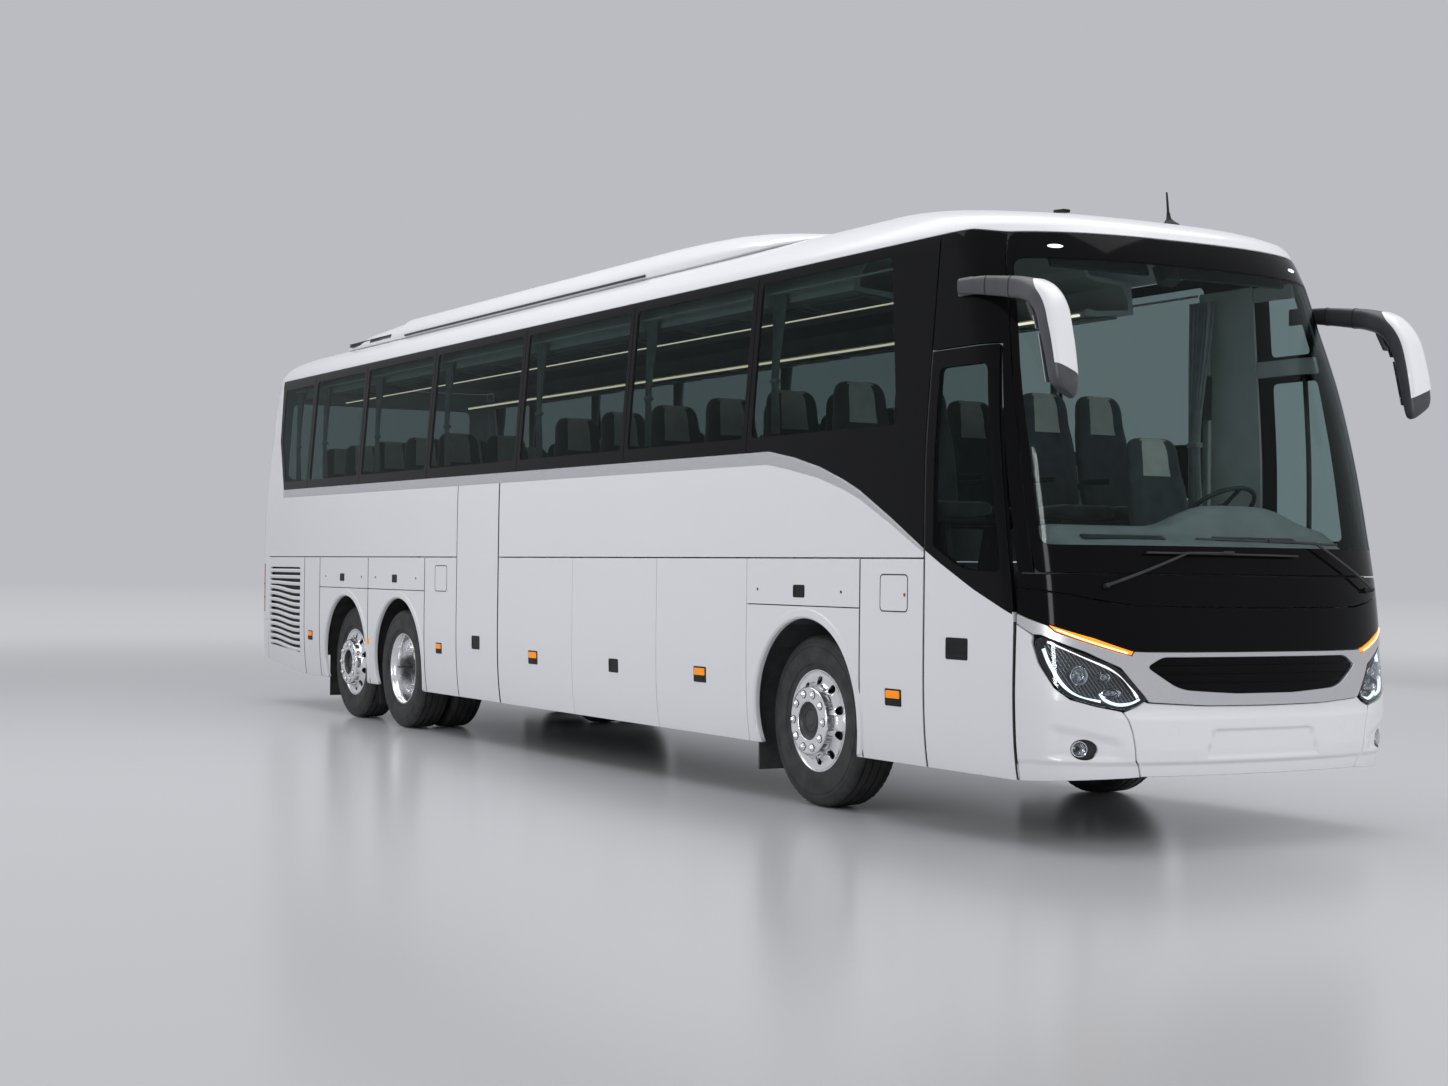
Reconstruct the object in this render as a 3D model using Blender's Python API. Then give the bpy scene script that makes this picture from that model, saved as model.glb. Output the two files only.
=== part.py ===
"""Three-axle high-deck touring coach, built as an assembly of separate body panels, glass,
running gear, doors and flaps.  Metres, +X forward, +Z up; the origin lies on the ground under
the middle of the coach.  Right-hand pieces are at -Y and the left-hand ones are their mirror."""
import math

import bmesh
import bpy
from mathutils import Matrix, Vector

# ------------------------------------------------------------------ driving dimensions (m)
X_FRONT, X_REAR = 6.780, -6.730          # bodywork ends; the hitch reaches 50 mm further back
SKIRT_Z, SEAM_Z, BAND_Z0, BAND_Z1 = 0.350, 1.510, 2.195, 3.335
AXLE_X = {"front": 4.175, "drive": -2.695, "tag": -4.065}
WHEEL_R, TYRE_W = 0.522, 0.295
WHEEL_SIDES = 20                         # a flat between two corners stands on the ground
TRACK_FRONT, TRACK_TAG = 2.080, 2.080    # tyre centre to tyre centre
TWIN_OUTER_Y, TWIN_INNER_Y = 1.085, 0.765
KINGPIN_Y = 0.850
ARCH_R, ARCH_Z = 0.585, 0.560
WALL, SKIN, GLASS = 0.060, 0.045, 0.022  # wall, skirt and flap, glass thickness
GAP, SHUT = 0.0040, 0.0080               # joint between fixed panels, shut line of moving ones
FLOOR_Z, FLOOR_T = 1.420, 0.050
BAY_FLOOR_Z = 0.440

# door, flap and panel edges along the side
FRONT_DOOR = dict(rear=5.440, top=2.660, front_top=6.010, front_mid=6.255, mid_z=1.200)
FLAP_EDGES = (3.476, 2.247, 0.905, -0.465)
MID_DOOR = dict(rear=-1.330, front=-0.465, top=2.130)
REAR_CORNER_X = -6.420

# hull rows: height, half width, front offset, rear offset
HULL = (
    (0.300, 1.226, -0.060, 0.120), (0.360, 1.240, -0.030, 0.090), (0.500, 1.258, -0.005, 0.030),
    (0.750, 1.272, 0.000, 0.000), (1.000, 1.275, -0.030, 0.000), (1.200, 1.275, -0.050, 0.000),
    (1.380, 1.275, -0.075, 0.000), (1.650, 1.275, -0.130, 0.008), (2.150, 1.268, -0.245, 0.030),
    (2.500, 1.243, -0.335, 0.060), (2.850, 1.215, -0.465, 0.105), (3.200, 1.186, -0.600, 0.155),
    (3.300, 1.177, -0.660, 0.175), (3.360, 1.160, -0.705, 0.200), (3.410, 1.130, -0.825, 0.235),
    (3.490, 1.035, -1.225, 0.330), (3.560, 0.870, -1.625, 0.550), (3.610, 0.600, -2.100, 0.900),
    (3.630, 0.200, -2.700, 1.500))
NOSE_DEPTH, NOSE_POWER = 0.600, 2.5      # plan curve of the front
TAIL_DEPTH, TAIL_POWER = 0.200, 3.2      # plan curve of the rear

# windscreen side edge: height, x
SCREEN_EDGE = ((1.440, 6.352), (2.080, 6.217), (2.675, 6.060), (3.285, 5.880))
SCREEN_Z0, SCREEN_Z1 = 1.436, 3.285

PAINT = ("coach_white", (0.80, 0.81, 0.83), 0.28, 0.0)
BLACK = ("gloss_black", (0.012, 0.012, 0.014), 0.12, 0.0)
TINT = ("tinted_glass", (0.055, 0.070, 0.068), 0.05, 0.0)
DARK = ("dark_plastic", (0.030, 0.031, 0.034), 0.55, 0.0)
STEEL = ("painted_steel", (0.060, 0.062, 0.066), 0.50, 0.6)
RUBBER = ("rubber", (0.018, 0.018, 0.019), 0.80, 0.0)
FABRIC = ("seat_fabric", (0.050, 0.052, 0.058), 0.85, 0.0)
TRIM = ("interior_trim", (0.42, 0.42, 0.42), 0.60, 0.0)
LAMP = ("lamp_lens", (0.60, 0.62, 0.65), 0.08, 0.0)
RED = ("red_lens", (0.35, 0.010, 0.012), 0.12, 0.0)


# ------------------------------------------------------------------ modelling helpers
def clear_scene():
    for ob in list(bpy.data.objects):
        bpy.data.objects.remove(ob, do_unlink=True)


def material(spec):
    name, rgb, rough, metal = spec
    mat = bpy.data.materials.get(name)
    if mat is None:
        mat = bpy.data.materials.new(name)
        mat.use_nodes = True
        shader = mat.node_tree.nodes["Principled BSDF"]
        shader.inputs["Base Color"].default_value = (*rgb, 1.0)
        shader.inputs["Roughness"].default_value = rough
        shader.inputs["Metallic"].default_value = metal
        mat.diffuse_color = (*rgb, 1.0)
    return mat


def make(bm, name="shape"):
    """Turn a bmesh into an object in the scene, faces pointing out."""
    bmesh.ops.recalc_face_normals(bm, faces=bm.faces)
    mesh = bpy.data.meshes.new(name)
    bm.to_mesh(mesh)
    bm.free()
    ob = bpy.data.objects.new(name, mesh)
    bpy.context.scene.collection.objects.link(ob)
    return ob


def box(x0, x1, y0, y1, z0, z1):
    bm = bmesh.new()
    bmesh.ops.create_cube(bm, size=1.0)
    size, mid = Vector((x1 - x0, y1 - y0, z1 - z0)), Vector((x0 + x1, y0 + y1, z0 + z1)) / 2
    for v in bm.verts:
        v.co = Vector(v.co[i] * size[i] for i in range(3)) + mid
    return make(bm)


def prism(points, axis, lo, hi):
    """Extrude a flat outline along an axis; points are (x, z) for Y, (y, z) for X, (x, y) for Z."""
    put = {"X": lambda a, b, t: (t, a, b), "Y": lambda a, b, t: (a, t, b),
           "Z": lambda a, b, t: (a, b, t)}[axis]
    bm = bmesh.new()
    ends = [[bm.verts.new(put(a, b, t)) for a, b in points] for t in (lo, hi)]
    bm.faces.new(ends[0])
    bm.faces.new(ends[1])
    n = len(points)
    for i in range(n):
        j = (i + 1) % n
        bm.faces.new((ends[0][i], ends[0][j], ends[1][j], ends[1][i]))
    return make(bm)


def disc(radius, lo, hi, axis="Y", centre=(0, 0), sides=24):
    """Round bar along an axis; centre holds the two other coordinates."""
    ring = [(centre[0] + radius * math.cos(2 * math.pi * k / sides),
             centre[1] + radius * math.sin(2 * math.pi * k / sides)) for k in range(sides)]
    return prism(ring, axis, lo, hi)


def lathe(profile, sides=24):
    """Turn a closed profile of (radius, y) about the Y axis; the flats touch the radius."""
    bm = bmesh.new()
    grow = 1.0 / math.cos(math.pi / sides)
    rings = []
    for r, y in profile:
        if r < 1e-6:
            rings.append([bm.verts.new((0, y, 0))])
        else:
            turn = [2 * math.pi * (k + 0.5) / sides for k in range(sides)]
            rings.append([bm.verts.new((r * grow * math.cos(a), y, r * grow * math.sin(a))) for a in turn])
    for a, b in zip(rings, rings[1:] + rings[:1]):
        if len(a) == 1 and len(b) == 1:
            continue
        for k in range(sides):
            m = (k + 1) % sides
            quad = [a[k % len(a)], a[m % len(a)], b[m % len(b)], b[k % len(b)]]
            bm.faces.new(list(dict.fromkeys(quad)))
    return make(bm)


def rod(start, end, radius, sides=10):
    """Round bar between two points."""
    a, b = Vector(start), Vector(end)
    bm = bmesh.new()
    bmesh.ops.create_cone(bm, cap_ends=True, segments=sides, radius1=radius, radius2=radius,
                          depth=(b - a).length)
    turn = (b - a).to_track_quat("Z", "Y").to_matrix().to_4x4()
    bmesh.ops.transform(bm, matrix=Matrix.Translation((a + b) / 2) @ turn, verts=bm.verts)
    return make(bm)


def boolean(target, tool, operation, both_self=False):
    """Apply one exact Boolean and drop the tool."""
    mod = target.modifiers.new("cut", "BOOLEAN")
    mod.operation, mod.solver, mod.object = operation, "EXACT", tool
    mod.use_self = both_self
    graph = bpy.context.evaluated_depsgraph_get()
    mesh = bpy.data.meshes.new_from_object(target.evaluated_get(graph))
    target.modifiers.clear()
    target.data = mesh
    bpy.data.objects.remove(tool, do_unlink=True)
    return target


def cut(target, *tools):
    for tool in tools:
        boolean(target, tool, "DIFFERENCE")
    return target


def keep(target, region):
    return boolean(target, region, "INTERSECT")


def join(shapes):
    """Put several shapes in one mesh without uniting them."""
    bm = bmesh.new()
    for ob in shapes:
        bm.from_mesh(ob.data)
        bpy.data.objects.remove(ob, do_unlink=True)
    return make(bm)


def fuse(*shapes):
    """Unite overlapping shapes into one body."""
    first, rest = shapes[0], list(shapes[1:])
    return boolean(first, join(rest), "UNION", both_self=True) if rest else first


def copy(ob, mirror=False, shift=(0, 0, 0)):
    twin = ob.copy()
    twin.data = ob.data.copy()
    bpy.context.scene.collection.objects.link(twin)
    bm = bmesh.new()
    bm.from_mesh(twin.data)
    for v in bm.verts:
        v.co = Vector((v.co.x + shift[0], (-v.co.y if mirror else v.co.y) + shift[1],
                       v.co.z + shift[2]))
    if mirror:
        bmesh.ops.reverse_faces(bm, faces=bm.faces)
    bm.to_mesh(twin.data)
    bm.free()
    return twin


def finish(ob, name, spec, origin=(0, 0, 0), smooth=35.0):
    """Name the piece, give it its material and put its origin at a point."""
    bm = bmesh.new()
    bm.from_mesh(ob.data)
    bmesh.ops.remove_doubles(bm, verts=bm.verts, dist=1e-5)
    bmesh.ops.dissolve_degenerate(bm, edges=bm.edges, dist=1e-5)
    bmesh.ops.dissolve_limit(bm, angle_limit=math.radians(0.05), verts=bm.verts, edges=bm.edges)
    bmesh.ops.delete(bm, geom=[e for e in bm.edges if not e.link_faces], context="EDGES")
    bmesh.ops.translate(bm, vec=-Vector(origin), verts=bm.verts)
    bm.to_mesh(ob.data)
    bm.free()
    ob.location = origin
    ob.name, ob.data.name = name, name
    ob.data.materials.clear()
    ob.data.materials.append(material(spec))
    ob.data.shade_smooth()
    ob.data.set_sharp_from_angle(angle=math.radians(smooth))
    return ob


def pair(ob, stem, spec, origin=(0, 0, 0)):
    """Finish a right-hand piece and its left-hand mirror."""
    left = copy(ob, mirror=True)
    finish(ob, stem + "_right", spec, origin)
    finish(left, stem + "_left", spec, (origin[0], -origin[1], origin[2]))


# ------------------------------------------------------------------ the body's outer form
def hull_ring(row, inset):
    """Outline of the body at one height: nose curve, sides and tail curve."""
    z, half, front, rear = row
    roof = min(max((z - 3.20) / 0.20, 0.0), 1.0)
    side = inset * (1.0 - 0.6 * roof)
    half = max(half - side, 0.10)
    x1, x0 = X_FRONT + front - inset, X_REAR + rear + inset
    nose = [(x1 - NOSE_DEPTH * (1 - math.cos(t) ** (2 / NOSE_POWER)), half * math.sin(t) ** (2 / NOSE_POWER))
            for t in (math.radians(a) for a in (90, 76, 62, 48, 36, 24, 12, 4, 0))]
    tail = [(x0 + TAIL_DEPTH * (1 - math.cos(t) ** (2 / TAIL_POWER)), half * math.sin(t) ** (2 / TAIL_POWER))
            for t in (math.radians(a) for a in (0, 12, 34, 58, 78, 90))]
    left = [(x, y) for x, y in nose[::-1]][:-1] + [nose[0]]
    loop = left + tail[::-1]
    right = [(x, -y) for x, y in loop[::-1] if abs(y) > 1e-9]
    return [(x, y, z - inset * roof) for x, y in loop + right]


def hull(inset=0.0):
    """Closed solid of the whole body form, moved inwards by an inset."""
    bm = bmesh.new()
    rings = [[bm.verts.new(p) for p in hull_ring(row, inset)] for row in HULL]
    for a, b in zip(rings, rings[1:]):
        for k in range(len(a)):
            m = (k + 1) % len(a)
            bm.faces.new((a[k], a[m], b[m], b[k]))
    bm.faces.new(rings[0])
    bm.faces.new(rings[-1])
    return make(bm)


def shell(region, thickness):
    """Body panel: the outer form within a region, hollowed to a thickness."""
    panel = keep(hull(), region)
    return cut(panel, hull(thickness))


def screen_x(z):
    """Side edge of the windscreen at a height."""
    for (z0, x0), (z1, x1) in zip(SCREEN_EDGE, SCREEN_EDGE[1:]):
        if z <= z1:
            return x0 + (x1 - x0) * (z - z0) / (z1 - z0)
    return SCREEN_EDGE[-1][1]


def arch(axle, y0, y1, grow=0.0):
    return disc(ARCH_R + grow, y0, y1, "Y", (AXLE_X[axle], ARCH_Z), 32)


def door_outline(grow=0.0):
    """Front door's outline seen from the side; grow widens it for its opening."""
    d = FRONT_DOOR
    return [(d["rear"] - grow, SKIRT_Z - 5 * grow), (d["rear"] - grow, d["top"] + grow),
            (d["front_top"] + grow, d["top"] + grow), (d["front_mid"] + grow, d["mid_z"]),
            (d["front_mid"] + 0.005 + grow, SKIRT_Z - 5 * grow)]


# ------------------------------------------------------------------ body panels
BAND_FRONT_X = FRONT_DOOR["rear"] - SHUT
SWOOSH = ((3.72, 2.178), (4.33, 2.072), (4.78, 1.905), (5.45, 1.560))   # band's lower front edge


def band_outline(grow=0.0):
    """Dark glass band on the side from the rear corner to the front door."""
    low = [(x, z - grow) for x, z in SWOOSH[:-1]]
    return ([(-5.990 - grow, BAND_Z0 - grow)] + low +
            [(BAND_FRONT_X, SWOOSH[-1][1] + 0.007 - grow), (BAND_FRONT_X, BAND_Z1 - 0.02 + grow),
             (-6.290 - grow, BAND_Z1 - 0.02 + grow), (-6.230 - grow, 2.700)])


# window panes: rear edge, front edge, lower edge, upper edge
PANES = ((-6.02, -5.30, 2.27, 3.22), (-5.20, -3.83, 2.27, 3.24), (-3.72, -2.12, 2.27, 3.25),
         (-2.01, -0.22, 2.27, 3.25), (-0.11, 1.64, 2.27, 3.25), (1.75, 3.38, 2.27, 3.25),
         (3.49, 5.15, 2.27, 3.25))


def wall_region(door):
    """Upper side wall; with the door its outline leaves out the doorway."""
    low = [(5.433, SEAM_Z + GAP), (5.433, 2.668)] if door else [(6.198, SEAM_Z + GAP), (6.214, 1.440)]
    edge = (2.668, 3.281) if door else (1.440, 2.080, 2.675, 3.281)
    return [(REAR_CORNER_X, SEAM_Z + GAP)] + low + [(screen_x(z) - GAP, z) for z in edge] + \
        [(5.700, BAND_Z1), (REAR_CORNER_X, BAND_Z1)]


def front_pillar():
    """Narrow post between the front door and the windscreen."""
    region = [(6.0216, 2.664), (6.262, 1.440)] + [(screen_x(z) - GAP, z) for z in (1.440, 2.080, 2.664)]
    finish(shell(prism(region, "Y", -1.4, 0.0), WALL), "front_pillar_right", PAINT)


def side_walls():
    rebate = keep(hull(-0.01), prism(band_outline(0.001), "Y", -1.4, 0.0))
    cut(rebate, hull(GLASS + 0.0005))                     # the glass band lies in this rebate
    for name, door in (("right", True), ("left", False)):
        wall = shell(prism(wall_region(door), "Y", -1.4, 0.0), WALL)
        cut(wall, copy(rebate))
        cut(wall, *[box(x0, x1, -1.4, -0.9, z0, z1) for x0, x1, z0, z1 in PANES])
        if door:
            d = MID_DOOR
            cut(wall, box(d["rear"] - SHUT, d["front"] + SHUT, -1.4, -1.0, 1.4, d["top"] + SHUT))
        else:
            cut(wall, prism([(5.56, 1.62), (5.56, 2.60), (5.90, 2.60), (6.08, 1.62)], "Y", -1.4, -0.9))
            left = copy(wall, mirror=True)
            bpy.data.objects.remove(wall, do_unlink=True)
            wall = left
        finish(wall, "side_wall_" + name, PAINT)
    bpy.data.objects.remove(rebate, do_unlink=True)


def side_windows():
    glass = keep(hull(), prism(band_outline(), "Y", -1.4, 0.0))
    cut(glass, hull(GLASS))
    pair(glass, "side_windows", TINT)


def flange(axle):
    """Raised lip round a wheel arch, 50 mm wide."""
    x = AXLE_X[axle]
    lip = disc(ARCH_R + 0.050, -1.2805, -1.262, "Y", (x, ARCH_Z), 32)
    return cut(lip, arch(axle, -1.4, -1.0), box(x - 1, x + 1, -1.4, -1.0, -0.5, 0.500))


def front_skirts():
    region = prism([(FLAP_EDGES[0] + SHUT, SKIRT_Z), (FRONT_DOOR["rear"] - SHUT, SKIRT_Z),
                    (FRONT_DOOR["rear"] - SHUT, SEAM_Z), (FLAP_EDGES[0] + SHUT, SEAM_Z)],
                   "Y", -1.4, 0.0)
    skirt = shell(region, SKIN)
    cut(skirt, arch("front", -1.4, -1.0))
    skirt = fuse(skirt, flange("front"))
    left = copy(skirt, mirror=True)
    # the left side has fixed panelling where the right side has the entrance door
    fill = shell(prism([(5.40, SKIRT_Z), (6.258, SKIRT_Z), (6.252, 1.436), (6.209, 1.436), (6.193, SEAM_Z),
                        (5.40, SEAM_Z)], "Y", 0.0, 1.4), SKIN)
    left = fuse(left, fill)
    finish(skirt, "front_skirt_right", PAINT)
    finish(left, "front_skirt_left", PAINT)


OUTLET_SLOTS = 13


def rear_skirts():
    region = prism([(REAR_CORNER_X, 0.450), (-5.300, SKIRT_Z), (MID_DOOR["rear"] - SHUT, SKIRT_Z),
                    (MID_DOOR["rear"] - SHUT, SEAM_Z), (REAR_CORNER_X, SEAM_Z)], "Y", -1.4, 0.0)
    skirt = shell(region, SKIN)
    cut(skirt, arch("drive", -1.4, -1.0), arch("tag", -1.4, -1.0))
    skirt = fuse(skirt, flange("drive"), flange("tag"))
    # slatted outlet of the engine bay: wavy openings whose rear ends rise
    slots = []
    for k in range(OUTLET_SLOTS):
        z = 0.625 + 0.0625 * k
        wave = [(-6.340 + 0.90 * t / 5, z + 0.010 * math.sin(2 * math.pi * t / 5)) for t in range(6)]
        slots.append(prism([(x, zz - 0.016) for x, zz in wave] + [(x, zz + 0.012) for x, zz in wave[::-1]],
                           "Y", -1.4, -1.1))
    cut(skirt, join(slots))
    left = copy(skirt, mirror=True)
    fill = shell(prism([(-1.36, SKIRT_Z), (MID_DOOR["front"] - SHUT, SKIRT_Z),
                        (MID_DOOR["front"] - SHUT, SEAM_Z), (-1.36, SEAM_Z)], "Y", 0.0, 1.4), SKIN)
    left = fuse(left, fill)
    finish(skirt, "rear_skirt_right", PAINT)
    finish(left, "rear_skirt_left", PAINT)


def roof():
    region = prism([(-6.9, BAND_Z1 + GAP), (5.700, BAND_Z1 + GAP), (screen_x(3.29), 3.289),
                    (6.9, 3.289), (6.9, 3.8), (-6.9, 3.8)], "Y", -1.4, 1.4)
    finish(shell(region, 0.045), "roof", PAINT)


def roof_aircon():
    """Long fairing over the condenser, with its sides sloping in and its nose falling away."""
    # station x, half width at the foot, foot height, half width at the top, top height
    stations = ((3.72, 0.70, 3.592, 0.56, 3.600), (3.20, 0.93, 3.560, 0.72, 3.660),
                (2.50, 0.97, 3.540, 0.78, 3.725), (1.60, 0.97, 3.540, 0.80, 3.745),
                (-3.60, 0.97, 3.540, 0.80, 3.745), (-4.60, 0.96, 3.545, 0.78, 3.690),
                (-5.20, 0.90, 3.562, 0.70, 3.600))
    bm = bmesh.new()
    rings = []
    for x, foot, z0, top, z1 in stations:
        crown = 0.024 * (z1 - 3.58) / 0.165
        rings.append([bm.verts.new((x, y, z)) for y, z in
                      ((-foot, z0 - 0.10), (-foot, z0 + 0.012), (-top, z1), (-top / 2, z1 + crown * 0.75),
                       (0, z1 + crown), (top / 2, z1 + crown * 0.75), (top, z1), (foot, z0 + 0.012),
                       (foot, z0 - 0.10))])
    for a, b in zip(rings, rings[1:]):
        for k in range(len(a)):
            m = (k + 1) % len(a)
            bm.faces.new((a[k], a[m], b[m], b[k]))
    bm.faces.new(rings[0])
    bm.faces.new(rings[-1])
    fairing = make(bm)
    cut(fairing, hull(-0.0005))
    finish(fairing, "roof_aircon", PAINT)


def front_panel():
    region = prism([(6.266, 1.228), (6.43, 1.171), (6.66, 1.042), (6.95, 1.036), (6.95, SCREEN_Z0 - GAP),
                    (6.266, SCREEN_Z0 - GAP)], "Y", -1.4, 1.4)
    panel = shell(region, 0.050)
    for (py, pz), *_ in WIPERS:
        cut(panel, disc(0.016, 6.40, 7.0, "X", (py, pz), 12))
    finish(panel, "front_panel", BLACK)


LAMP_OUTLINE = ((-1.228, 1.075), (-1.209, 1.108), (-0.880, 0.946), (-0.756, 0.785), (-0.810, 0.753),
                (-0.876, 0.735), (-1.002, 0.757), (-1.113, 0.791), (-1.170, 0.847), (-1.214, 0.969))


def lamp_points(grow):
    cy = sum(y for y, _ in LAMP_OUTLINE) / len(LAMP_OUTLINE)
    cz = sum(z for _, z in LAMP_OUTLINE) / len(LAMP_OUTLINE)
    out = []
    for y, z in LAMP_OUTLINE:
        d = math.hypot(y - cy, z - cz)
        out.append((y + grow * (y - cy) / d, z + grow * (z - cz) / d))
    return out


def front_bumper():
    region = prism([(6.268, SKIRT_Z - 0.006), (6.40, SKIRT_Z), (6.70, 0.385), (6.95, 0.390),
                    (6.95, 1.032), (6.66, 1.038), (6.43, 1.167), (6.268, 1.223)], "Y", -1.4, 1.4)
    bumper = shell(region, 0.060)
    for side in (1, -1):
        hole = prism([(side * y, z) for y, z in lamp_points(0.002)], "X", 6.20, 7.0)
        cut(bumper, hole)
    # intake opening of the grille, behind the panel's lower edge
    cut(bumper, prism([(-0.70, 0.955), (-0.60, 1.000), (0.60, 1.000), (0.70, 0.955), (0.56, 0.850),
                       (0.0, 0.822), (-0.56, 0.850)], "X", 6.5, 7.0))
    # towing and fog lamp pockets
    for side in (1, -1):
        cut(bumper, disc(0.055, 6.30, 7.0, "X", (side * 1.075, 0.530), 16))
    finish(bumper, "front_bumper", PAINT)


def windscreen():
    pts = [(screen_x(z), z) for z in (SCREEN_Z0 + 0.001, 2.08, 2.675, SCREEN_Z1)]
    region = prism(pts + [(6.95, SCREEN_Z1), (6.95, SCREEN_Z0 + 0.001)], "Y", -1.4, 1.4)
    finish(shell(region, 0.014), "windscreen", TINT)


def headlamps():
    lamp = keep(hull(), prism(lamp_points(0.0), "X", 6.300, 7.0))
    cut(lamp, hull(0.110))
    pair(lamp, "headlamp", LAMP)


TAIL_LAMP = ((-1.30, 0.940), (-1.30, 1.440), (-1.140, 1.440), (-1.110, 1.300), (-1.110, 1.000),
             (-1.150, 0.940))
LID = dict(y=0.960, z0=0.960, z1=2.000)
REAR_PANE = dict(y=1.020, z0=2.330, z1=3.120)


def rear_end():
    region = prism([(-7.0, 0.862), (REAR_CORNER_X - GAP, 0.862), (REAR_CORNER_X - GAP, BAND_Z1),
                    (-7.0, BAND_Z1)], "Y", -1.4, 1.4)
    wall = shell(region, WALL)
    lid_region = [(-LID["y"], LID["z0"]), (LID["y"], LID["z0"]), (LID["y"], LID["z1"]), (-LID["y"], LID["z1"])]
    hole = [(y + math.copysign(SHUT, y), z + math.copysign(SHUT, z - 1.5)) for y, z in lid_region]
    cut(wall, prism(hole, "X", -7.0, -6.3))
    for side in (1, -1):
        pocket = [(side * (y + (0.001 if y > -1.2 else 0.0)), z + math.copysign(0.001, z - 1.19)) for y, z in TAIL_LAMP]
        cut(wall, prism(pocket, "X", -7.0, -6.40))
    p = REAR_PANE
    cut(wall, box(-7.0, -6.3, -p["y"] - 0.001, p["y"] + 0.001, p["z0"] - 0.001, p["z1"] + 0.001))
    finish(wall, "rear_wall", PAINT)
    glass = shell(box(-7.0, -6.3, -p["y"], p["y"], p["z0"], p["z1"]), GLASS)
    finish(glass, "rear_window", TINT)
    lid = shell(prism(lid_region, "X", -7.0, -6.3), 0.040)
    # cooling slots of the engine lid
    cut(lid, join([box(-7.0, -6.3, -0.80, 0.80, z, z + 0.026) for z in (1.60, 1.66, 1.72, 1.78, 1.84)]))
    finish(lid, "engine_lid", PAINT, (X_REAR + 0.026, 0.0, LID["z1"] - 0.003))
    lamp = keep(hull(), prism(TAIL_LAMP, "X", -7.0, -6.5))
    cut(lamp, hull(0.055))
    keep(lamp, box(-7.0, REAR_CORNER_X - 0.10, -1.4, 0.0, 0.5, 2.0))
    pair(lamp, "tail_lamp", RED)
    low = prism([(-7.0, 0.62), (-6.62, 0.480), (REAR_CORNER_X - GAP, 0.452), (REAR_CORNER_X - GAP, 0.858),
                 (-7.0, 0.858)], "Y", -1.4, 1.4)
    bumper = shell(low, 0.060)
    cut(bumper, box(-7.0, -6.5, -0.16, 0.16, 0.40, 0.560))
    finish(bumper, "rear_bumper", PAINT)


# ------------------------------------------------------------------ doors and flaps
DOOR_ARM, PIN_R = 0.390, 0.010
FRONT_POST = (6.105, -1.130)
MID_POST = (-1.190, -1.130)


def door_arm(post, direction, z0, z1, name):
    """Turning post with two arms that carry a door leaf at their ends."""
    px, py = post
    tip = px + direction * DOOR_ARM
    shapes = [disc(0.024, z0 - 0.06, z1 + 0.06, "Z", (px, py), 10)]
    for z in (z0, z1):
        shapes.append(box(min(px, tip), max(px, tip), py - 0.016, py + 0.016, z - 0.018, z + 0.018))
        shapes.append(disc(0.027, z - 0.022, z + 0.022, "Z", (tip, py), 10))
    arm = fuse(*shapes)
    for z in (z0, z1):
        cut(arm, disc(PIN_R + 0.0056, z - 0.1, z + 0.1, "Z", (tip, py), 10))
    finish(arm, name, STEEL, (px, py, 0.0))


def door_lugs(tip_x, y_skin, zs):
    """Lug and pin on the leaf's inner face at each arm's end."""
    shapes = []
    for z in zs:
        shapes.append(box(tip_x - 0.020, tip_x + 0.020, y_skin, MID_POST[1] + 0.018, z - 0.075, z - 0.030))
        shapes.append(disc(PIN_R, z - 0.055, z + 0.040, "Z", (tip_x, MID_POST[1]), 10))
    return shapes


def front_door():
    leaf = shell(prism(door_outline(), "Y", -1.4, -1.0), 0.040)
    # one-piece pane, set 12 mm back in the leaf's opening
    sill, head = 1.450, 2.560
    opening = [(5.545, 1.600), (5.545, head), (5.965, head), (6.155, sill), (5.700, sill)]
    cut(leaf, prism(opening, "Y", -1.4, -1.0))
    pane = keep(hull(0.012), prism([(5.525, 1.580), (5.525, head + 0.02), (5.985, head + 0.02),
                                    (6.175, sill - 0.02), (5.680, sill - 0.02)], "Y", -1.4, -1.0))
    leaf = fuse(leaf, cut(pane, hull(0.026)))
    tip = FRONT_POST[0] - DOOR_ARM
    leaf = fuse(leaf, *door_lugs(tip, -1.238, (1.020, 1.380)))
    finish(leaf, "front_door", PAINT, (tip, FRONT_POST[1], 0.0))
    door_arm(FRONT_POST, -1, 1.020, 1.380, "front_door_arms")


def mid_door():
    d = MID_DOOR
    leaf = shell(box(d["rear"], d["front"], -1.4, -1.0, SKIRT_Z, d["top"]), 0.040)
    tip = MID_POST[0] + DOOR_ARM
    leaf = fuse(leaf, *door_lugs(tip, -1.238, (0.900, 1.800)))
    finish(leaf, "mid_door", PAINT, (tip, MID_POST[1], 0.0))
    door_arm(MID_POST, 1, 0.900, 1.800, "mid_door_arms")


def luggage_flaps():
    for k, (front, rear) in enumerate(zip(FLAP_EDGES, FLAP_EDGES[1:]), 1):
        last = k == len(FLAP_EDGES) - 1
        flap = shell(box(rear + (SHUT if last else SHUT / 2), front - (0 if k == 1 else SHUT / 2), -1.4, 0.0,
                         SKIRT_Z, SEAM_Z - SHUT / 2), 0.030)
        mid = ((front + rear) / 2, -1.273, SEAM_Z - 0.007)
        left = copy(flap, mirror=True)
        finish(flap, "luggage_flap_right_%d" % k, PAINT, mid)
        finish(left, "luggage_flap_left_%d" % k, PAINT, (mid[0], -mid[1], mid[2]))


# ------------------------------------------------------------------ wheels and axles
RIM_Y = 0.127                            # rim flange from the tyre's centre line
HAND_HOLES = 10


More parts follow.
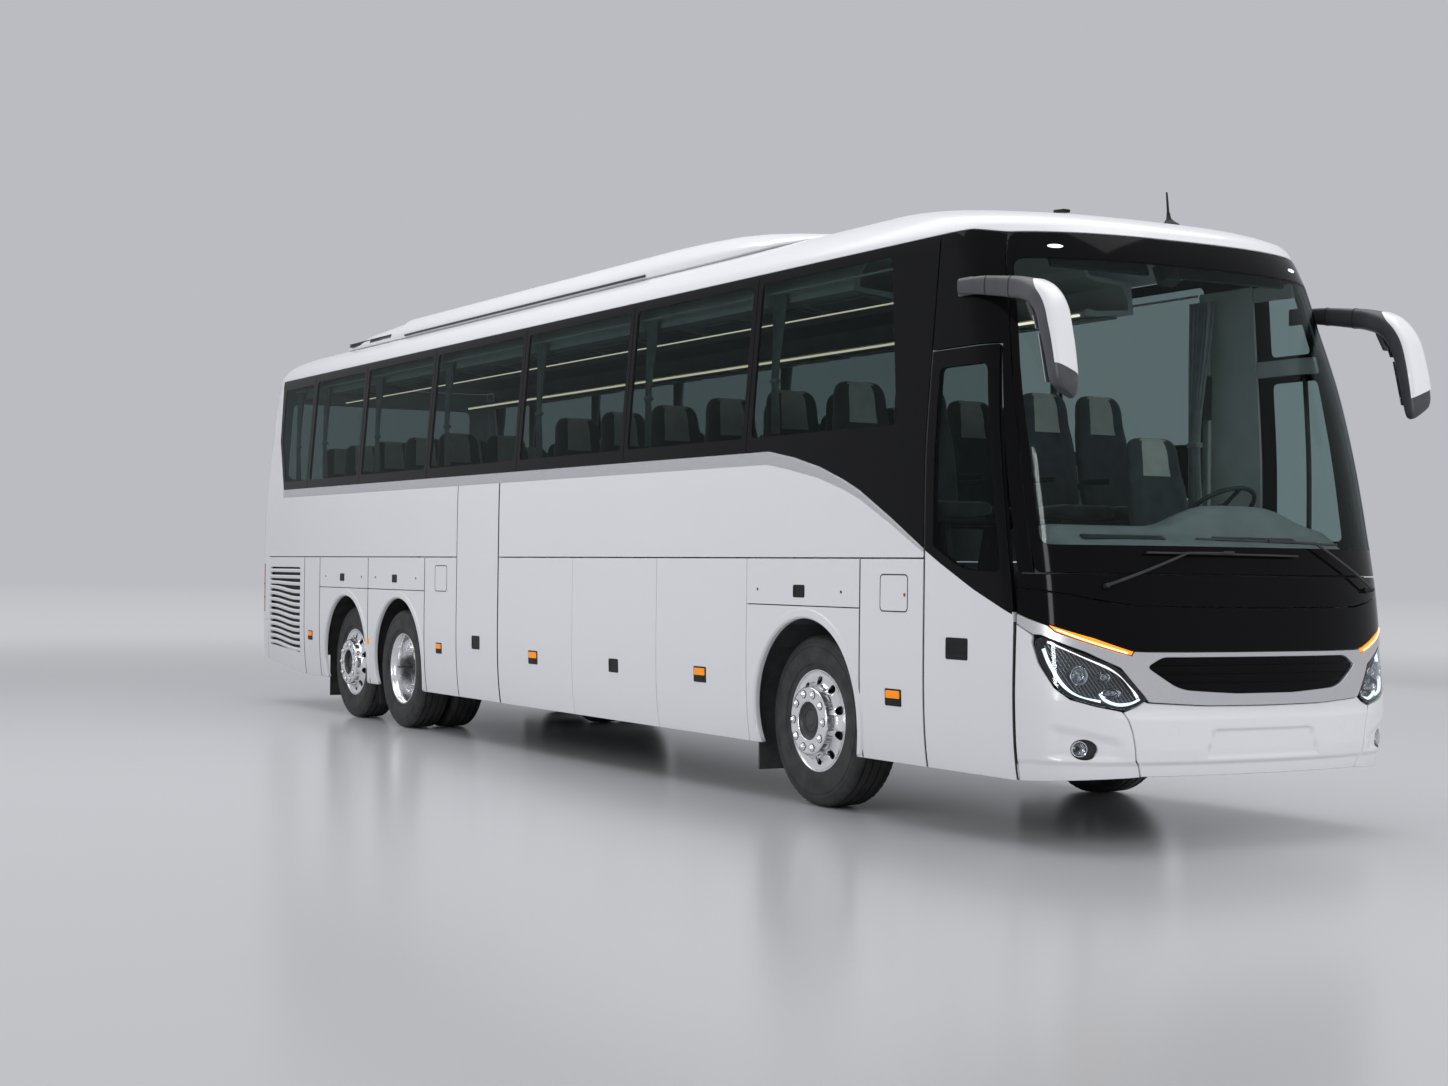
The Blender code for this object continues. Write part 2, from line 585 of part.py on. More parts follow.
def tyre_side(sign, y0=0.0):
    """Tyre section from the bead to the tread on one side."""
    half = TYRE_W / 2
    rows = ((0.305, RIM_Y - 0.005), (0.400, half), (0.495, half * 0.93), (WHEEL_R, half * 0.70))
    return [(r, y0 + sign * y) for r, y in rows]


def hand_holes(radius, y0, y1):
    """Ring of oval openings between the wheel's disc and its rim."""
    holes = []
    for k in range(HAND_HOLES):
        a = 2 * math.pi * (k + 0.5) / HAND_HOLES
        oval = [(0.020 * math.cos(t), 0.029 * math.sin(t)) for t in (math.pi * (j + 0.5) / 3 for j in range(6))]
        ring = [((radius + u) * math.cos(a) - v * math.sin(a), (radius + u) * math.sin(a) + v * math.cos(a))
                for u, v in oval]
        holes.append(prism(ring, "Y", y0, y1))
    return join(holes)


def wheel():
    """Single wheel with its tyre; y grows towards the outside of the coach.  The disc with its nuts
    stands proud of the rim, and the hub fills its middle."""
    outer = [(0.0, 0.186), (0.112, 0.166), (0.122, 0.180), (0.130, 0.197), (0.205, 0.197), (0.217, 0.140),
             (0.240, 0.116), (0.276, 0.112), (0.300, RIM_Y)]
    back = [(0.300, -RIM_Y), (0.272, -0.100), (0.268, 0.090), (0.205, 0.092), (0.196, 0.150), (0.110, 0.150),
            (0.110, -0.060), (0.062, -0.060), (0.062, 0.105), (0.0, 0.105)]
    shape = lathe(outer + tyre_side(1) + tyre_side(-1)[::-1] + back, WHEEL_SIDES)
    return cut(shape, hand_holes(0.243, 0.0, 0.3))


def twin_wheel():
    """Outer and inner wheel bolted disc to disc; y = 0 lies between the two discs."""
    gap = (TWIN_OUTER_Y - TWIN_INNER_Y) / 2
    outer = [(0.0, 0.165), (0.118, 0.150), (0.138, 0.030), (0.205, 0.024), (0.250, 0.050), (0.272, 0.100),
             (0.276, gap + 0.100), (0.300, gap + RIM_Y)]
    inner = [(0.300, -gap - RIM_Y), (0.276, -gap - 0.100), (0.272, -0.100), (0.250, -0.050), (0.205, -0.024),
             (0.130, -0.024), (0.130, -0.120), (0.075, -0.120), (0.075, 0.060), (0.0, 0.060)]
    facing = [tyre_side(-1, gap)[::-1], [(0.280, gap - 0.118), (0.280, 0.118 - gap)], tyre_side(1, -gap)]
    profile = outer + tyre_side(1, gap) + sum(facing, []) + tyre_side(-1, -gap)[::-1] + inner
    return cut(lathe(profile, WHEEL_SIDES), hand_holes(0.232, -0.3, 0.3))


def place_wheel(ob, axle, y, stem):
    """Right wheel faces -Y: turn the profile round, and mirror it for the left one."""
    bm = bmesh.new()
    bm.from_mesh(ob.data)
    for v in bm.verts:
        v.co = Vector((v.co.x + AXLE_X[axle], -v.co.y - y, v.co.z + WHEEL_R))
    bmesh.ops.reverse_faces(bm, faces=bm.faces)
    bm.to_mesh(ob.data)
    bm.free()
    pair(ob, stem, RUBBER, (AXLE_X[axle], -y, WHEEL_R))


def wheels():
    place_wheel(wheel(), "front", TRACK_FRONT / 2, "front_wheel")
    place_wheel(twin_wheel(), "drive", (TWIN_OUTER_Y + TWIN_INNER_Y) / 2, "drive_wheels")
    place_wheel(wheel(), "tag", TRACK_TAG / 2, "tag_wheel")


def knuckles():
    """Steering knuckle: kingpin barrel, stub axle, steering arm and brake caliper block."""
    x, z = AXLE_X["front"], WHEEL_R
    hub = TRACK_FRONT / 2
    shapes = [disc(0.055, z - 0.120, z + 0.120, "Z", (x, -KINGPIN_Y), 16),
              disc(0.050, -hub - 0.090, -KINGPIN_Y, "Y", (x, z), 16),
              disc(0.085, -KINGPIN_Y - 0.110, -KINGPIN_Y + 0.010, "Y", (x, z), 16),
              box(x - 0.300, x + 0.02, -KINGPIN_Y - 0.03, -KINGPIN_Y + 0.03, z - 0.110, z - 0.075)]
    knuckle = fuse(*shapes)
    pair(knuckle, "front_knuckle", STEEL, (x, -KINGPIN_Y, z))


def axles():
    x, z = AXLE_X["front"], WHEEL_R
    beam = fuse(box(x - 0.055, x + 0.055, -0.72, 0.72, z - 0.115, z - 0.005),
                *[box(x - 0.055, x + 0.055, min(s * 0.66, s * 0.75), max(s * 0.66, s * 0.75), z - 0.115, z + 0.165)
                  for s in (1, -1)],
                *[box(x - 0.050, x + 0.050, min(s * 0.74, s * (KINGPIN_Y + 0.05)),
                      max(s * 0.74, s * (KINGPIN_Y + 0.05)), z + 0.126, z + 0.165) for s in (1, -1)],
                *[disc(0.075, z - 0.010, z + 0.2775, "Z", (x, s * 0.40), 16) for s in (1, -1)])
    finish(beam, "front_axle", STEEL)
    x = AXLE_X["drive"]
    hub = (TWIN_OUTER_Y + TWIN_INNER_Y) / 2
    tube = fuse(disc(0.068, -hub - 0.030, hub + 0.030, "Y", (x, z), 16),
                disc(0.100, -hub + 0.170, hub - 0.170, "Y", (x, z), 16),
                disc(0.230, -0.150, 0.150, "Y", (x, z), 20),
                box(x - 0.34, x - 0.10, -0.09, 0.09, z - 0.07, z + 0.11),
                *[disc(0.085, z + 0.05, z + 0.4575, "Z", (x, s * 0.40), 16) for s in (1, -1)])
    finish(tube, "drive_axle", STEEL)
    x = AXLE_X["tag"]
    hub = TRACK_TAG / 2
    beam = fuse(disc(0.050, -hub - 0.090, hub + 0.090, "Y", (x, z), 16),
                box(x - 0.065, x + 0.065, -0.86, 0.86, z - 0.065, z + 0.065),
                *[disc(0.085, z + 0.04, z + 0.4575, "Z", (x, s * 0.40), 16) for s in (1, -1)])
    finish(beam, "tag_axle", STEEL)


# ------------------------------------------------------------------ underframe and floors
def underframe():
    """Two cranked rails: over the rear axles, under the luggage bay and low again in front."""
    rail = [(6.100, 0.800), (6.100, 0.940), (3.460, 0.940), (3.460, 0.395), (-0.480, 0.395), (-0.480, 1.140),
            (-6.300, 1.140), (-6.300, 0.980), (-0.560, 0.980), (-0.560, 0.330), (3.540, 0.330), (3.540, 0.800)]
    shapes = [prism(rail, "Y", s * 0.400 - 0.040, s * 0.400 + 0.040) for s in (1, -1)]
    # cross members: x, lower and upper height
    for x, z0, z1 in ((-6.260, 1.00, 1.12), (-4.70, 1.00, 1.12), (-3.38, 1.00, 1.12), (-2.00, 1.00, 1.12),
                      (-0.520, 0.34, 0.39), (1.50, 0.34, 0.39), (3.500, 0.34, 0.60), (4.80, 0.82, 0.92),
                      (6.050, 0.82, 0.92)):
        shapes.append(box(x - 0.035, x + 0.035, -0.42, 0.42, z0, z1))
    finish(fuse(*shapes), "underframe", STEEL)


def luggage_bay():
    """Belly floor with its cross bulkheads; each flap closes one bay on each side."""
    edges = (3.440, 2.247, 0.905, -0.420)
    shapes = [box(edges[-1], edges[0], -1.200, 1.200, BAY_FLOOR_Z - 0.040, BAY_FLOOR_Z)]
    for x in edges:
        x = min(max(x, edges[-1] + 0.012), edges[0] - 0.012)
        shapes.append(box(x - 0.012, x + 0.012, -1.200, 1.200, BAY_FLOOR_Z - 0.020, 1.340))
    finish(fuse(*shapes), "luggage_bay", DARK)


def saloon_floor():
    """Saloon deck, cut away over the middle stairwell."""
    floor = box(-6.30, 4.940, -1.205, 1.205, FLOOR_Z - FLOOR_T, FLOOR_Z)
    cut(floor, box(-1.33, -0.47, -1.30, -0.63, 1.0, 2.0))
    finish(floor, "saloon_floor", DARK)


UNDER_DECK = FLOOR_Z - FLOOR_T - 0.0005


def folded(steps, axis, lo, hi, sheet):
    """Staircase folded from one sheet; steps holds its upper line, ending at the top of the last rise."""
    under = [(u - sheet[0], v - sheet[1]) for u, v in steps]
    under[-1] = (under[-1][0], steps[-1][1])
    under[0] = (steps[0][0], under[0][1])
    return prism(steps + under[::-1], axis, lo, hi)


def stairwells():
    """Steps behind the entrance door climb to the rear, those behind the middle door climb inwards."""
    treads = ((5.430, 0.405), (5.240, 0.660), (5.070, 0.915), (4.920, 1.170))
    line = [(6.080, 0.405)]
    for (x, z), (_, z_next) in zip(treads, treads[1:] + ((0.0, UNDER_DECK),)):
        line += [(x, z), (x, z_next)]
    steps = folded(line, "Y", -1.185, -0.455, (0.025, 0.025))
    wall = box(4.895, 6.080, -0.480, -0.455, 0.380, 0.999)
    finish(fuse(steps, wall), "entrance_stairwell", DARK)
    line = [(-1.185, 0.410), (-0.900, 0.410), (-0.900, 0.730), (-0.760, 0.730), (-0.760, 1.070), (-0.632, 1.070),
            (-0.632, UNDER_DECK)]
    steps = folded(line, "X", -1.355, -0.445, (-0.025, 0.025))
    ends = [prism([(-1.185, 0.385), (-0.607, 0.385), (-0.607, UNDER_DECK), (-1.185, UNDER_DECK)], "X", x, x + 0.025)
            for x in (-1.355, -0.470)]
    finish(fuse(steps, *ends), "middle_stairwell", DARK)


def wheel_box(axle, inner_y, liner_r, mudflap):
    """Inner sheet and curved liner over one wheel on the right; the mudflap hangs behind it."""
    x = AXLE_X[axle]
    liner = cut(disc(liner_r + 0.014, -1.215, -inner_y, "Y", (x, ARCH_Z), 20),
                disc(liner_r, -1.3, 0.0, "Y", (x, ARCH_Z), 20), box(x - 1, x + 1, -1.3, 0.0, -0.5, ARCH_Z))
    sheet = cut(disc(liner_r + 0.014, -inner_y - 0.016, -inner_y, "Y", (x, ARCH_Z), 20),
                box(x - 1, x + 1, -1.3, 0.0, -0.5, ARCH_Z), box(x - 0.12, x + 0.12, -1.3, 0.0, 0.5, 0.66))
    shapes = [liner, sheet]
    if mudflap:
        shapes.append(box(x - liner_r - 0.012, x - liner_r + 0.002, -1.185, -0.880, 0.170, ARCH_Z + 0.05))
    return shapes


def driver_platform():
    """Raised floor of the driver's place with its bulkhead, which also carries both front wheel boxes."""
    shapes = [box(4.850, 6.100, -0.450, 1.190, 1.000, 1.040), box(4.850, 4.878, -1.190, 1.190, 0.560, UNDER_DECK)]
    for ob in wheel_box("front", 0.484, 0.662, True):
        shapes += [copy(ob, mirror=True), ob]
    rails = [box(4.8, 4.9, min(s * 0.355, s * 0.445), max(s * 0.355, s * 0.445), 0.795, 0.945) for s in (1, -1)]
    finish(cut(fuse(*shapes), *rails), "driver_platform", DARK)


def rear_wheel_boxes():
    """Wheel boxes of both rear axles, joined to one bulkhead in front of them."""
    shapes = [box(-2.065, -2.040, -1.190, 1.190, 0.560, UNDER_DECK)]
    for axle, reach in (("drive", 0.640), ("tag", 0.640)):
        for ob in wheel_box(axle, 0.560, reach, True):
            shapes += [copy(ob, mirror=True), ob]
    rails = [box(-3.0, 0.0, min(s * 0.355, s * 0.445), max(s * 0.355, s * 0.445), 0.975, 1.145) for s in (1, -1)]
    for s in (1, -1):
        y0, y1 = min(s * 0.545, s * 0.561), max(s * 0.545, s * 0.561)
        shapes.append(box(AXLE_X["tag"] - 0.30, -2.045, y0, y1, 1.150, UNDER_DECK))
    finish(cut(fuse(*shapes), *rails), "rear_wheel_boxes", DARK)


def engine():
    block = box(-6.32, -4.75, -0.34, 0.34, 0.420, 0.950)
    finish(block, "engine", STEEL)


def tow_hitch():
    """Ball on a swan neck under the rear bumper, on a cross plate."""
    shapes = [box(-6.44, -6.40, -0.30, 0.30, 0.400, 0.958), box(-6.735, -6.39, -0.040, 0.040, 0.430, 0.500),
              disc(0.030, 0.480, 0.560, "Z", (-6.735, 0.0), 12), box(-6.780, -6.690, -0.045, 0.045, 0.430, 0.496)]
    hitch = fuse(*shapes)
    finish(hitch, "tow_hitch", STEEL)


# ------------------------------------------------------------------ cabin
SEAT_PITCH = 0.800
ROWS_X = [4.30 - SEAT_PITCH * k for k in range(12)]
MID_DOOR_ROWS = (6, 7)                   # no right-hand seats over the middle stairwell


def double_seat(x, side):
    """Two seats on one frame: a single side profile, split between the two backs, on its legs."""
    z, inner, outer = FLOOR_Z, 0.262, 1.148
    y0, y1 = min(side * inner, side * outer), max(side * inner, side * outer)
    profile = [(x - 0.02, z + 0.31), (x + 0.44, z + 0.33), (x + 0.44, z + 0.46), (x + 0.08, z + 0.44),
               (x - 0.03, z + 1.18), (x - 0.12, z + 1.18)]
    seats = cut(prism(profile, "Y", y0, y1),
                box(x - 0.2, x + 0.2, side * 0.705 - 0.010, side * 0.705 + 0.010, z + 0.50, z + 1.3))
    leg = prism([(x + 0.06, z + 0.012), (x + 0.30, z + 0.012), (x + 0.22, z + 0.34), (x + 0.14, z + 0.34)],
                "Y", side * 0.48 - 0.02, side * 0.48 + 0.02)
    return [seats, leg]


def passenger_seats():
    """Double seats in rows on two floor rails, and the bench across the rear."""
    shapes = []
    for side in (1, -1):
        shapes.append(box(-5.20, 4.75, side * 0.48 - 0.02, side * 0.48 + 0.02, FLOOR_Z + 0.002, FLOOR_Z + 0.020))
        for k, x in enumerate(ROWS_X):
            if side == 1 or k not in MID_DOOR_ROWS:
                shapes += double_seat(x, side)
    shapes.append(prism([(-5.34, FLOOR_Z + 0.002), (-4.76, FLOOR_Z + 0.002), (-4.76, FLOOR_Z + 0.46),
                         (-5.14, FLOOR_Z + 0.44), (-5.25, FLOOR_Z + 1.16), (-5.34, FLOOR_Z + 1.16)], "Y", -1.13, 1.13))
    finish(fuse(*shapes), "passenger_seats", FABRIC)


def driver_place():
    shapes = [box(5.22, 5.62, 0.36, 0.84, 1.34, 1.50), box(5.30, 5.54, 0.48, 0.72, 1.042, 1.36),
              prism([(5.16, 1.40), (5.28, 1.40), (5.20, 2.26), (5.12, 2.26)], "Y", 0.37, 0.83)]
    finish(fuse(*shapes), "driver_seat", FABRIC)
    dash = prism([(6.12, 1.0405), (6.25, 1.0405), (6.30, 1.38), (6.22, 1.47), (6.02, 1.49), (5.95, 1.40)],
                 "Y", -0.40, 1.00)
    finish(dash, "dashboard", TRIM)
    ring = lathe([(0.215 + 0.014 * math.cos(a), 0.014 * math.sin(a)) for a in
                  (math.radians(60 * k) for k in range(6))], 20)
    hub = disc(0.050, -0.02, 0.02, "Y", (0, 0), 12)
    spokes = [box(-0.215, 0.215, -0.008, 0.008, -0.016, 0.016), box(-0.016, 0.016, -0.008, 0.008, -0.215, 0.0)]
    column = disc(0.026, -0.240, 0.0, "Y", (0, 0), 10)
    wheel_ob = fuse(ring, hub, *spokes, column)
    turn = Matrix.Translation((5.755, 0.60, 1.665)) @ Matrix.Rotation(math.radians(-35), 4, "Y") @ \
        Matrix.Rotation(math.radians(90), 4, "X")
    wheel_ob.data.transform(turn)
    finish(wheel_ob, "steering_wheel", DARK)


def luggage_racks():
    """Ceiling liner with the two overhead racks and their reading-light noses."""
    under = [(0.0, 3.500), (0.40, 3.495), (0.66, 3.400), (0.70, 3.330), (0.98, 3.310), (1.04, 3.120), (0.78, 3.075),
             (0.70, 3.090)]
    over = [(0.655, 3.060), (0.700, 3.035), (0.80, 3.040), (1.09, 3.105), (1.06, 3.335), (0.72, 3.360),
            (0.68, 3.415), (0.41, 3.512), (0.0, 3.517)]
    half = under + over
    outline = half + [(-y, z) for y, z in half[1:-1][::-1]]
    finish(prism(outline, "X", -5.90, 4.40), "luggage_racks", TRIM)


# mirror sections along the arm and down the head: centre x, z; half width in y; half depth; lean in degrees
MIRROR = ((5.640, 3.012, 0.030, 0.044, 90), (6.180, 3.010, 0.030, 0.046, 90), (6.300, 3.000, 0.050, 0.055, 84),
          (6.450, 2.965, 0.080, 0.066, 58), (6.545, 2.870, 0.096, 0.068, 30), (6.590, 2.700, 0.100, 0.062, 8),
          (6.600, 2.520, 0.100, 0.056, 0), (6.600, 2.350, 0.098, 0.048, 0), (6.600, 2.310, 0.080, 0.034, 0))


def mirrors():
    """Arm along the pillar's top that bends down into the hanging head."""
    bm = bmesh.new()
    rings = []
    for x, z, half_y, depth, lean in MIRROR:
        y = -1.240 - 0.016 * min(max((3.0 - z) / 0.3, 0.0), 1.0)
        tilt = math.radians(lean)
        ring = []
        for k in range(8):
            a = 2 * math.pi * (k + 0.5) / 8
            out = depth * math.copysign(abs(math.cos(a)) ** 0.7, math.cos(a)) / 0.924
            wide = half_y * math.copysign(abs(math.sin(a)) ** 0.7, math.sin(a)) / 0.924
            ring.append(bm.verts.new((x + out * math.cos(tilt), y + wide, z + out * math.sin(tilt))))
        rings.append(ring)
    for a, b in zip(rings, rings[1:]):
        for k in range(8):
            m = (k + 1) % 8
            bm.faces.new((a[k], a[m], b[m], b[k]))
    bm.faces.new(rings[0])
    bm.faces.new(rings[-1])
    foot = box(5.60, 5.72, -1.232, -1.2067, 2.965, 3.055)
    pair(fuse(make(bm), foot), "mirror", DARK)


def nose_point(y, z, off=0.0):
    """Point on the front surface at a side position and a height, moved forward by an offset."""
    lo, hi = [(a, b) for a, b in zip(HULL, HULL[1:]) if a[0] <= z <= b[0]][0]
    t = (z - lo[0]) / (hi[0] - lo[0])
    half, front = lo[1] + t * (hi[1] - lo[1]), lo[2] + t * (hi[2] - lo[2])
    drop = NOSE_DEPTH * (1 - (1 - (abs(y) / half) ** NOSE_POWER) ** (1 / NOSE_POWER))
    return (X_FRONT + front - drop + off, y, z)


# spindle y, z; arm's elbow and end; blade's two ends, each as (y, z)
WIPERS = (((-0.926, 1.372), (-0.470, 1.540), (-0.200, 1.545), (-0.700, 1.543), (0.300, 1.536)),
          ((0.926, 1.358), (0.440, 1.603), (0.126, 1.612), (-0.390, 1.620), (0.640, 1.602)))


def wipers():
    """Two arms and blades, on spindles that share one linkage bar behind the front panel."""
    shapes = [box(6.420, 6.450, -0.950, 0.950, 1.345, 1.385)]
    for (py, pz), elbow, end, tip_a, tip_b in WIPERS:
        x = nose_point(py, pz)[0]
        shapes.append(disc(0.011, 6.430, x + 0.052, "X", (py, pz), 10))
        path = [nose_point(py, pz, 0.040), nose_point(*elbow, 0.042), nose_point(*end, 0.036)]
        shapes += [rod(a, b, 0.009, 8) for a, b in zip(path, path[1:])]
        ys = [tip_a[0] + (tip_b[0] - tip_a[0]) * k / 4 for k in range(5)]
        blade = [nose_point(y, tip_a[1] + (tip_b[1] - tip_a[1]) * k / 4, 0.024) for k, y in enumerate(ys)]
        shapes += [rod(a, b, 0.010, 6) for a, b in zip(blade, blade[1:])]
    finish(fuse(*shapes), "wipers", DARK)


# ------------------------------------------------------------------ assembly
def build():
    clear_scene()
    for step in (side_walls, front_pillar, side_windows, front_skirts, rear_skirts, roof, roof_aircon, front_panel,
                 front_bumper, windscreen, headlamps, rear_end, front_door, mid_door, luggage_flaps, wheels, knuckles,
                 axles, underframe, luggage_bay, saloon_floor, stairwells, driver_platform, rear_wheel_boxes, engine,
                 tow_hitch, passenger_seats, driver_place, luggage_racks, mirrors, wipers):
        step()


build()
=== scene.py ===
"""Looks of a three-axle touring coach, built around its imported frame.

Metres, +X forward, +Z up, origin on the ground under the middle of the coach.  Right-hand
pieces are at -Y.  Each body panel follows the same outer form as its CAD solid."""
import math

import bmesh
import bpy
import numpy as np
from mathutils import Matrix, Vector
from mathutils.geometry import delaunay_2d_cdt

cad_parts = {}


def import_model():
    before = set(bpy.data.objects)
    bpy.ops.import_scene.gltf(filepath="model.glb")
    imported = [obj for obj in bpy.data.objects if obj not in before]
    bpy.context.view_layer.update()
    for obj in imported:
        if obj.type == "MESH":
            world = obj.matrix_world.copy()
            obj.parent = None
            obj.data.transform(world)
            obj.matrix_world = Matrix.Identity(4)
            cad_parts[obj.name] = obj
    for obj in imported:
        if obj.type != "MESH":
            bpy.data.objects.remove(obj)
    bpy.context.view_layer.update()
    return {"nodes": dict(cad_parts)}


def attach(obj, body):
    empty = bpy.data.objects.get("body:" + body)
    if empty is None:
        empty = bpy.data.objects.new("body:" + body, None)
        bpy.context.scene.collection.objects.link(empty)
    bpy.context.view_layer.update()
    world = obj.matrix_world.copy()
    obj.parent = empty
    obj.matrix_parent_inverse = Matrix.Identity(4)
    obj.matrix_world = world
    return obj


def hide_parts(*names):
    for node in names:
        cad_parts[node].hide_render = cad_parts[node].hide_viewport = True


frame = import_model()


# ------------------------------------------------------------------ driving dimensions (m)
X_FRONT, X_REAR = 6.780, -6.730
SKIRT_Z, SEAM_Z, BAND_Z0, BAND_Z1 = 0.350, 1.510, 2.195, 3.318
AXLE_X = {"front": 4.175, "drive": -2.695, "tag": -4.065}
WHEEL_R = 0.522
ARCH_R, ARCH_Z = 0.585, 0.560
GAP, SHUT = 0.0040, 0.0080
SIDES = (("right", -1), ("left", 1))
# height, half width there, shift of the nose and of the tail
HULL = ((0.300, 1.226, -0.060, 0.120), (0.360, 1.240, -0.030, 0.090), (0.500, 1.258, -0.005, 0.030),
        (0.750, 1.272, 0.000, 0.000), (1.000, 1.275, -0.030, 0.000), (1.200, 1.275, -0.050, 0.000),
        (1.380, 1.275, -0.075, 0.000), (1.650, 1.275, -0.130, 0.008), (2.150, 1.268, -0.245, 0.030),
        (2.500, 1.243, -0.335, 0.060), (2.850, 1.215, -0.465, 0.105), (3.200, 1.186, -0.600, 0.155),
        (3.300, 1.177, -0.660, 0.175), (3.360, 1.160, -0.705, 0.200), (3.410, 1.130, -0.825, 0.235),
        (3.490, 1.035, -1.225, 0.330), (3.560, 0.870, -1.625, 0.550), (3.610, 0.600, -2.100, 0.900),
        (3.630, 0.200, -2.700, 1.500))
NOSE_DEPTH, NOSE_POWER = 0.600, 2.5
TAIL_DEPTH, TAIL_POWER = 0.200, 3.2
# height and x of the windscreen's side edge
SCREEN_EDGE = ((1.440, 6.352), (2.080, 6.217), (2.675, 6.060), (3.285, 5.880))
DOOR = dict(rear=5.440, top=2.660, front_top=6.010, front_mid=6.255, mid_z=1.200)
FLAP_EDGES = (3.476, 2.247, 0.905, -0.465)
MID_DOOR = dict(rear=-1.330, front=-0.465, top=2.130)
REAR_X = -6.420
SWOOSH = ((3.72, 2.178), (4.02, 2.130), (4.33, 2.060), (4.60, 1.975), (4.78, 1.905), (5.10, 1.745),
          (5.432, 1.567))
# x and z limits of the side windows
PANES = ((-6.02, -5.30, 2.27, 3.22), (-5.20, -3.83, 2.27, 3.24), (-3.72, -2.12, 2.27, 3.25),
         (-2.01, -0.22, 2.27, 3.25), (-0.11, 1.64, 2.27, 3.25), (1.75, 3.38, 2.27, 3.25))


# ------------------------------------------------------------------ materials
def new_material(name, colour, rough, metal=0.0, **sockets):
    """A principled material; sockets are further inputs of its shader by name."""
    mat = bpy.data.materials.new(name)
    mat.use_nodes = True
    shader = mat.node_tree.nodes["Principled BSDF"]
    shader.inputs["Base Color"].default_value = (*colour, 1.0)
    shader.inputs["Roughness"].default_value = rough
    shader.inputs["Metallic"].default_value = metal
    for key, value in sockets.items():
        shader.inputs[key.replace("_", " ")].default_value = value
    mat.diffuse_color = (*colour, 1.0)
    return mat


def link(mat, a, out, b, into):
    mat.node_tree.links.new(a.outputs[out], b.inputs[into])


def shader_of(mat):
    return mat.node_tree.nodes["Principled BSDF"]


def coords(mat, stretch=(1, 1, 1)):
    """Object coordinates, stretched along each axis."""
    nodes = mat.node_tree.nodes
    where = nodes.new("ShaderNodeTexCoord")
    fit = nodes.new("ShaderNodeMapping")
    fit.inputs["Scale"].default_value = stretch
    link(mat, where, "Object", fit, "Vector")
    return fit


def noise(mat, scale, detail=3.0, stretch=(1, 1, 1), rough=0.5):
    tex = mat.node_tree.nodes.new("ShaderNodeTexNoise")
    tex.inputs["Scale"].default_value = scale
    tex.inputs["Detail"].default_value = detail
    tex.inputs["Roughness"].default_value = rough
    link(mat, coords(mat, stretch), "Vector", tex, "Vector")
    return tex


def ramp(mat, source, out, low, high, span=(0.3, 0.7)):
    """Colour ramp between two colours driven by a texture."""
    node = mat.node_tree.nodes.new("ShaderNodeValToRGB")
    for stop, place_on, colour in zip(node.color_ramp.elements, span, (low, high)):
        stop.position = place_on
        stop.color = (*colour, 1.0)
    link(mat, source, out, node, "Fac")
    return node


def vary_colour(mat, low, high, scale, stretch=(1, 1, 1), span=(0.3, 0.7), detail=3.0):
    tex = noise(mat, scale, detail, stretch)
    link(mat, ramp(mat, tex, "Fac", low, high, span), "Color", shader_of(mat), "Base Color")
    return tex


def vary_rough(mat, low, high, scale, stretch=(1, 1, 1)):
    tex = noise(mat, scale, 4.0, stretch)
    fit = mat.node_tree.nodes.new("ShaderNodeMapRange")
    for key, value in (("From Min", 0.3), ("From Max", 0.7), ("To Min", low), ("To Max", high)):
        fit.inputs[key].default_value = value
    link(mat, tex, "Fac", fit, "Value")
    link(mat, fit, "Result", shader_of(mat), "Roughness")


def bump(mat, source, out, strength, distance):
    node = mat.node_tree.nodes.new("ShaderNodeBump")
    node.inputs["Strength"].default_value = strength
    node.inputs["Distance"].default_value = distance
    link(mat, source, out, node, "Height")
    link(mat, node, "Normal", shader_of(mat), "Normal")
    return node


def grained(mat, scale, strength, distance, detail=3.0, stretch=(1, 1, 1)):
    bump(mat, noise(mat, scale, detail, stretch), "Fac", strength, distance)
    return mat


def paint(name, low, high, rough, coat=0.35, ior=1.45):
    """Coach enamel: a faint soft mottle, very fine orange peel and a clear coat."""
    mat = new_material(name, high, rough, Coat_Weight=coat, Coat_Roughness=0.10, IOR=ior)
    vary_colour(mat, low, high, 0.9, span=(0.1, 0.9), detail=0.0)
    return grained(mat, 450.0, 0.02, 0.0001, 0.0)


def clear_glass(name, tint, facing, slanted):
    """Thin tinted glass: see-through where it faces the eye, glossy at a slant.

    facing is the share mirrored straight on, slanted what a grazing look adds to it."""
    mat = new_material(name, (0.9, 0.95, 0.95), 0.03, 1.0)
    nodes = mat.node_tree.nodes
    through = nodes.new("ShaderNodeBsdfTransparent")
    through.inputs["Color"].default_value = (*tint, 1.0)
    blend = nodes.new("ShaderNodeMixShader")
    slant = nodes.new("ShaderNodeLayerWeight")
    slant.inputs["Blend"].default_value = 0.5
    rise = nodes.new("ShaderNodeMath")
    rise.operation = "POWER"
    rise.inputs[1].default_value = 5.0
    share = nodes.new("ShaderNodeMath")
    share.operation = "MULTIPLY_ADD"
    share.inputs[1].default_value = slanted
    share.inputs[2].default_value = facing
    link(mat, slant, "Facing", rise, 0)
    link(mat, rise, "Value", share, 0)
    link(mat, share, "Value", blend, 0)
    link(mat, through, "BSDF", blend, 1)
    link(mat, shader_of(mat), "BSDF", blend, 2)
    link(mat, blend, "Shader", nodes["Material Output"], "Surface")
    mat.diffuse_color = (*tint, 0.4)
    return mat


def glow(name, colour, strength):
    """Lit plastic with a faint grain."""
    mat = new_material(name, colour, 0.25, Emission_Color=(*colour, 1.0), Emission_Strength=strength)
    return grained(mat, 90.0, 0.1, 0.001)


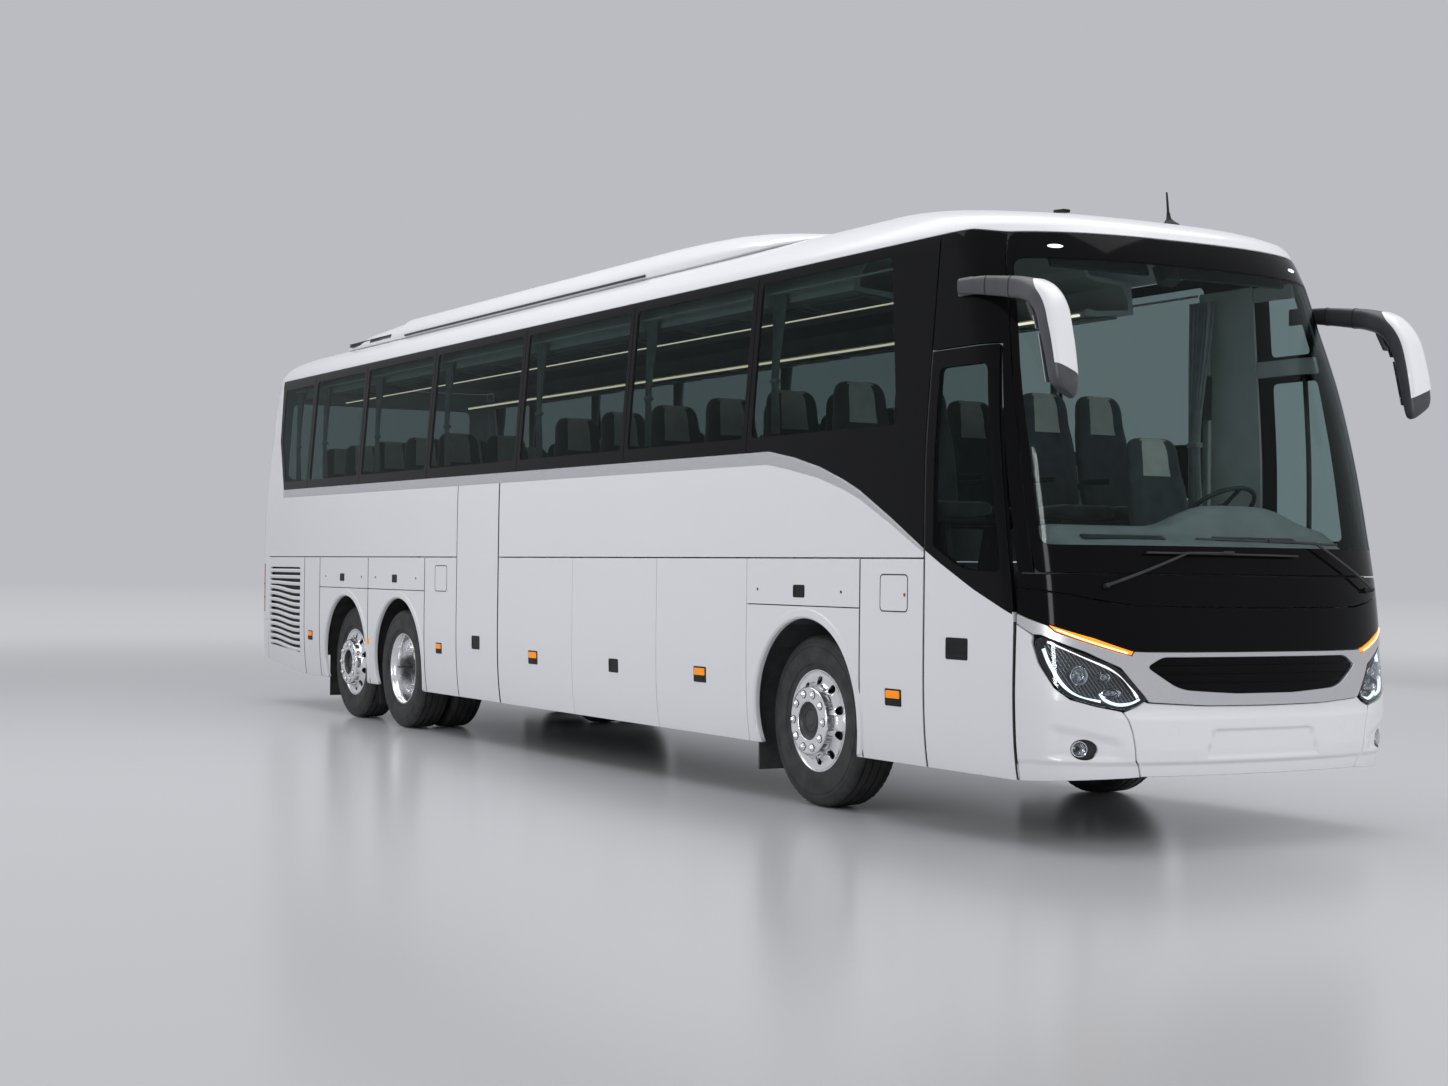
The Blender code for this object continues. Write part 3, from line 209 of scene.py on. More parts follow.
def fabric(name, low, high, thread):
    """Woven cloth: two crossing waves for the threads over a soft mottle."""
    mat = new_material(name, high, 0.85, Sheen_Weight=0.3, Sheen_Roughness=0.5)
    vary_colour(mat, low, high, 14.0)
    nodes = mat.node_tree.nodes
    waves = []
    for direction in ("Y", "Z"):
        wave = nodes.new("ShaderNodeTexWave")
        wave.bands_direction = direction
        wave.inputs["Scale"].default_value = thread / 10
        wave.inputs["Distortion"].default_value = 0.6
        link(mat, coords(mat), "Vector", wave, "Vector")
        waves.append(wave)
    both = nodes.new("ShaderNodeMath")
    both.operation = "MULTIPLY"
    link(mat, waves[0], "Fac", both, 0)
    link(mat, waves[1], "Fac", both, 1)
    bump(mat, both, "Value", 0.35, 0.0012)
    return mat


def dusty(name, colour, dust, rough, metal=0.0, scale=9.0):
    """Underbody finish: a base colour with road dust lying on it in patches."""
    mat = new_material(name, colour, rough, metal)
    vary_colour(mat, colour, dust, scale, span=(0.35, 0.85), detail=6.0)
    vary_rough(mat, rough * 0.85, min(rough * 1.2, 1.0), scale * 2)
    return grained(mat, 160.0, 0.25, 0.0010, 5.0)


def material(name, colour, rough, metal=0.0, mottle=None, patches=None, grain=None, **sockets):
    """A finish from its colour and roughness, with an optional mottle, gloss patches and grain."""
    mat = new_material(name, colour, rough, metal, **sockets)
    if mottle:
        vary_colour(mat, *mottle)
    if patches:
        vary_rough(mat, *patches)
    if grain:
        grained(mat, *grain)
    return mat


def mesh_metal():
    """Dark wire mesh drawn by a fine grid of cells in the colour and the bump."""
    mat = new_material("outlet_wire_mesh", (0.012, 0.012, 0.013), 0.6, 0.2)
    cells = mat.node_tree.nodes.new("ShaderNodeTexVoronoi")
    cells.inputs["Scale"].default_value = 90.0
    cells.inputs["Randomness"].default_value = 0.0
    link(mat, coords(mat), "Vector", cells, "Vector")
    shade = ramp(mat, cells, "Distance", (0.003, 0.003, 0.003), (0.035, 0.035, 0.037), (0.3, 0.6))
    link(mat, shade, "Color", shader_of(mat), "Base Color")
    bump(mat, cells, "Distance", 0.5, 0.003)
    return mat


def bowl_finish():
    """Smoked reflector bowl with fine flutes."""
    mat = new_material("smoked_reflector", (0.060, 0.064, 0.070), 0.22, 0.9)
    wave = mat.node_tree.nodes.new("ShaderNodeTexWave")
    wave.inputs["Scale"].default_value = 22.0
    wave.bands_direction = "DIAGONAL"
    link(mat, coords(mat), "Vector", wave, "Vector")
    shade = ramp(mat, wave, "Fac", (0.020, 0.022, 0.025), (0.16, 0.17, 0.18), (0.2, 0.9))
    link(mat, shade, "Color", shader_of(mat), "Base Color")
    bump(mat, wave, "Fac", 0.6, 0.004)
    return mat


def projector_glass():
    """Bright domed lens with a faint cell pattern."""
    mat = new_material("projector_lens", (0.42, 0.47, 0.52), 0.05, 0.6, Coat_Weight=1.0, Coat_Roughness=0.02)
    cells = mat.node_tree.nodes.new("ShaderNodeTexVoronoi")
    cells.inputs["Scale"].default_value = 70.0
    link(mat, coords(mat), "Vector", cells, "Vector")
    shade = ramp(mat, cells, "Distance", (0.62, 0.68, 0.74), (0.10, 0.12, 0.14), (0.1, 0.7))
    link(mat, shade, "Color", shader_of(mat), "Base Color")
    bump(mat, cells, "Distance", 0.3, 0.002)
    return mat


WHITE = paint("white_enamel", (0.772, 0.778, 0.802), (0.786, 0.792, 0.816), 0.27)
GLOSS_BLACK = paint("gloss_black_enamel", (0.0035, 0.0035, 0.004), (0.0055, 0.0055, 0.006), 0.07, 0.0, 1.17)
SILVER = material("silver_trim", (0.66, 0.67, 0.69), 0.30, 0.80,
                  mottle=((0.61, 0.62, 0.64), (0.70, 0.71, 0.73), 30.0, (0.3, 8, 8)),
                  grain=(300.0, 0.10, 0.0004, 2.0, (0.05, 1, 1)))
SEAM_RUBBER = dusty("seam_rubber", (0.010, 0.010, 0.011), (0.030, 0.030, 0.030), 0.75, 0.0, 30.0)
DARK_PLASTIC = material("moulded_plastic", (0.022, 0.023, 0.025), 0.48,
                        mottle=((0.018, 0.019, 0.021), (0.030, 0.031, 0.034), 8.0),
                        grain=(700.0, 0.30, 0.0006, 2.0))
PULL_BLACK = material("pull_black", (0.006, 0.006, 0.007), 0.42, Specular_IOR_Level=0.22,
                      mottle=((0.005, 0.005, 0.006), (0.009, 0.009, 0.010), 12.0))
GREY_PLASTIC = material("mirror_arm_plastic", (0.055, 0.058, 0.064), 0.40,
                        mottle=((0.046, 0.049, 0.055), (0.064, 0.067, 0.073), 8.0),
                        grain=(700.0, 0.20, 0.0005, 2.0))
SIDE_GLASS = clear_glass("side_window_glass", (0.54, 0.595, 0.59), facing=0.006, slanted=0.20)
SCREEN_GLASS = clear_glass("windscreen_glass", (0.80, 0.865, 0.86), facing=0.010, slanted=0.30)
DOOR_GLASS = clear_glass("door_glass", (0.60, 0.66, 0.655), facing=0.006, slanted=0.25)
LENS = clear_glass("lamp_cover_glass", (0.93, 0.94, 0.95), facing=0.03, slanted=0.70)
MIRROR_GLASS = material("mirror_glass", (0.80, 0.82, 0.84), 0.03, 1.0, patches=(0.02, 0.05, 20.0))
CHROME = material("chrome", (0.78, 0.79, 0.81), 0.10, 1.0, patches=(0.07, 0.15, 40.0))
ALLOY = material("polished_alloy", (0.90, 0.905, 0.92), 0.24, 1.0,
                 mottle=((0.86, 0.865, 0.88), (0.94, 0.945, 0.955), 12.0),
                 patches=(0.14, 0.27, 25.0), grain=(130.0, 0.04, 0.0005))
TYRE = material("tyre_rubber", (0.020, 0.020, 0.021), 0.62,
                mottle=((0.016, 0.016, 0.017), (0.044, 0.044, 0.045), 10.0, (1, 1, 1), (0.3, 0.7), 6.0),
                grain=(260.0, 0.35, 0.0010, 4.0))
STEEL = dusty("painted_steel_dusty", (0.050, 0.052, 0.056), (0.13, 0.125, 0.12), 0.55, 0.4)
HUB_PAINT = dusty("hub_enamel", (0.045, 0.046, 0.050), (0.075, 0.075, 0.078), 0.42, 0.3, 20.0)
UNDER = dusty("underbody_coating", (0.014, 0.014, 0.015), (0.050, 0.048, 0.046), 0.80)
AMBER = material("amber_lens", (0.92, 0.27, 0.002), 0.30, Specular_IOR_Level=0.20,
                 Emission_Color=(1.0, 0.30, 0.0, 1.0), Emission_Strength=0.30,
                 mottle=((0.80, 0.20, 0.005), (0.95, 0.33, 0.02), 120.0),
                 grain=(300.0, 0.5, 0.0012, 1.0, (1, 1, 0.2)))
RED_LENS = material("red_lens", (0.42, 0.008, 0.010), 0.15, Coat_Weight=0.7, Coat_Roughness=0.04,
                    mottle=((0.34, 0.006, 0.008), (0.50, 0.012, 0.014), 60.0),
                    grain=(220.0, 0.4, 0.0015, 1.0, (1, 1, 0.3)))
LED_WHITE = glow("led_white", (0.72, 0.85, 1.00), 1.25)
LED_AMBER = glow("led_amber", (1.00, 0.27, 0.015), 0.95)
LED_AMBER_CORE = glow("led_amber_core", (1.0, 0.72, 0.30), 2.4)
LED_WARM = glow("led_warm", (1.00, 0.86, 0.66), 1.3)
TRIM = material("saloon_trim", (0.50, 0.50, 0.49), 0.60,
                mottle=((0.46, 0.46, 0.45), (0.54, 0.54, 0.53), 5.0), grain=(500.0, 0.25, 0.0006))
DASH = material("dashboard_skin", (0.20, 0.205, 0.21), 0.55,
                mottle=((0.18, 0.185, 0.19), (0.23, 0.235, 0.24), 6.0), grain=(420.0, 0.30, 0.0008))
CARPET = fabric("floor_covering", (0.030, 0.031, 0.034), (0.055, 0.056, 0.060), 700.0)
SEAT_CLOTH = fabric("seat_cloth", (0.026, 0.029, 0.034), (0.048, 0.052, 0.060), 900.0)
COVER_CLOTH = fabric("headrest_cover", (0.42, 0.40, 0.37), (0.50, 0.48, 0.45), 1200.0)
CURTAIN = fabric("curtain_cloth", (0.24, 0.245, 0.25), (0.32, 0.325, 0.33), 1100.0)
WIRE_MESH = mesh_metal()
REFLECTOR = bowl_finish()
PROJECTOR = projector_glass()


# ------------------------------------------------------------------ mesh building
class Shape:
    """Vertices, their normals, faces and material numbers of one mesh."""

    def __init__(self):
        self.co, self.no, self.faces, self.mats = [], [], [], []

    def add(self, co, no, faces, mats):
        base = len(self.co)
        self.co.extend(map(tuple, co))
        self.no.extend(map(tuple, no))
        self.faces.extend([tuple(base + i for i in f) for f in faces])
        self.mats.extend(mats if not isinstance(mats, int) else [mats] * len(faces))

    def build(self, name, materials):
        mesh = bpy.data.meshes.new(name)
        mesh.from_pydata(self.co, [], self.faces)
        for mat in materials:
            mesh.materials.append(mat)
        mesh.polygons.foreach_set("material_index", self.mats)
        mesh.polygons.foreach_set("use_smooth", [True] * len(self.faces))
        mesh.update()
        mesh.normals_split_custom_set_from_vertices([Vector(n).normalized() for n in self.no])
        ob = bpy.data.objects.new(name, mesh)
        bpy.context.scene.collection.objects.link(ob)
        return ob


def from_bmesh(bm, name, materials, smooth=35.0):
    """Object of a bmesh, shaded smooth up to an angle between faces."""
    bmesh.ops.recalc_face_normals(bm, faces=bm.faces)
    mesh = bpy.data.meshes.new(name)
    bm.to_mesh(mesh)
    bm.free()
    for mat in materials:
        mesh.materials.append(mat)
    mesh.shade_smooth()
    mesh.set_sharp_from_angle(angle=math.radians(smooth))
    ob = bpy.data.objects.new(name, mesh)
    bpy.context.scene.collection.objects.link(ob)
    return ob


def place(ob, body="coach_body", replaces=()):
    """Hook a piece to its body and the CAD nodes that it stands for."""
    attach(ob, body)
    if replaces:
        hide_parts(*replaces)
    return ob


def piece(made, name, materials, body="coach_body", replaces=(), smooth=35.0):
    """Turn a Shape or a bmesh into a named piece on its body."""
    if isinstance(made, Shape):
        ob = made.build(name, materials)
    else:
        ob = from_bmesh(made, name, materials, smooth)
    return place(ob, body, replaces)


def placed(where, lean=0.0, axis="Y"):
    """Matrix that leans a form by degrees about an axis, then moves it to its place."""
    return Matrix.Translation(where) @ Matrix.Rotation(math.radians(lean), 4, axis)


def angles(count, phase=0.0):
    """Evenly spaced turns round a circle, shifted by a share of a step."""
    return [2 * math.pi * (k + phase) / count for k in range(count)]


def squared(value, power):
    """Power that keeps the sign, for sections between an ellipse and a rectangle."""
    return math.copysign(abs(value) ** power, value)


# ------------------------------------------------------------------ outer form as smooth surfaces
def smooth_rows(rows, count=1400):
    """Cubic curve through the hull rows, as a dense table."""
    rows = np.array(rows)
    step = np.sqrt((np.diff(rows[:, :2], axis=0) ** 2).sum(1)) + 0.25 * np.abs(np.diff(rows[:, 2]))
    s = np.concatenate(([0.0], np.cumsum(step)))
    slope = np.gradient(rows, s, axis=0)
    at = np.linspace(0.0, s[-1], count)
    k = np.clip(np.searchsorted(s, at, side="right") - 1, 0, len(s) - 2)
    h = (s[k + 1] - s[k])[:, None]
    t = ((at - s[k])[:, None]) / h
    a = 2 * t ** 3 - 3 * t ** 2 + 1
    b = t ** 3 - 2 * t ** 2 + t
    c = -2 * t ** 3 + 3 * t ** 2
    d = t ** 3 - t ** 2
    return a * rows[k] + b * h * slope[k] + c * rows[k + 1] + d * h * slope[k + 1]


TABLE = smooth_rows(HULL)
TABLE[:, 2] = np.minimum(TABLE[:, 2], -0.002)


def rows_at(z):
    """Half width, shift of the nose and shift of the tail at a height."""
    return [np.interp(z, TABLE[:, 0], TABLE[:, c]) for c in (1, 2, 3)]


def superellipse(d, power):
    """Width left at a depth d behind the tip of the plan curve, both as shares."""
    return (1 - (1 - np.clip(d, 0, 1)) ** power) ** (1 / power)


def side_y(x, z):
    """Half width of the body at a point of its side."""
    half, front, rear = rows_at(z)
    nose = superellipse((X_FRONT + front - x) / NOSE_DEPTH, NOSE_POWER)
    tail = superellipse((x - X_REAR - rear) / TAIL_DEPTH, TAIL_POWER)
    return half * nose * tail


class Surface:
    """Maps outline coordinates to points on the body, with a depth below the skin."""
    step = 0.004

    def raw(self, u, v):
        raise NotImplementedError

    def at(self, uv, depth=0.0):
        uv = np.asarray(uv, float).reshape(-1, 2)
        u, v = uv[:, 0], uv[:, 1]
        h = self.step
        du = self.raw(u + h, v) - self.raw(u - h, v)
        dv = self.raw(u, v + h) - self.raw(u, v - h)
        n = np.cross(du, dv)
        n /= np.linalg.norm(n, axis=1)[:, None]
        if self.flip:
            n = -n
        return self.raw(u, v) - n * depth, n


class Side(Surface):
    """Coordinates are (x, z)."""

    def __init__(self, sign):
        self.sign, self.flip = sign, sign > 0

    def raw(self, u, v):
        return np.stack((u, self.sign * side_y(u, v), v), 1)


def plan_curve(u, power):
    """Shares along and across a superellipse at a turn."""
    along = np.abs(np.cos(u)) ** (2 / power)
    return along, np.sign(np.sin(u)) * np.abs(np.sin(u)) ** (2 / power)


class Front(Surface):
    """Coordinates are (turn round the nose in radians, z)."""
    flip, step = False, 0.006

    def raw(self, u, v):
        half, front, _ = rows_at(v)
        c, s = plan_curve(u, NOSE_POWER)
        return np.stack((X_FRONT + front - NOSE_DEPTH * (1 - c), half * s, v), 1)


class Tail(Surface):
    """Coordinates are (turn round the tail, z); past a quarter turn the rest is metres along the side."""
    flip, step = True, 0.006

    def raw(self, u, v):
        half, _, rear = rows_at(v)
        along = np.maximum(np.abs(u) - math.pi / 2, 0.0)
        c, s = plan_curve(np.clip(u, -math.pi / 2, math.pi / 2), TAIL_POWER)
        return np.stack((X_REAR + rear + TAIL_DEPTH * (1 - c) + along, half * s, v), 1)


RIGHT, LEFT, NOSE, TAIL = Side(-1), Side(1), Front(), Tail()
SIDE = {-1: RIGHT, 1: LEFT}


def turn_y(y, z):
    """Turn round the nose of a point given by its side position."""
    half = float(rows_at(z)[0])
    return math.copysign(math.asin(min(abs(y) / half, 1.0) ** (NOSE_POWER / 2)), y)


def turn_x(x, z):
    """Turn round the nose of a point given by how far forward it is."""
    d = (X_FRONT + float(rows_at(z)[1]) - x) / NOSE_DEPTH
    return math.acos(min(max(1 - d, 0.0), 1.0) ** (NOSE_POWER / 2))


def tail_turn(y, z):
    """Turn round the tail of a point given by its side position."""
    half = float(rows_at(z)[0])
    return math.copysign(math.asin(min(abs(y) / half, 1.0) ** (TAIL_POWER / 2)), y)


def tail_x(x, z):
    """Turn round the tail of a point given by its x; past a quarter turn it goes on along the side."""
    d = (x - X_REAR - float(rows_at(z)[2])) / TAIL_DEPTH
    if d >= 1:
        return math.pi / 2 + (d - 1) * TAIL_DEPTH
    return math.acos(min(max(1 - d, 0.0), 1.0) ** (TAIL_POWER / 2))


def nose_point(y, z, off=0.0):
    return Vector(NOSE.at([(turn_y(y, z), z)], -off)[0][0])


def nose_normal(y, z):
    return NOSE.at([(turn_y(y, z), z)])[1][0]


def on_nose(points, sign=1):
    """(y, z) points as (turn, z) on the nose, for the side that the sign gives."""
    return [(turn_y(sign * y, z), z) for y, z in points]


def screen_x(z):
    """How far forward the windscreen's side edge is at a height."""
    return float(np.interp(z, *zip(*SCREEN_EDGE)))


# ------------------------------------------------------------------ flat outlines
def area(loop):
    return sum(a[0] * b[1] - b[0] * a[1] for a, b in zip(loop, loop[1:] + loop[:1])) / 2


def wound(loop, ccw=True):
    """Outline in the turning direction asked for."""
    loop = [tuple(map(float, p)) for p in loop]
    return loop if (area(loop) > 0) == ccw else loop[::-1]


def smoothstep(a, b, t):
    t = np.clip((t - a) / (b - a), 0, 1)
    return t * t * (3 - 2 * t)


def rounded(loop, radius, steps=5):
    """Corner points of an outline replaced by small curves; radius may be a list."""
    out = []
    n = len(loop)
    radii = radius if isinstance(radius, (list, tuple)) else [radius] * n
    for i, (corner, r) in enumerate(zip(loop, radii)):
        p, a, b = Vector(corner), Vector(loop[i - 1]), Vector(loop[(i + 1) % n])
        if r <= 0:
            out.append(tuple(p))
            continue
        start = p + (a - p).normalized() * min(r, (a - p).length * 0.48)
        end = p + (b - p).normalized() * min(r, (b - p).length * 0.48)
        for k in range(steps + 1):
            t = k / steps
            out.append(tuple((1 - t) ** 2 * start + 2 * t * (1 - t) * p + t * t * end))
    return out


def dense(loop, limit, closed=True):
    """Outline or open line with points added until no step is longer than a limit."""
    out = []
    ends = loop[1:] + loop[:1] if closed else loop[1:]
    for a, b in zip(loop, ends):
        n = max(1, math.ceil(math.dist(a, b) / limit))
        out += [(a[0] + (b[0] - a[0]) * k / n, a[1] + (b[1] - a[1]) * k / n) for k in range(n)]
    return out if closed else out + [loop[-1]]


def inset(loop, by):
    """Outline moved towards its left by a distance."""
    pts = np.array(loop)
    ahead = np.roll(pts, -1, 0) - pts
    ahead /= np.linalg.norm(ahead, axis=1)[:, None] + 1e-12
    back = np.roll(ahead, 1, 0)
    left = np.stack((-ahead[:, 1], ahead[:, 0]), 1) + np.stack((-back[:, 1], back[:, 0]), 1)
    size = np.linalg.norm(left, axis=1)[:, None]
    left = left / np.maximum(size, 1e-9)
    miter = np.maximum(size / 2, 0.45)
    return [tuple(p) for p in pts + left * by / miter]


def inside(points, loop):
    """Which points lie in an outline."""
    pts = np.asarray(points, float).reshape(-1, 2)
    poly = np.array(loop)
    a, b = poly, np.roll(poly, -1, 0)
    x, y = pts[:, 0][:, None], pts[:, 1][:, None]
    crosses = (a[:, 1] > y) != (b[:, 1] > y)
    with np.errstate(divide="ignore", invalid="ignore"):
        at = a[:, 0] + (y - a[:, 1]) * (b[:, 0] - a[:, 0]) / (b[:, 1] - a[:, 1])
    return (crosses & (x < at)).sum(1) % 2 == 1


def far_from(points, loops, limit):
    """Which points keep a distance from all the outlines' points and edges."""
    pts = np.asarray(points, float).reshape(-1, 2)
    keep = np.ones(len(pts), bool)
    for loop, closed in loops:
        a = np.array(loop)
        b = np.roll(a, -1, 0)
        if not closed:
            a, b = a[:-1], b[:-1]
        ab = b - a
        t = ((pts[:, None] - a) * ab).sum(2) / ((ab ** 2).sum(1) + 1e-12)
        near = a + np.clip(t, 0, 1)[..., None] * ab
        keep &= np.linalg.norm(pts[:, None] - near, axis=2).min(1) > limit
    return keep


def grid_in(loop, step):
    """Inner points of a grid over an outline's box."""
    (x0, y0), (x1, y1) = np.min(loop, 0), np.max(loop, 0)
    nx = max(1, round((x1 - x0) / step[0]))
    ny = max(1, round((y1 - y0) / step[1]))
    return [(x0 + (x1 - x0) * i / nx, y0 + (y1 - y0) * j / ny)
            for i in range(1, nx) for j in range(1, ny)]


def within(points, rings):
    """Which points lie in the first ring and in none of the others."""
    keep = inside(points, rings[0])
    for ring in rings[1:]:
        keep &= ~inside(points, ring)
    return keep


def spare_points(rings, tracks, step, extra):
    """Inner points of a panel's grid that keep clear of its rings and tracks."""
    spare = np.array(grid_in(rings[0], step) + list(extra)).reshape(-1, 2)
    if len(spare):
        spare = spare[within(spare, rings)]
    if len(spare):
        spare = spare[far_from(spare, tracks, min(step) * 0.30)]
    return [tuple(p) for p in spare]


def triangulated(rings, tracks, spare):
    """Triangles between an outline and its holes that follow all tracks, each a loop or an open line.

    Returns the flat points, the triangles, their middles and the new number of each track point."""
    pts, edges = [], []
    for track, closed in tracks:
        base, size = len(pts), len(track)
        pts += track
        edges += [(base + k, base + (k + 1) % size) for k in range(size if closed else size - 1)]
    got = delaunay_2d_cdt([Vector(p) for p in pts + spare], edges, [], 0, 1e-7)
    flat = np.array([tuple(v) for v in got[0]])
    index = {old: new for new, origins in enumerate(got[3]) for old in origins}
    tris = np.array([f for f in got[2]])
    mid = flat[tris].mean(1)
    good = within(mid, rings)
    tris, mid = tris[good], mid[good]
    cross = np.cross(flat[tris[:, 1]] - flat[tris[:, 0]], flat[tris[:, 2]] - flat[tris[:, 0]])
    tris[cross < 0] = tris[cross < 0][:, ::-1]
    return flat, tris, mid, index


def edge_rows(surf, loop, ring, bevel, depth, lift):
    """Points and normals of a panel's edge: the row under the bevel and the row at the back."""
    mid, normal = surf.at(loop, bevel - lift)
    low = surf.at(loop, depth - lift)[0]
    lateral = surf.at(loop)[0] - surf.at(ring)[0]
    lateral /= np.linalg.norm(lateral, axis=1)[:, None] + 1e-12
    return [mid, low], [lateral * 0.96 + normal * 0.25, lateral]


def edge_faces(top, base, n):
    """Bevel, edge and rear strip round one ring, whose front points are given by number."""
    faces, size = [], len(top)
    for k in range(size):
        m = (k + 1) % size
        faces.append((top[k], base + k, base + m, top[m]))
        faces.append((base + k, base + size + k, base + size + m, base + m))
        faces.append((base + size + k, n + top[k], n + top[m], base + size + m))
    return faces


def panel(shape, surf, outline, holes=(), patches=(), lines=(), depth=0.025, bevel=0.003, step=(0.12, 0.07),
          mat=0, extra=(), lift=0.0, limit=0.06):
    """Closed skin panel: a bevelled outline on a surface, with holes and differently finished patches.

    patches holds (loop, material number); lines holds open crease lines; lift raises it off the skin."""
    loops = [dense(wound(outline), limit)] + [dense(wound(h, False), limit / 2) for h in holes]
    rings = [inset(loop, bevel) for loop in loops]
    marks = [dense(wound(p), limit / 2) for p, _ in patches]
    creases = [dense(list(m), limit, False) for m in lines]
    tracks = [(r, True) for r in rings + marks] + [(c, False) for c in creases]
    flat, tris, mid, index = triangulated(rings, tracks, spare_points(rings, tracks, step, extra))
    mats = np.full(len(tris), mat)
    for loop, m in patches:
        mats[inside(mid, loop)] = m
    n = len(flat)
    co, no = surf.at(flat, -lift)
    points, normals = [co, surf.at(flat, depth - lift)[0]], [no, -no]
    faces = [tuple(t) for t in tris] + [tuple(t[::-1] + n) for t in tris]
    fmats = list(mats) * 2
    base, start = 2 * n, 0
    for loop, ring in zip(loops, rings):
        rows, row_normals = edge_rows(surf, loop, ring, bevel, depth, lift)
        points += rows
        normals += row_normals
        faces += edge_faces([index[start + k] for k in range(len(loop))], base, n)
        base += 2 * len(loop)
        start += len(loop)
    fmats += [mat] * (len(faces) - len(fmats))
    if surf.flip:
        faces = [f[::-1] for f in faces]
    shape.add(np.concatenate(points), np.concatenate(normals), faces, [int(m) for m in fmats])


def one_panel(name, surf, outline, materials, body="coach_body", slot="coach_white", replaces=(), **settings):
    """A piece that is a single panel."""
    shape = Shape()
    panel(shape, surf, outline, **settings)
    return piece(shape, name, materials, body, replaces)


# ------------------------------------------------------------------ lofted and turned forms
def loft(rings, close_ends=True, closed=True):
    """Mesh through rings of equal length; returns a bmesh."""
    bm = bmesh.new()
    rows = [[bm.verts.new(p) for p in ring] for ring in rings]
    size = len(rows[0])
    for a, b in zip(rows, rows[1:]):
        for k in range(size if closed else size - 1):
            m = (k + 1) % size
            bm.faces.new((a[k], a[m], b[m], b[k]))
    if close_ends and closed:
        bm.faces.new(rows[0])
        bm.faces.new(rows[-1][::-1])
    return bm


def turned(profile, sides):
    """Turn (radius, y) points about the Y axis."""
    rings = [[(r * math.cos(a), y, r * math.sin(a)) for a in angles(sides)] for r, y in profile]
    return loft(rings + [rings[0]], close_ends=False)


def tube(path, radius, sides=12):
    """Round bar along a list of points, with a radius for each point or one for all."""
    pts = [Vector(p) for p in path]
    radii = radius if isinstance(radius, (list, tuple)) else [radius] * len(pts)
    rings = []
    side = None
    for i, p in enumerate(pts):
        ahead = (pts[min(i + 1, len(pts) - 1)] - pts[max(i - 1, 0)]).normalized()
        if side is None:
            side = ahead.orthogonal().normalized()
        side = (side - ahead * side.dot(ahead)).normalized()
        other = ahead.cross(side)
        rings.append([p + radii[i] * (math.cos(a) * side + math.sin(a) * other) for a in angles(sides)])
    return loft(rings)


def merge(bm, other, matrix=None, mat=None):
    """Add another bmesh to bm."""
    mesh = bpy.data.meshes.new("part")
    other.to_mesh(mesh)
    other.free()
    if matrix is not None:
        mesh.transform(matrix)
    if mat is not None:
        mesh.polygons.foreach_set("material_index", [mat] * len(mesh.polygons))
    bm.from_mesh(mesh)
    bpy.data.meshes.remove(mesh)
    return bm


def soft_box(size, radius, segments):
    """Box with rounded edges, centred on the origin."""
    bm = bmesh.new()
    bmesh.ops.create_cube(bm, size=1.0)
    bmesh.ops.scale(bm, vec=Vector(size), verts=bm.verts)
    bmesh.ops.bevel(bm, geom=bm.edges[:] + bm.verts[:], offset=radius, segments=segments, profile=0.6,
                    affect="EDGES", clamp_overlap=True)
    return bm


def catmull(points, per=6):
    """Smooth open curve through points."""
    pts = [Vector(p) for p in points]
    pts = [pts[0] * 2 - pts[1]] + pts + [pts[-1] * 2 - pts[-2]]
    out = []
    for a, b, c, d in zip(pts, pts[1:], pts[2:], pts[3:]):
        for k in range(per):
            t = k / per
            out.append(0.5 * ((2 * b) + (c - a) * t + (2 * a - 5 * b + 4 * c - d) * t * t +
                              (3 * b - a - 3 * c + d) * t ** 3))
    return out + [pts[-2]]


# ------------------------------------------------------------------ sides
SKIN_TOP = 1.506
COARSE, SKIN, FINE = dict(step=(0.16, 0.07)), dict(step=(0.12, 0.07)), dict(step=(0.04, 0.04), limit=0.02)
JOINT = dict(bevel=0.0015, step=(0.02, 0.06), limit=0.02)
CAB_EDGE = dict(step=(0.05, 0.06), limit=0.04)


def arch_curve(axle, radius, start=201.0, end=-21.0, steps=56):
    """Points of a wheel opening from behind the wheel over its top to the front."""
    x = AXLE_X[axle]
    bend = [math.radians(start + (end - start) * k / steps) for k in range(steps + 1)]
    return [(x + radius * math.cos(a), ARCH_Z + radius * math.sin(a)) for a in bend]


def rect(x0, x1, z0, z1, radius=0.012):
    return rounded([(x0, z0), (x1, z0), (x1, z1), (x0, z1)], radius)


def about_rect(x, z, w, h, left, right, low, top, radius):
    """Rectangle whose edges lie at shares of a fitting's width and height from its middle."""
    return rect(x + w * left, x + w * right, z + h * low, z + h * top, radius)


def body_wall(name, sign):
    """White skin from the flap seam up to the window band, with the rear post."""
    rear, front, top = MID_DOOR["rear"] - SHUT, MID_DOOR["front"] + SHUT, MID_DOOR["top"] + SHUT
    low = SEAM_Z + GAP
    notch = [(rear, low), (rear, top), (front, top), (front, low)] if sign < 0 else []
    sweep = [(x, z - 0.004) for x, z in SWOOSH[::-1]]
    post = [(-5.991, BAND_Z0 - 0.004), (-6.234, 2.700), (-6.294, BAND_Z1), (REAR_X + GAP, BAND_Z1)]
    outline = [(REAR_X + GAP, low)] + notch + [(5.432, low)] + sweep + post
    one_panel("side_body_" + name, SIDE[sign], outline, [WHITE], replaces=["side_wall_" + name], **COARSE)


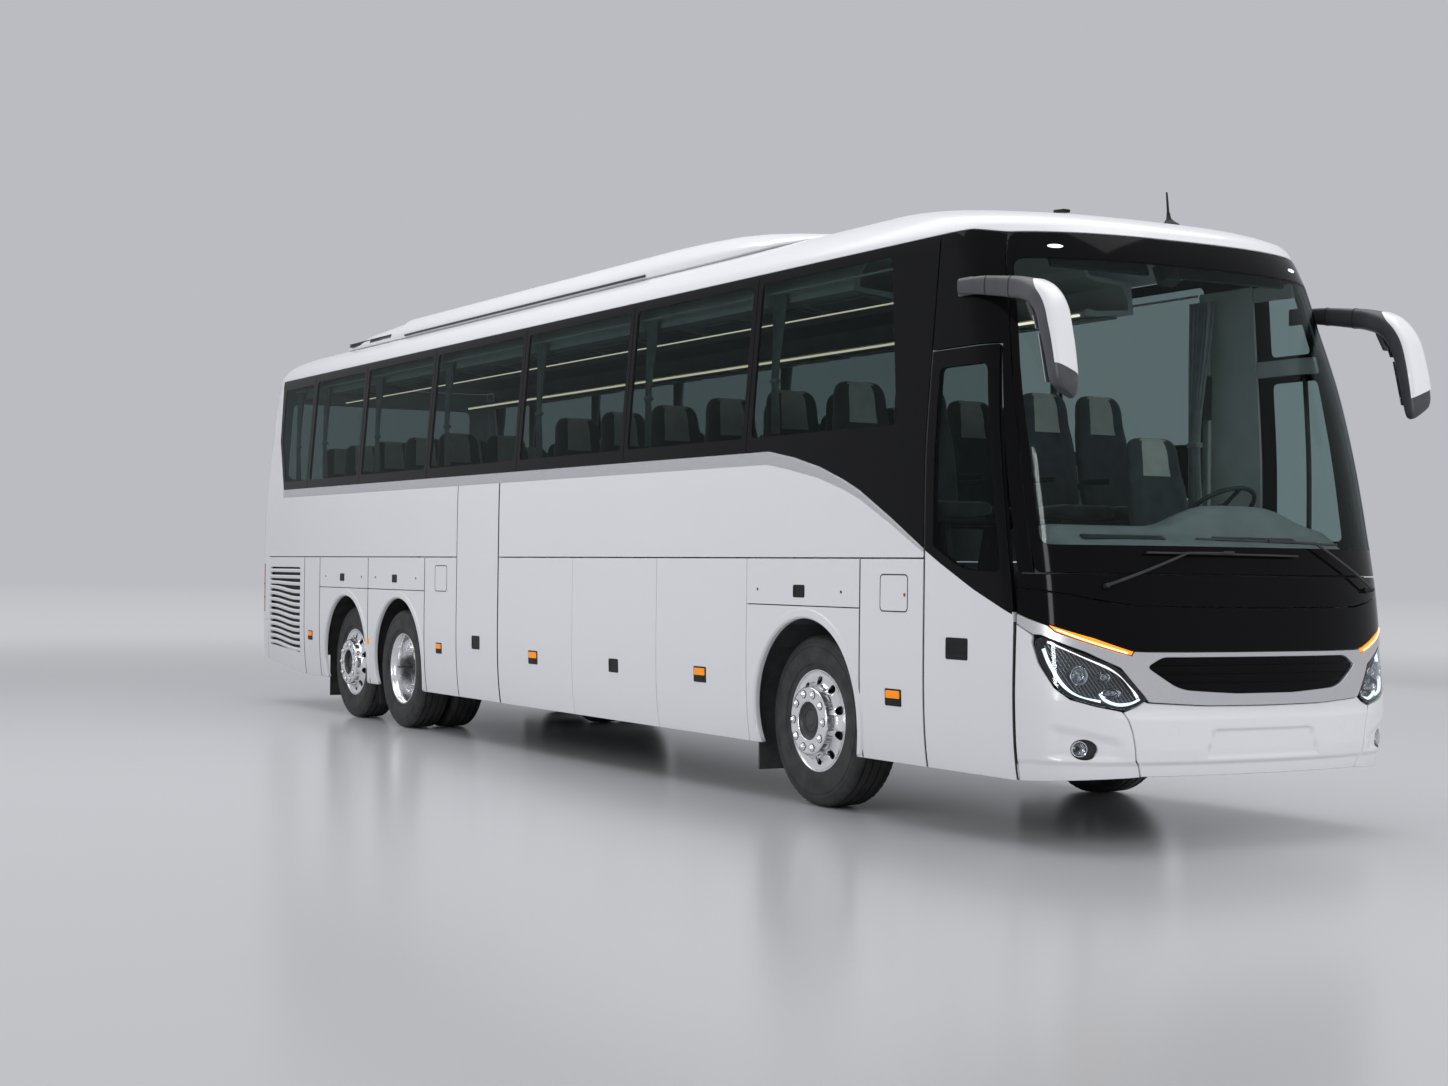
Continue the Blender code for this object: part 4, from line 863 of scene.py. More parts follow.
def silver_strip(name, sign):
    """Strip that follows the band's lower edge over the skin."""
    top = [(-5.985, BAND_Z0 - 0.006)] + [(x, z - 0.007) for x, z in SWOOSH]
    low = [(x, z - 0.012 - 0.065 * min(1.0, (5.50 - x) / 1.5)) for x, z in top]
    one_panel("silver_strip_" + name, SIDE[sign], top[::-1] + low, [SILVER], depth=0.001, bevel=0.0015,
              step=(0.16, 0.03), lift=0.0022, limit=0.12)


def pane_loops():
    """Clear fields of the side band's glasses, from the rear; the first and last are slanted."""
    loops = []
    for k, (x0, x1, z0, z1) in enumerate(PANES):
        corners = [(x0, z0), (x1, z0), (x1, z1), (x0, z1)]
        if k == 0:
            corners = [(-5.955, z0), (x1, z0), (x1, z1), (-6.185, z1), (-6.160, 2.70)]
        loops.append(rounded(corners, 0.045, 6))
    return loops + [rounded([(3.49, 2.27), (5.135, 2.27), (4.960, 3.25), (3.49, 3.25)], 0.045, 6)]


BAND_SPLITS = (-5.250, -3.775, -2.065, -0.165, 1.695, 3.435)


def band_low(x):
    """Lower edge of the window band, which falls a little towards the front."""
    return BAND_Z0 - 0.0175 * (x + 5.99) / 9.71


def band_piece(k):
    """Outline of one glass of the side band, from the rear."""
    x0 = BAND_SPLITS[k - 1] + 0.0025 if k else None
    x1 = BAND_SPLITS[k] - 0.0025 if k < len(BAND_SPLITS) else None
    if x0 is None:
        return [(-5.987, band_low(-5.99)), (x1, band_low(x1)), (x1, BAND_Z1), (-6.289, BAND_Z1),
                (-6.229, 2.70)]
    if x1 is None:
        return [(x0, band_low(x0))] + list(SWOOSH) + [(5.432, BAND_Z1), (x0, BAND_Z1)]
    return [(x0, band_low(x0)), (x1, band_low(x1)), (x1, BAND_Z1), (x0, BAND_Z1)]


def window_band(name, sign):
    """Bonded glasses of a side with black edges, and the rubber behind their joints."""
    shape, joint = Shape(), Shape()
    for k, loop in enumerate(pane_loops()):
        panel(shape, SIDE[sign], band_piece(k), patches=[(loop, 1)], depth=0.008, bevel=0.0015,
              step=(0.18, 0.08))
    piece(shape, "side_windows_" + name, [GLOSS_BLACK, SIDE_GLASS],
          replaces=["side_windows_" + name])
    for x in BAND_SPLITS:
        panel(joint, SIDE[sign], rect(x - 0.030, x + 0.030, 2.20, BAND_Z1 - 0.004, 0.002), depth=0.020,
              bevel=0.001, step=(0.06, 0.08), lift=-0.010)
    piece(joint, "window_joints_" + name, [SEAM_RUBBER])


def screen_side(low, high, gap=0.004):
    return [(screen_x(z) - gap, float(z)) for z in np.linspace(low, high, 12)]


def cab_outline(start):
    """Black side skin of the cab: its own lower corners, then the windscreen's edge up to the roof."""
    return start + screen_side(1.440, 3.281) + [(5.690, BAND_Z1), (5.440, BAND_Z1)]


def door_header():
    """Black skin over and ahead of the entrance door."""
    outline = cab_outline([(5.440, 2.668), (6.0205, 2.668), (6.262, 1.440)])
    one_panel("door_header", RIGHT, outline, [GLOSS_BLACK], slot="gloss_black",
              replaces=["front_pillar_right"], **CAB_EDGE)


def driver_side():
    """Black skin with the driver's windows on the left, and the bar of the sliding one."""
    outline = cab_outline([(5.440, 1.514), (6.198, 1.514), (6.214, 1.440)])
    low_pane = rounded([(5.525, 1.640), (6.085, 1.640), (5.925, 2.600), (5.525, 2.600)], 0.04)
    top_pane = rounded([(5.525, 2.760), (5.890, 2.760), (5.775, 3.140), (5.525, 3.140)], 0.04)
    one_panel("driver_side_panel", LEFT, outline, [GLOSS_BLACK, DOOR_GLASS], slot="gloss_black",
              patches=[(low_pane, 1), (top_pane, 1)], **CAB_EDGE)
    one_panel("driver_window_bar", LEFT, rect(5.800, 5.824, 1.62, 2.62, 0.002), [DARK_PLASTIC],
              slot="dark_plastic", depth=0.020, bevel=0.002, step=(0.02, 0.08), lift=-0.009)


def handle(surf, x, z, name, body, w=0.175, h=0.098):
    """Flush pull: a dark dished surround with a bar across it."""
    shape = Shape()
    hole = about_rect(x, z, w, h, -0.36, 0.36, -0.30, 0.26, 0.010)
    panel(shape, surf, about_rect(x, z, w, h, -0.5, 0.5, -0.5, 0.5, 0.014), holes=[hole], depth=0.014,
          bevel=0.003, lift=0.0030, **FINE)
    panel(shape, surf, about_rect(x, z, w, h, -0.38, 0.38, -0.32, 0.28, 0.010), depth=0.003, bevel=0.001,
          lift=0.0008, **FINE)
    panel(shape, surf, about_rect(x, z, w, h, -0.30, 0.30, -0.02, 0.24, 0.008), depth=0.008, bevel=0.003,
          lift=0.0005, **FINE)
    piece(shape, name, [PULL_BLACK], body)


def marker(surf, x, z, name, body, w=0.165, h=0.098):
    """Side marker: a black frame with an amber lens over a dark pull."""
    shape = Shape()
    panel(shape, surf, about_rect(x, z, w, h, -0.5, 0.5, -0.5, 0.5, 0.010), depth=0.006, bevel=0.003,
          lift=0.0035, **FINE)
    panel(shape, surf, about_rect(x, z, w, h, -0.42, 0.42, -0.05, 0.40, 0.006), depth=0.005, bevel=0.0035,
          step=(0.03, 0.03), lift=0.0085, mat=1, limit=0.02)
    panel(shape, surf, about_rect(x, z, w, h, -0.30, 0.30, -0.38, -0.16, 0.005), depth=0.004, bevel=0.002,
          step=(0.03, 0.03), lift=0.0055, limit=0.02)
    piece(shape, name, [PULL_BLACK, AMBER], body)


def arch_panel(shape, surf, axle, x0, x1, top):
    """Skin round a wheel opening and the soft raised flange along it."""
    outline = [(x0, SKIRT_Z)] + arch_curve(axle, ARCH_R) + [(x1, SKIRT_Z), (x1, top), (x0, top)]
    panel(shape, surf, outline, depth=0.030, limit=0.045, **SKIN)
    outer = arch_curve(axle, ARCH_R + 0.062, 197, -17)
    inner = arch_curve(axle, ARCH_R + 0.002, 201, -21)
    panel(shape, surf, outer + inner[::-1], depth=0.014, bevel=0.012, step=(0.05, 0.05), lift=0.0100,
          limit=0.04)


def small_flap(shape, surf, x0, x1, z0, z1):
    """Little flap set in a skin panel; returns the hole to cut for it."""
    panel(shape, surf, rect(x0, x1, z0, z1, 0.030), depth=0.012, bevel=0.002, step=(0.08, 0.08), limit=0.03)
    return rect(x0 - 0.0035, x1 + 0.0035, z0 - 0.0035, z1 + 0.0035, 0.032)


def flap_seal(name, surf, x0, x1, z0, z1):
    """Thin dark joint round a little flap."""
    inner = rect(x0 + 0.002, x1 - 0.002, z0 + 0.002, z1 - 0.002, 0.028)
    outer = rect(x0 - 0.005, x1 + 0.005, z0 - 0.005, z1 + 0.005, 0.033)
    one_panel(name, surf, outer, [SEAM_RUBBER], slot="dark_plastic", holes=[inner], depth=0.006, bevel=0.001,
              step=(0.08, 0.08), lift=0.0008, limit=0.02)


def circle(r, n, cx=0.0, cz=0.0):
    return [(cx + r * math.cos(a), cz + r * math.sin(a)) for a in angles(n)]


def round_plate(shape, surf, x, z, r, mat=0):
    panel(shape, surf, circle(r, 20, x, z), depth=0.004, bevel=min(0.003, r * 0.3), step=(r, r), lift=0.004,
          mat=mat, limit=0.02)


def seam_strips(name, sign, xs):
    """Rubber in the upright joints between fixed panels of a side."""
    shape = Shape()
    for x in xs:
        panel(shape, SIDE[sign], rect(x - 0.0055, x + 0.0055, SKIRT_Z + 0.004, 1.504), depth=0.010,
              lift=0.0010, **JOINT)
    piece(shape, name, [SEAM_RUBBER])


FRONT_FLAP, REAR_FLAP = (5.008, 5.281, 1.210, 1.415), (-1.802, -1.543, 1.224, 1.436)


def front_side(name, sign):
    """Arch panel, service flap and filler panel at the front wheel."""
    surf, shape = SIDE[sign], Shape()
    arch_panel(shape, surf, "front", 3.484, 4.790, 1.216)
    panel(shape, surf, rect(3.484, 4.790, 1.222, SKIN_TOP, 0.006), **COARSE)
    hole = small_flap(shape, surf, *FRONT_FLAP)
    panel(shape, surf, rect(4.797, 5.432, SKIRT_Z, SKIN_TOP, 0.006), holes=[hole], **SKIN)
    piece(shape, "front_skirt_panels_" + name, [WHITE], replaces=["front_skirt_" + name])
    dots = Shape()
    for x, z, r, mat in ((3.621, 1.314, 0.009, 0), (4.592, 1.310, 0.009, 0), (5.254, 1.304, 0.011, 1)):
        round_plate(dots, surf, x, z, r, mat)
    piece(dots, "flap_locks_" + name, [DARK_PLASTIC, RED_LENS])
    handle(surf, 4.115, 1.308, "service_handle_front_" + name, "coach_body", 0.135, 0.078)
    marker(surf, 5.144, 0.721, "marker_front_" + name, "coach_body")
    seam_strips("front_seams_" + name, sign, (4.7935,))
    flap_seal("front_flap_seal_" + name, surf, *FRONT_FLAP)


SLATS = 13
OUTLET = dict(x0=-6.372, x1=-5.395, z0=0.585, z1=1.406, skew=0.028)


def outlet_outline():
    """Opening of the outlet: its lower edge falls towards the front."""
    g = OUTLET
    low = [(g["x0"], g["z0"] + g["skew"]), (g["x1"], g["z0"] - g["skew"])]
    return rounded(low + [(g["x1"], g["z1"]), (g["x0"], g["z1"])], 0.035)


def slat_height(x, share):
    """Middle of a slat: straight near the top, falling to the front in a soft step further down."""
    g = OUTLET
    fall = 2 * g["skew"] * (1 - 0.35 * share) * smoothstep(0.86, 0.70, share)
    level = g["z0"] + (g["z1"] - g["z0"]) * share
    return level + fall * (0.5 - smoothstep(g["x0"] + 0.10, g["x1"] - 0.12, x))


# section of a slat: share of its half height, depth below the skin
SLAT_RING = ((1, 0.004), (0.2, -0.004), (-1, 0.002), (-1, 0.010), (0.6, 0.026), (1, 0.026))


def outlet(name, sign):
    """Engine outlet: white slats that rise to the rear in a wave, over a dark mesh."""
    surf, shape = SIDE[sign], Shape()
    g = OUTLET
    half = (g["z1"] - g["z0"]) / SLATS * 0.27
    for k in range(SLATS):
        rings = []
        for x in np.linspace(g["x0"] + 0.006, g["x1"] - 0.006, 22):
            z = slat_height(x, (k + 0.44) / SLATS)
            rings.append([surf.at([(x, z + half * share)], depth)[0][0] for share, depth in SLAT_RING])
        merge_loft(shape, rings)
    piece(shape, "outlet_slats_" + name, [WHITE])
    field = rect(g["x0"] - 0.02, g["x1"] + 0.02, g["z0"] - 0.05, g["z1"] + 0.02)
    one_panel("outlet_mesh_" + name, surf, field, [WIRE_MESH], slot="dark_plastic", depth=0.006, bevel=0.001,
              lift=-0.045)


def merge_loft(shape, rings):
    """Add a loft to a shape with its own smooth normals."""
    bm = loft([[Vector(p) for p in ring] for ring in rings])
    bmesh.ops.recalc_face_normals(bm, faces=bm.faces)
    co, no, faces = [], [], []
    for f in bm.faces:
        base = len(co)
        for v in f.verts:
            near = [g.normal for g in v.link_faces if g.normal.dot(f.normal) > 0.75]
            co.append(v.co.copy())
            no.append(sum(near, Vector()).normalized())
        faces.append(tuple(range(base, len(co))))
    bm.free()
    shape.add(co, no, faces, 0)


def rear_side(name, sign):
    """Skin panels from the middle door to the tail, with both rear arches and the outlet."""
    surf, shape = SIDE[sign], Shape()
    hole = small_flap(shape, surf, *REAR_FLAP)
    panel(shape, surf, rect(-2.041, -1.338, SKIRT_Z, SKIN_TOP, 0.006), holes=[hole], **SKIN)
    bays = (("drive", -3.441, -2.049), ("tag", -4.791, -3.449))
    for _, x0, x1 in bays:
        panel(shape, surf, rect(x0, x1, 1.222, SKIN_TOP, 0.006), **COARSE)
    for axle, x0, x1 in bays:
        arch_panel(shape, surf, axle, x0, x1, 1.216)
    panel(shape, surf, rect(-5.254, -4.799, SKIRT_Z, SKIN_TOP, 0.006), **SKIN)
    corner = SKIRT_Z + 0.10 * (-5.30 - REAR_X) / 1.12
    outline = [(REAR_X + GAP, corner), (-5.30, SKIRT_Z), (-5.262, SKIRT_Z), (-5.262, SKIN_TOP),
               (REAR_X + GAP, SKIN_TOP)]
    panel(shape, surf, outline, holes=[outlet_outline()], step=(0.10, 0.07), limit=0.05)
    if sign > 0:
        panel(shape, surf, rect(-1.330, -0.473, SKIRT_Z, SKIN_TOP, 0.006), **SKIN)
    piece(shape, "rear_skirt_panels_" + name, [WHITE], replaces=["rear_skirt_" + name])
    outlet(name, sign)
    rear_fittings(name, sign)


def rear_fittings(name, sign):
    """Pulls, markers, locks and joints of the rear skin."""
    surf, dots = SIDE[sign], Shape()
    for k, x in enumerate((-2.767, -4.150)):
        handle(surf, x, 1.318, "service_handle_rear_%s_%d" % (name, k), "coach_body", 0.120, 0.072)
    for k, (x, z) in enumerate(((-1.708, 0.740), (-5.068, 0.741))):
        marker(surf, x, z, "marker_rear_%s_%d" % (name, k), "coach_body", 0.130, 0.092)
    one_panel("marker_small_" + name, surf, rect(-3.480, -3.410, 0.715, 0.765, 0.006), [AMBER],
              slot="lamp_lens", depth=0.006, bevel=0.003, lift=0.007, limit=0.02, step=(0.03, 0.03))
    for x in (-2.25, -3.25, -3.62, -4.62):
        round_plate(dots, surf, x, 1.325, 0.009)
    piece(dots, "rear_flap_locks_" + name, [DARK_PLASTIC])
    seam_strips("rear_seams_" + name, sign, (-2.045, -3.445, -4.795, -5.258))
    flap_seal("rear_flap_seal_" + name, surf, *REAR_FLAP)


def flaps(name, sign):
    """Skins of the three luggage flaps, each with a marker or a pull."""
    surf = SIDE[sign]
    for k, (front, rear) in enumerate(zip(FLAP_EDGES, FLAP_EDGES[1:]), 1):
        body = "luggage_flap_%s_%d" % (name, k)
        x0 = rear + (SHUT if k == 3 and sign < 0 else SHUT / 2)
        x1 = front - (0 if k == 1 else SHUT / 2)
        one_panel(body + "_skin", surf, rect(x0, x1, SKIRT_Z, SEAM_Z - SHUT / 2, 0.006), [WHITE], body=body,
                  replaces=[body], depth=0.022, step=(0.14, 0.07))
        if k == 2:
            handle(surf, 1.598, 0.742, body + "_pull", body, 0.150, 0.098)
        else:
            marker(surf, {1: 2.874, 3: 0.216}[k], 0.742, body + "_marker", body, 0.168, 0.104)


def mid_door():
    d = MID_DOOR
    one_panel("mid_door_skin", RIGHT, rect(d["rear"], d["front"], SKIRT_Z, d["top"], 0.010), [WHITE],
              body="mid_door", replaces=["mid_door"], depth=0.032, bevel=0.005, step=(0.10, 0.07))
    handle(RIGHT, -0.908, 0.816, "mid_door_pull", "mid_door", 0.165, 0.110)
    hinge_lugs("mid_door_lugs", "mid_door", -0.800, (0.90, 1.80))
    tall = (SKIRT_Z + 0.004, d["top"] - 0.030, 0.002)
    door_seal("mid_door_seal", "mid_door", [rect(d["rear"] + 0.0005, d["rear"] + 0.0105, *tall),
                                            rect(d["front"] - 0.0105, d["front"] - 0.0005, *tall)])


def front_door():
    """Entrance door: white below the sweep, black with a flush pane above it."""
    d, shape = DOOR, Shape()
    corners = [(d["rear"], SKIRT_Z), (d["front_mid"] + 0.005, SKIRT_Z), (d["front_mid"], d["mid_z"]),
               (d["front_top"], d["top"]), (d["rear"], d["top"])]
    outline = rounded(corners, [0.01, 0.01, 0.25, 0.012, 0.012], 8)
    pane = rounded([(5.525, 1.580), (5.525, 2.562), (5.950, 2.562), (6.145, 1.436), (5.790, 1.452),
                    (5.610, 1.540)], [0.03, 0.04, 0.05, 0.06, 0.10, 0.08], 7)
    sweep = [(5.4445, 1.5560), (5.60, 1.480), (5.90, 1.345), (6.2505, 1.2125)]
    black = [(5.30, 1.629)] + sweep + [(6.50, 1.12), (6.50, 2.8), (5.30, 2.8)]
    panel(shape, RIGHT, outline, patches=[(pane, 2)], lines=[sweep], depth=0.030, bevel=0.004,
          step=(0.07, 0.06), limit=0.045)
    repaint(shape, black, 0, 1)
    piece(shape, "front_door_skin", [WHITE, GLOSS_BLACK, DOOR_GLASS], "front_door",
          ["front_door"])
    handle(RIGHT, 5.757, 1.020, "front_door_pull", "front_door", 0.205, 0.120)
    hinge_lugs("front_door_lugs", "front_door", 5.715, (1.02, 1.38))
    low = SKIRT_Z + 0.004
    door_seal("front_door_seal", "front_door",
              [rect(d["rear"] + 0.0005, d["rear"] + 0.0125, low, 2.650, 0.002),
                                                rect(6.2490, 6.2595, low, 1.180, 0.002)])


def door_seal(name, body, outlines):
    """Dark rubber along a door's edges, flush with its skin."""
    shape = Shape()
    for outline in outlines:
        panel(shape, RIGHT, outline, depth=0.012, lift=0.0012, **JOINT)
    piece(shape, name, [SEAM_RUBBER], body)


def hinge_lugs(name, body, x, heights):
    """Lugs behind a door's skin, each with its pin on the tip of a door arm."""
    bm = bmesh.new()
    profile = [(0.0001, -0.055), (0.0100, -0.055), (0.0100, 0.037), (0.0070, 0.040), (0.0001, 0.040)]
    for z in heights:
        merge(bm, soft_box((0.040, 0.126, 0.045), 0.006, 2), Matrix.Translation((x, -1.175, z - 0.0525)))
        merge(bm, turned(profile, 20), Matrix.Translation((x, -1.130, z)))
    piece(bm, name, [STEEL], body, smooth=40)


def repaint(shape, loop, old, new):
    """Give the faces whose middle lies in an (x, z) outline another material."""
    mids = []
    for f in shape.faces:
        pts = np.array([shape.co[i] for i in f])
        mids.append((pts[:, 0].mean(), pts[:, 2].mean()))
    hit = inside(mids, loop)
    shape.mats = [new if h and m == old else m for h, m in zip(hit, shape.mats)]


def left_door_fill():
    """Fixed skin on the left where the right side has its entrance door."""
    shape = Shape()
    outline = [(5.440, SKIRT_Z), (6.258, SKIRT_Z), (6.252, 1.436), (6.209, 1.436), (6.193, SKIN_TOP),
               (5.440, SKIN_TOP)]
    sweep = [(5.558, 1.5015), (5.60, 1.480), (5.90, 1.345), (6.2475, 1.2135)]
    black = [(5.44, 1.557)] + sweep + [(6.50, 1.12), (6.5, 2.0), (5.44, 2.0)]
    panel(shape, LEFT, outline, lines=[sweep], step=(0.07, 0.06), limit=0.045)
    repaint(shape, black, 0, 1)
    piece(shape, "front_left_panel", [WHITE, GLOSS_BLACK])


def sides():
    for name, sign in SIDES:
        for build in (body_wall, silver_strip, window_band, front_side, rear_side, flaps):
            build(name, sign)
    for build in (door_header, driver_side, left_door_fill, mid_door, front_door):
        build()


sides()


# ------------------------------------------------------------------ front
class Bumper(Front):
    """The nose with the bumper's shelf, lower lip, plate field and scoops for the fog lamps."""

    def raw(self, u, v):
        p = super().raw(u, v)
        y, z = p[:, 1], p[:, 2]
        ay = np.abs(y)
        shelf = smoothstep(0.680, 0.735, z) * (1 - smoothstep(0.80, 0.98, ay))
        lip = smoothstep(0.468, 0.446, z)
        width = 0.400 - 0.35 * np.clip(z - 0.49, 0, 0.13)
        plate = smoothstep(0.478, 0.492, z) * smoothstep(0.634, 0.620, z)
        plate = plate * smoothstep(width, width - 0.018, ay)
        slope = 0.25 * (1.12 - ay)
        scoop = smoothstep(0.470, 0.500, z) * smoothstep(0.655 - slope, 0.600 - slope, z)
        scoop = scoop * smoothstep(0.845, 0.93, ay) * smoothstep(1.205, 1.15, ay)
        out = -0.020 * shelf - 0.014 * lip - 0.013 * plate - 0.020 * scoop
        far = np.clip(ay / 1.275, 0, 1) ** 4
        p[:, 0] += out * (1 - 0.5 * far)
        p[:, 1] += np.sign(y) * out * 0.5 * far
        return p


BUMPER = Bumper()
APRON = dict(depth=0.025, bevel=0.0035, step=(0.05, 0.05), limit=0.045)
SEAM_TWO = [(0.0, 1.264), (0.45, 1.265), (0.78, 1.270), (0.86, 1.281), (1.10, 1.327), (1.20, 1.348)]
MASK_LOW = [(0.0, 1.036), (0.55, 1.036), (0.74, 1.037), (0.822, 1.044), (1.00, 1.107), (1.183, 1.173)]


def at_edge(sign, x, z):
    """Point of the nose given by how far forward it is, on one side."""
    return (sign * turn_x(x, z), z)


def half_edge(sign, points, ends, shift=0.0):
    """Edge from the middle outwards: (y, z) points, then (x, z) ends on the flank."""
    path = on_nose([(y, z + shift) for y, z in points], sign)
    return path + [at_edge(sign, x, z + shift) for x, z in ends]


def across(points, ends, shift=0.0):
    """Edge from the right end over the middle to the left end."""
    return half_edge(-1, points, ends, shift)[::-1] + half_edge(1, points, ends, shift)[1:]


def bent_circle(y, z, ry, rz, count):
    """Oval on the nose whose width is given in turn."""
    return [(turn_y(y, z) + ry * math.cos(a), z + rz * math.sin(a)) for a in angles(count)]


def windscreen():
    """Bonded windscreen with its black edge, and the clearance lamps over its top corners."""
    shape, lamps = Shape(), Shape()
    edge = [at_edge(-1, screen_x(z), float(z)) for z in np.linspace(1.440, 3.283, 16)]
    outline = rounded([(-a, z) for a, z in edge] + edge[::-1],
                      [0.05] + [0] * 14 + [0.08, 0.08] + [0] * 14 + [0.05], 6)
    inner = [(-turn_x(screen_x(z), float(z)) + 0.075 - 0.012 * (z - 1.5), float(z))
             for z in np.linspace(1.585, 3.135, 14)]
    glass = rounded([(-a, z) for a, z in inner] + inner[::-1],
                    [0.10] + [0] * 12 + [0.10, 0.10] + [0] * 12 + [0.10], 8)
    panel(shape, NOSE, outline, patches=[(glass, 1)], depth=0.010, bevel=0.003, step=(0.06, 0.06), limit=0.05)
    piece(shape, "windscreen_pane", [GLOSS_BLACK, SCREEN_GLASS], replaces=["windscreen"])
    for sign in (-1, 1):
        loop = [(turn_y(sign * 0.86 + 0.040 * math.cos(a), 3.203), 3.203 + 0.011 * math.sin(a))
                for a in angles(24)]
        panel(lamps, NOSE, loop, depth=0.003, bevel=0.002, step=(0.03, 0.01), lift=0.0025, limit=0.01)
    piece(lamps, "clearance_lamps_front", [LED_WHITE])


def front_mask():
    """Black front panel: strip under the windscreen and the apron below it."""
    shape = Shape()
    seam_end, low_ends = [(6.268, 1.356)], [(6.330, 1.206), (6.268, 1.228)]
    top = [at_edge(1, 6.268, 1.431), at_edge(-1, 6.268, 1.431)]
    holes = [bent_circle(y, z, 0.018, 0.018, 16) for y, z in ((-0.926, 1.372), (0.926, 1.358))]
    panel(shape, NOSE, across(SEAM_TWO, seam_end, 0.003) + top, holes=holes, **APRON)
    outline = across(MASK_LOW, low_ends) + across(SEAM_TWO, seam_end, -0.003)[::-1]
    panel(shape, NOSE, outline, **APRON)
    piece(shape, "front_mask", [GLOSS_BLACK], replaces=["front_panel"])


# corners of the headlamp's outline (y, z) and how far each is rounded
LAMP = ((-1.228, 1.075), (-1.209, 1.108), (-0.880, 0.946), (-0.756, 0.785), (-0.810, 0.753),
        (-0.876, 0.735), (-1.002, 0.757), (-1.113, 0.791), (-1.170, 0.847), (-1.214, 0.969))
LAMP_RADII = [0.015, 0.02, 0.06, 0.02, 0.03, 0.05, 0.06, 0.04, 0.04, 0.05]


def lamp_path(sign, grow=0.0):
    """Headlamp outline as (turn, z), moved outwards from its middle by a distance."""
    cy = sum(y for y, _ in LAMP) / len(LAMP)
    cz = sum(z for _, z in LAMP) / len(LAMP)
    pts = []
    for y, z in LAMP:
        d = math.hypot(y - cy, z - cz)
        pts.append((y + grow * (y - cy) / d, z + grow * (z - cz) / d))
    return wound(on_nose(rounded(pts, LAMP_RADII, 5), -sign))


CORNER = ((1.236, 1.118), (1.232, 1.110), (1.235, 1.075), (1.2205, 0.969), (1.177, 0.845), (1.118, 0.785),
          (1.004, 0.750), (0.885, 0.7275), (0.874, 0.722), (0.850, 0.680), (0.829, 0.620), (0.817, 0.560),
          (0.804, 0.470), (0.780, 0.440), (0.764, 0.386))
CENTRE = ((0.0, 0.748), (0.40, 0.752), (0.735, 0.770), (0.755, 0.7765), (0.808, 0.745), (0.866, 0.7235),
          (0.844, 0.680), (0.823, 0.620), (0.811, 0.560), (0.798, 0.472), (0.774, 0.442), (0.758, 0.388),
          (0.40, 0.388), (0.0, 0.388))
SENSORS = ((-0.60, 0.625, 0.026), (0.60, 0.625, 0.026), (-1.02, 0.672, 0.014), (1.02, 0.672, 0.014))


def corner_bumper(shape, sign):
    """White corner of the bumper round the headlamp, with the fog lamp's hole."""
    door_edge = [at_edge(sign, 6.269, z) for z in np.linspace(0.350, 1.165, 14)]
    under = [at_edge(sign, 6.66, 0.381), at_edge(sign, 6.52, 0.366)]
    fog = [(turn_y(sign * 1.052, 0.53) + 0.094 * math.cos(a), 0.530 + 0.052 * math.sin(a))
           for a in angles(32)]
    panel(shape, BUMPER, door_edge + on_nose(CORNER, sign) + under, holes=[fog], depth=0.030, bevel=0.004,
          step=(0.022, 0.012), limit=0.02)


def bumper():
    """White bumper in three panels, and the fine rings of its sensors and towing-eye covers."""
    shape, rings = Shape(), Shape()
    corner_bumper(shape, -1)
    corner_bumper(shape, 1)
    outline = on_nose(CENTRE, -1) + on_nose(CENTRE)[::-1][1:-1]
    panel(shape, BUMPER, outline, depth=0.030, bevel=0.004, step=(0.020, 0.0085), limit=0.02)
    piece(shape, "front_bumper_skin", [WHITE], replaces=["front_bumper"])
    for y, z, r in SENSORS:
        panel(rings, BUMPER, bent_circle(y, z, r, r, 28), holes=[bent_circle(y, z, r - 0.002, r - 0.002, 28)],
              depth=0.002, bevel=0.0006, step=(0.02, 0.02), lift=0.0008, limit=0.01)
    piece(rings, "bumper_sensor_rings", [WHITE])


FOG_CUP = [(0.036, -0.010), (0.040, -0.012), (0.042, -0.008), (0.042, 0.045), (0.010, 0.055),
           (0.012, 0.042), (0.028, 0.020), (0.034, 0.000)]
FOG_BEZEL = [(0.096, 0.018), (0.098, 0.024), (0.098, 0.062), (0.044, 0.062), (0.042, 0.018)]
FOG_GLASS = [(0.001, -0.007), (0.020, -0.006), (0.035, -0.001), (0.035, 0.002), (0.020, -0.002),
             (0.001, -0.003)]


def aimed(at, forward, side):
    """Matrix of a lamp at a point, whose -Y looks forwards and a little outwards."""
    aim = Vector((forward, side, 0.0)).normalized()
    return Matrix.Translation(at) @ aim.to_track_quat("-Y", "Z").to_matrix().to_4x4()


def fog_lamps():
    body, lens = bmesh.new(), bmesh.new()
    for sign in (-1, 1):
        normal = nose_normal(sign * 1.075, 0.53)
        turn = aimed(nose_point(sign * 1.075, 0.530, -0.028), normal[0], normal[1] * 0.75)
        merge(body, turned(FOG_CUP, 40), turn, 0)
        merge(body, turned(FOG_BEZEL, 48), turn, 1)
        merge(lens, turned(FOG_GLASS, 40), turn, 0)
    piece(body, "fog_lamp_bodies", [CHROME, DARK_PLASTIC])
    piece(lens, "fog_lamp_lenses", [LENS])


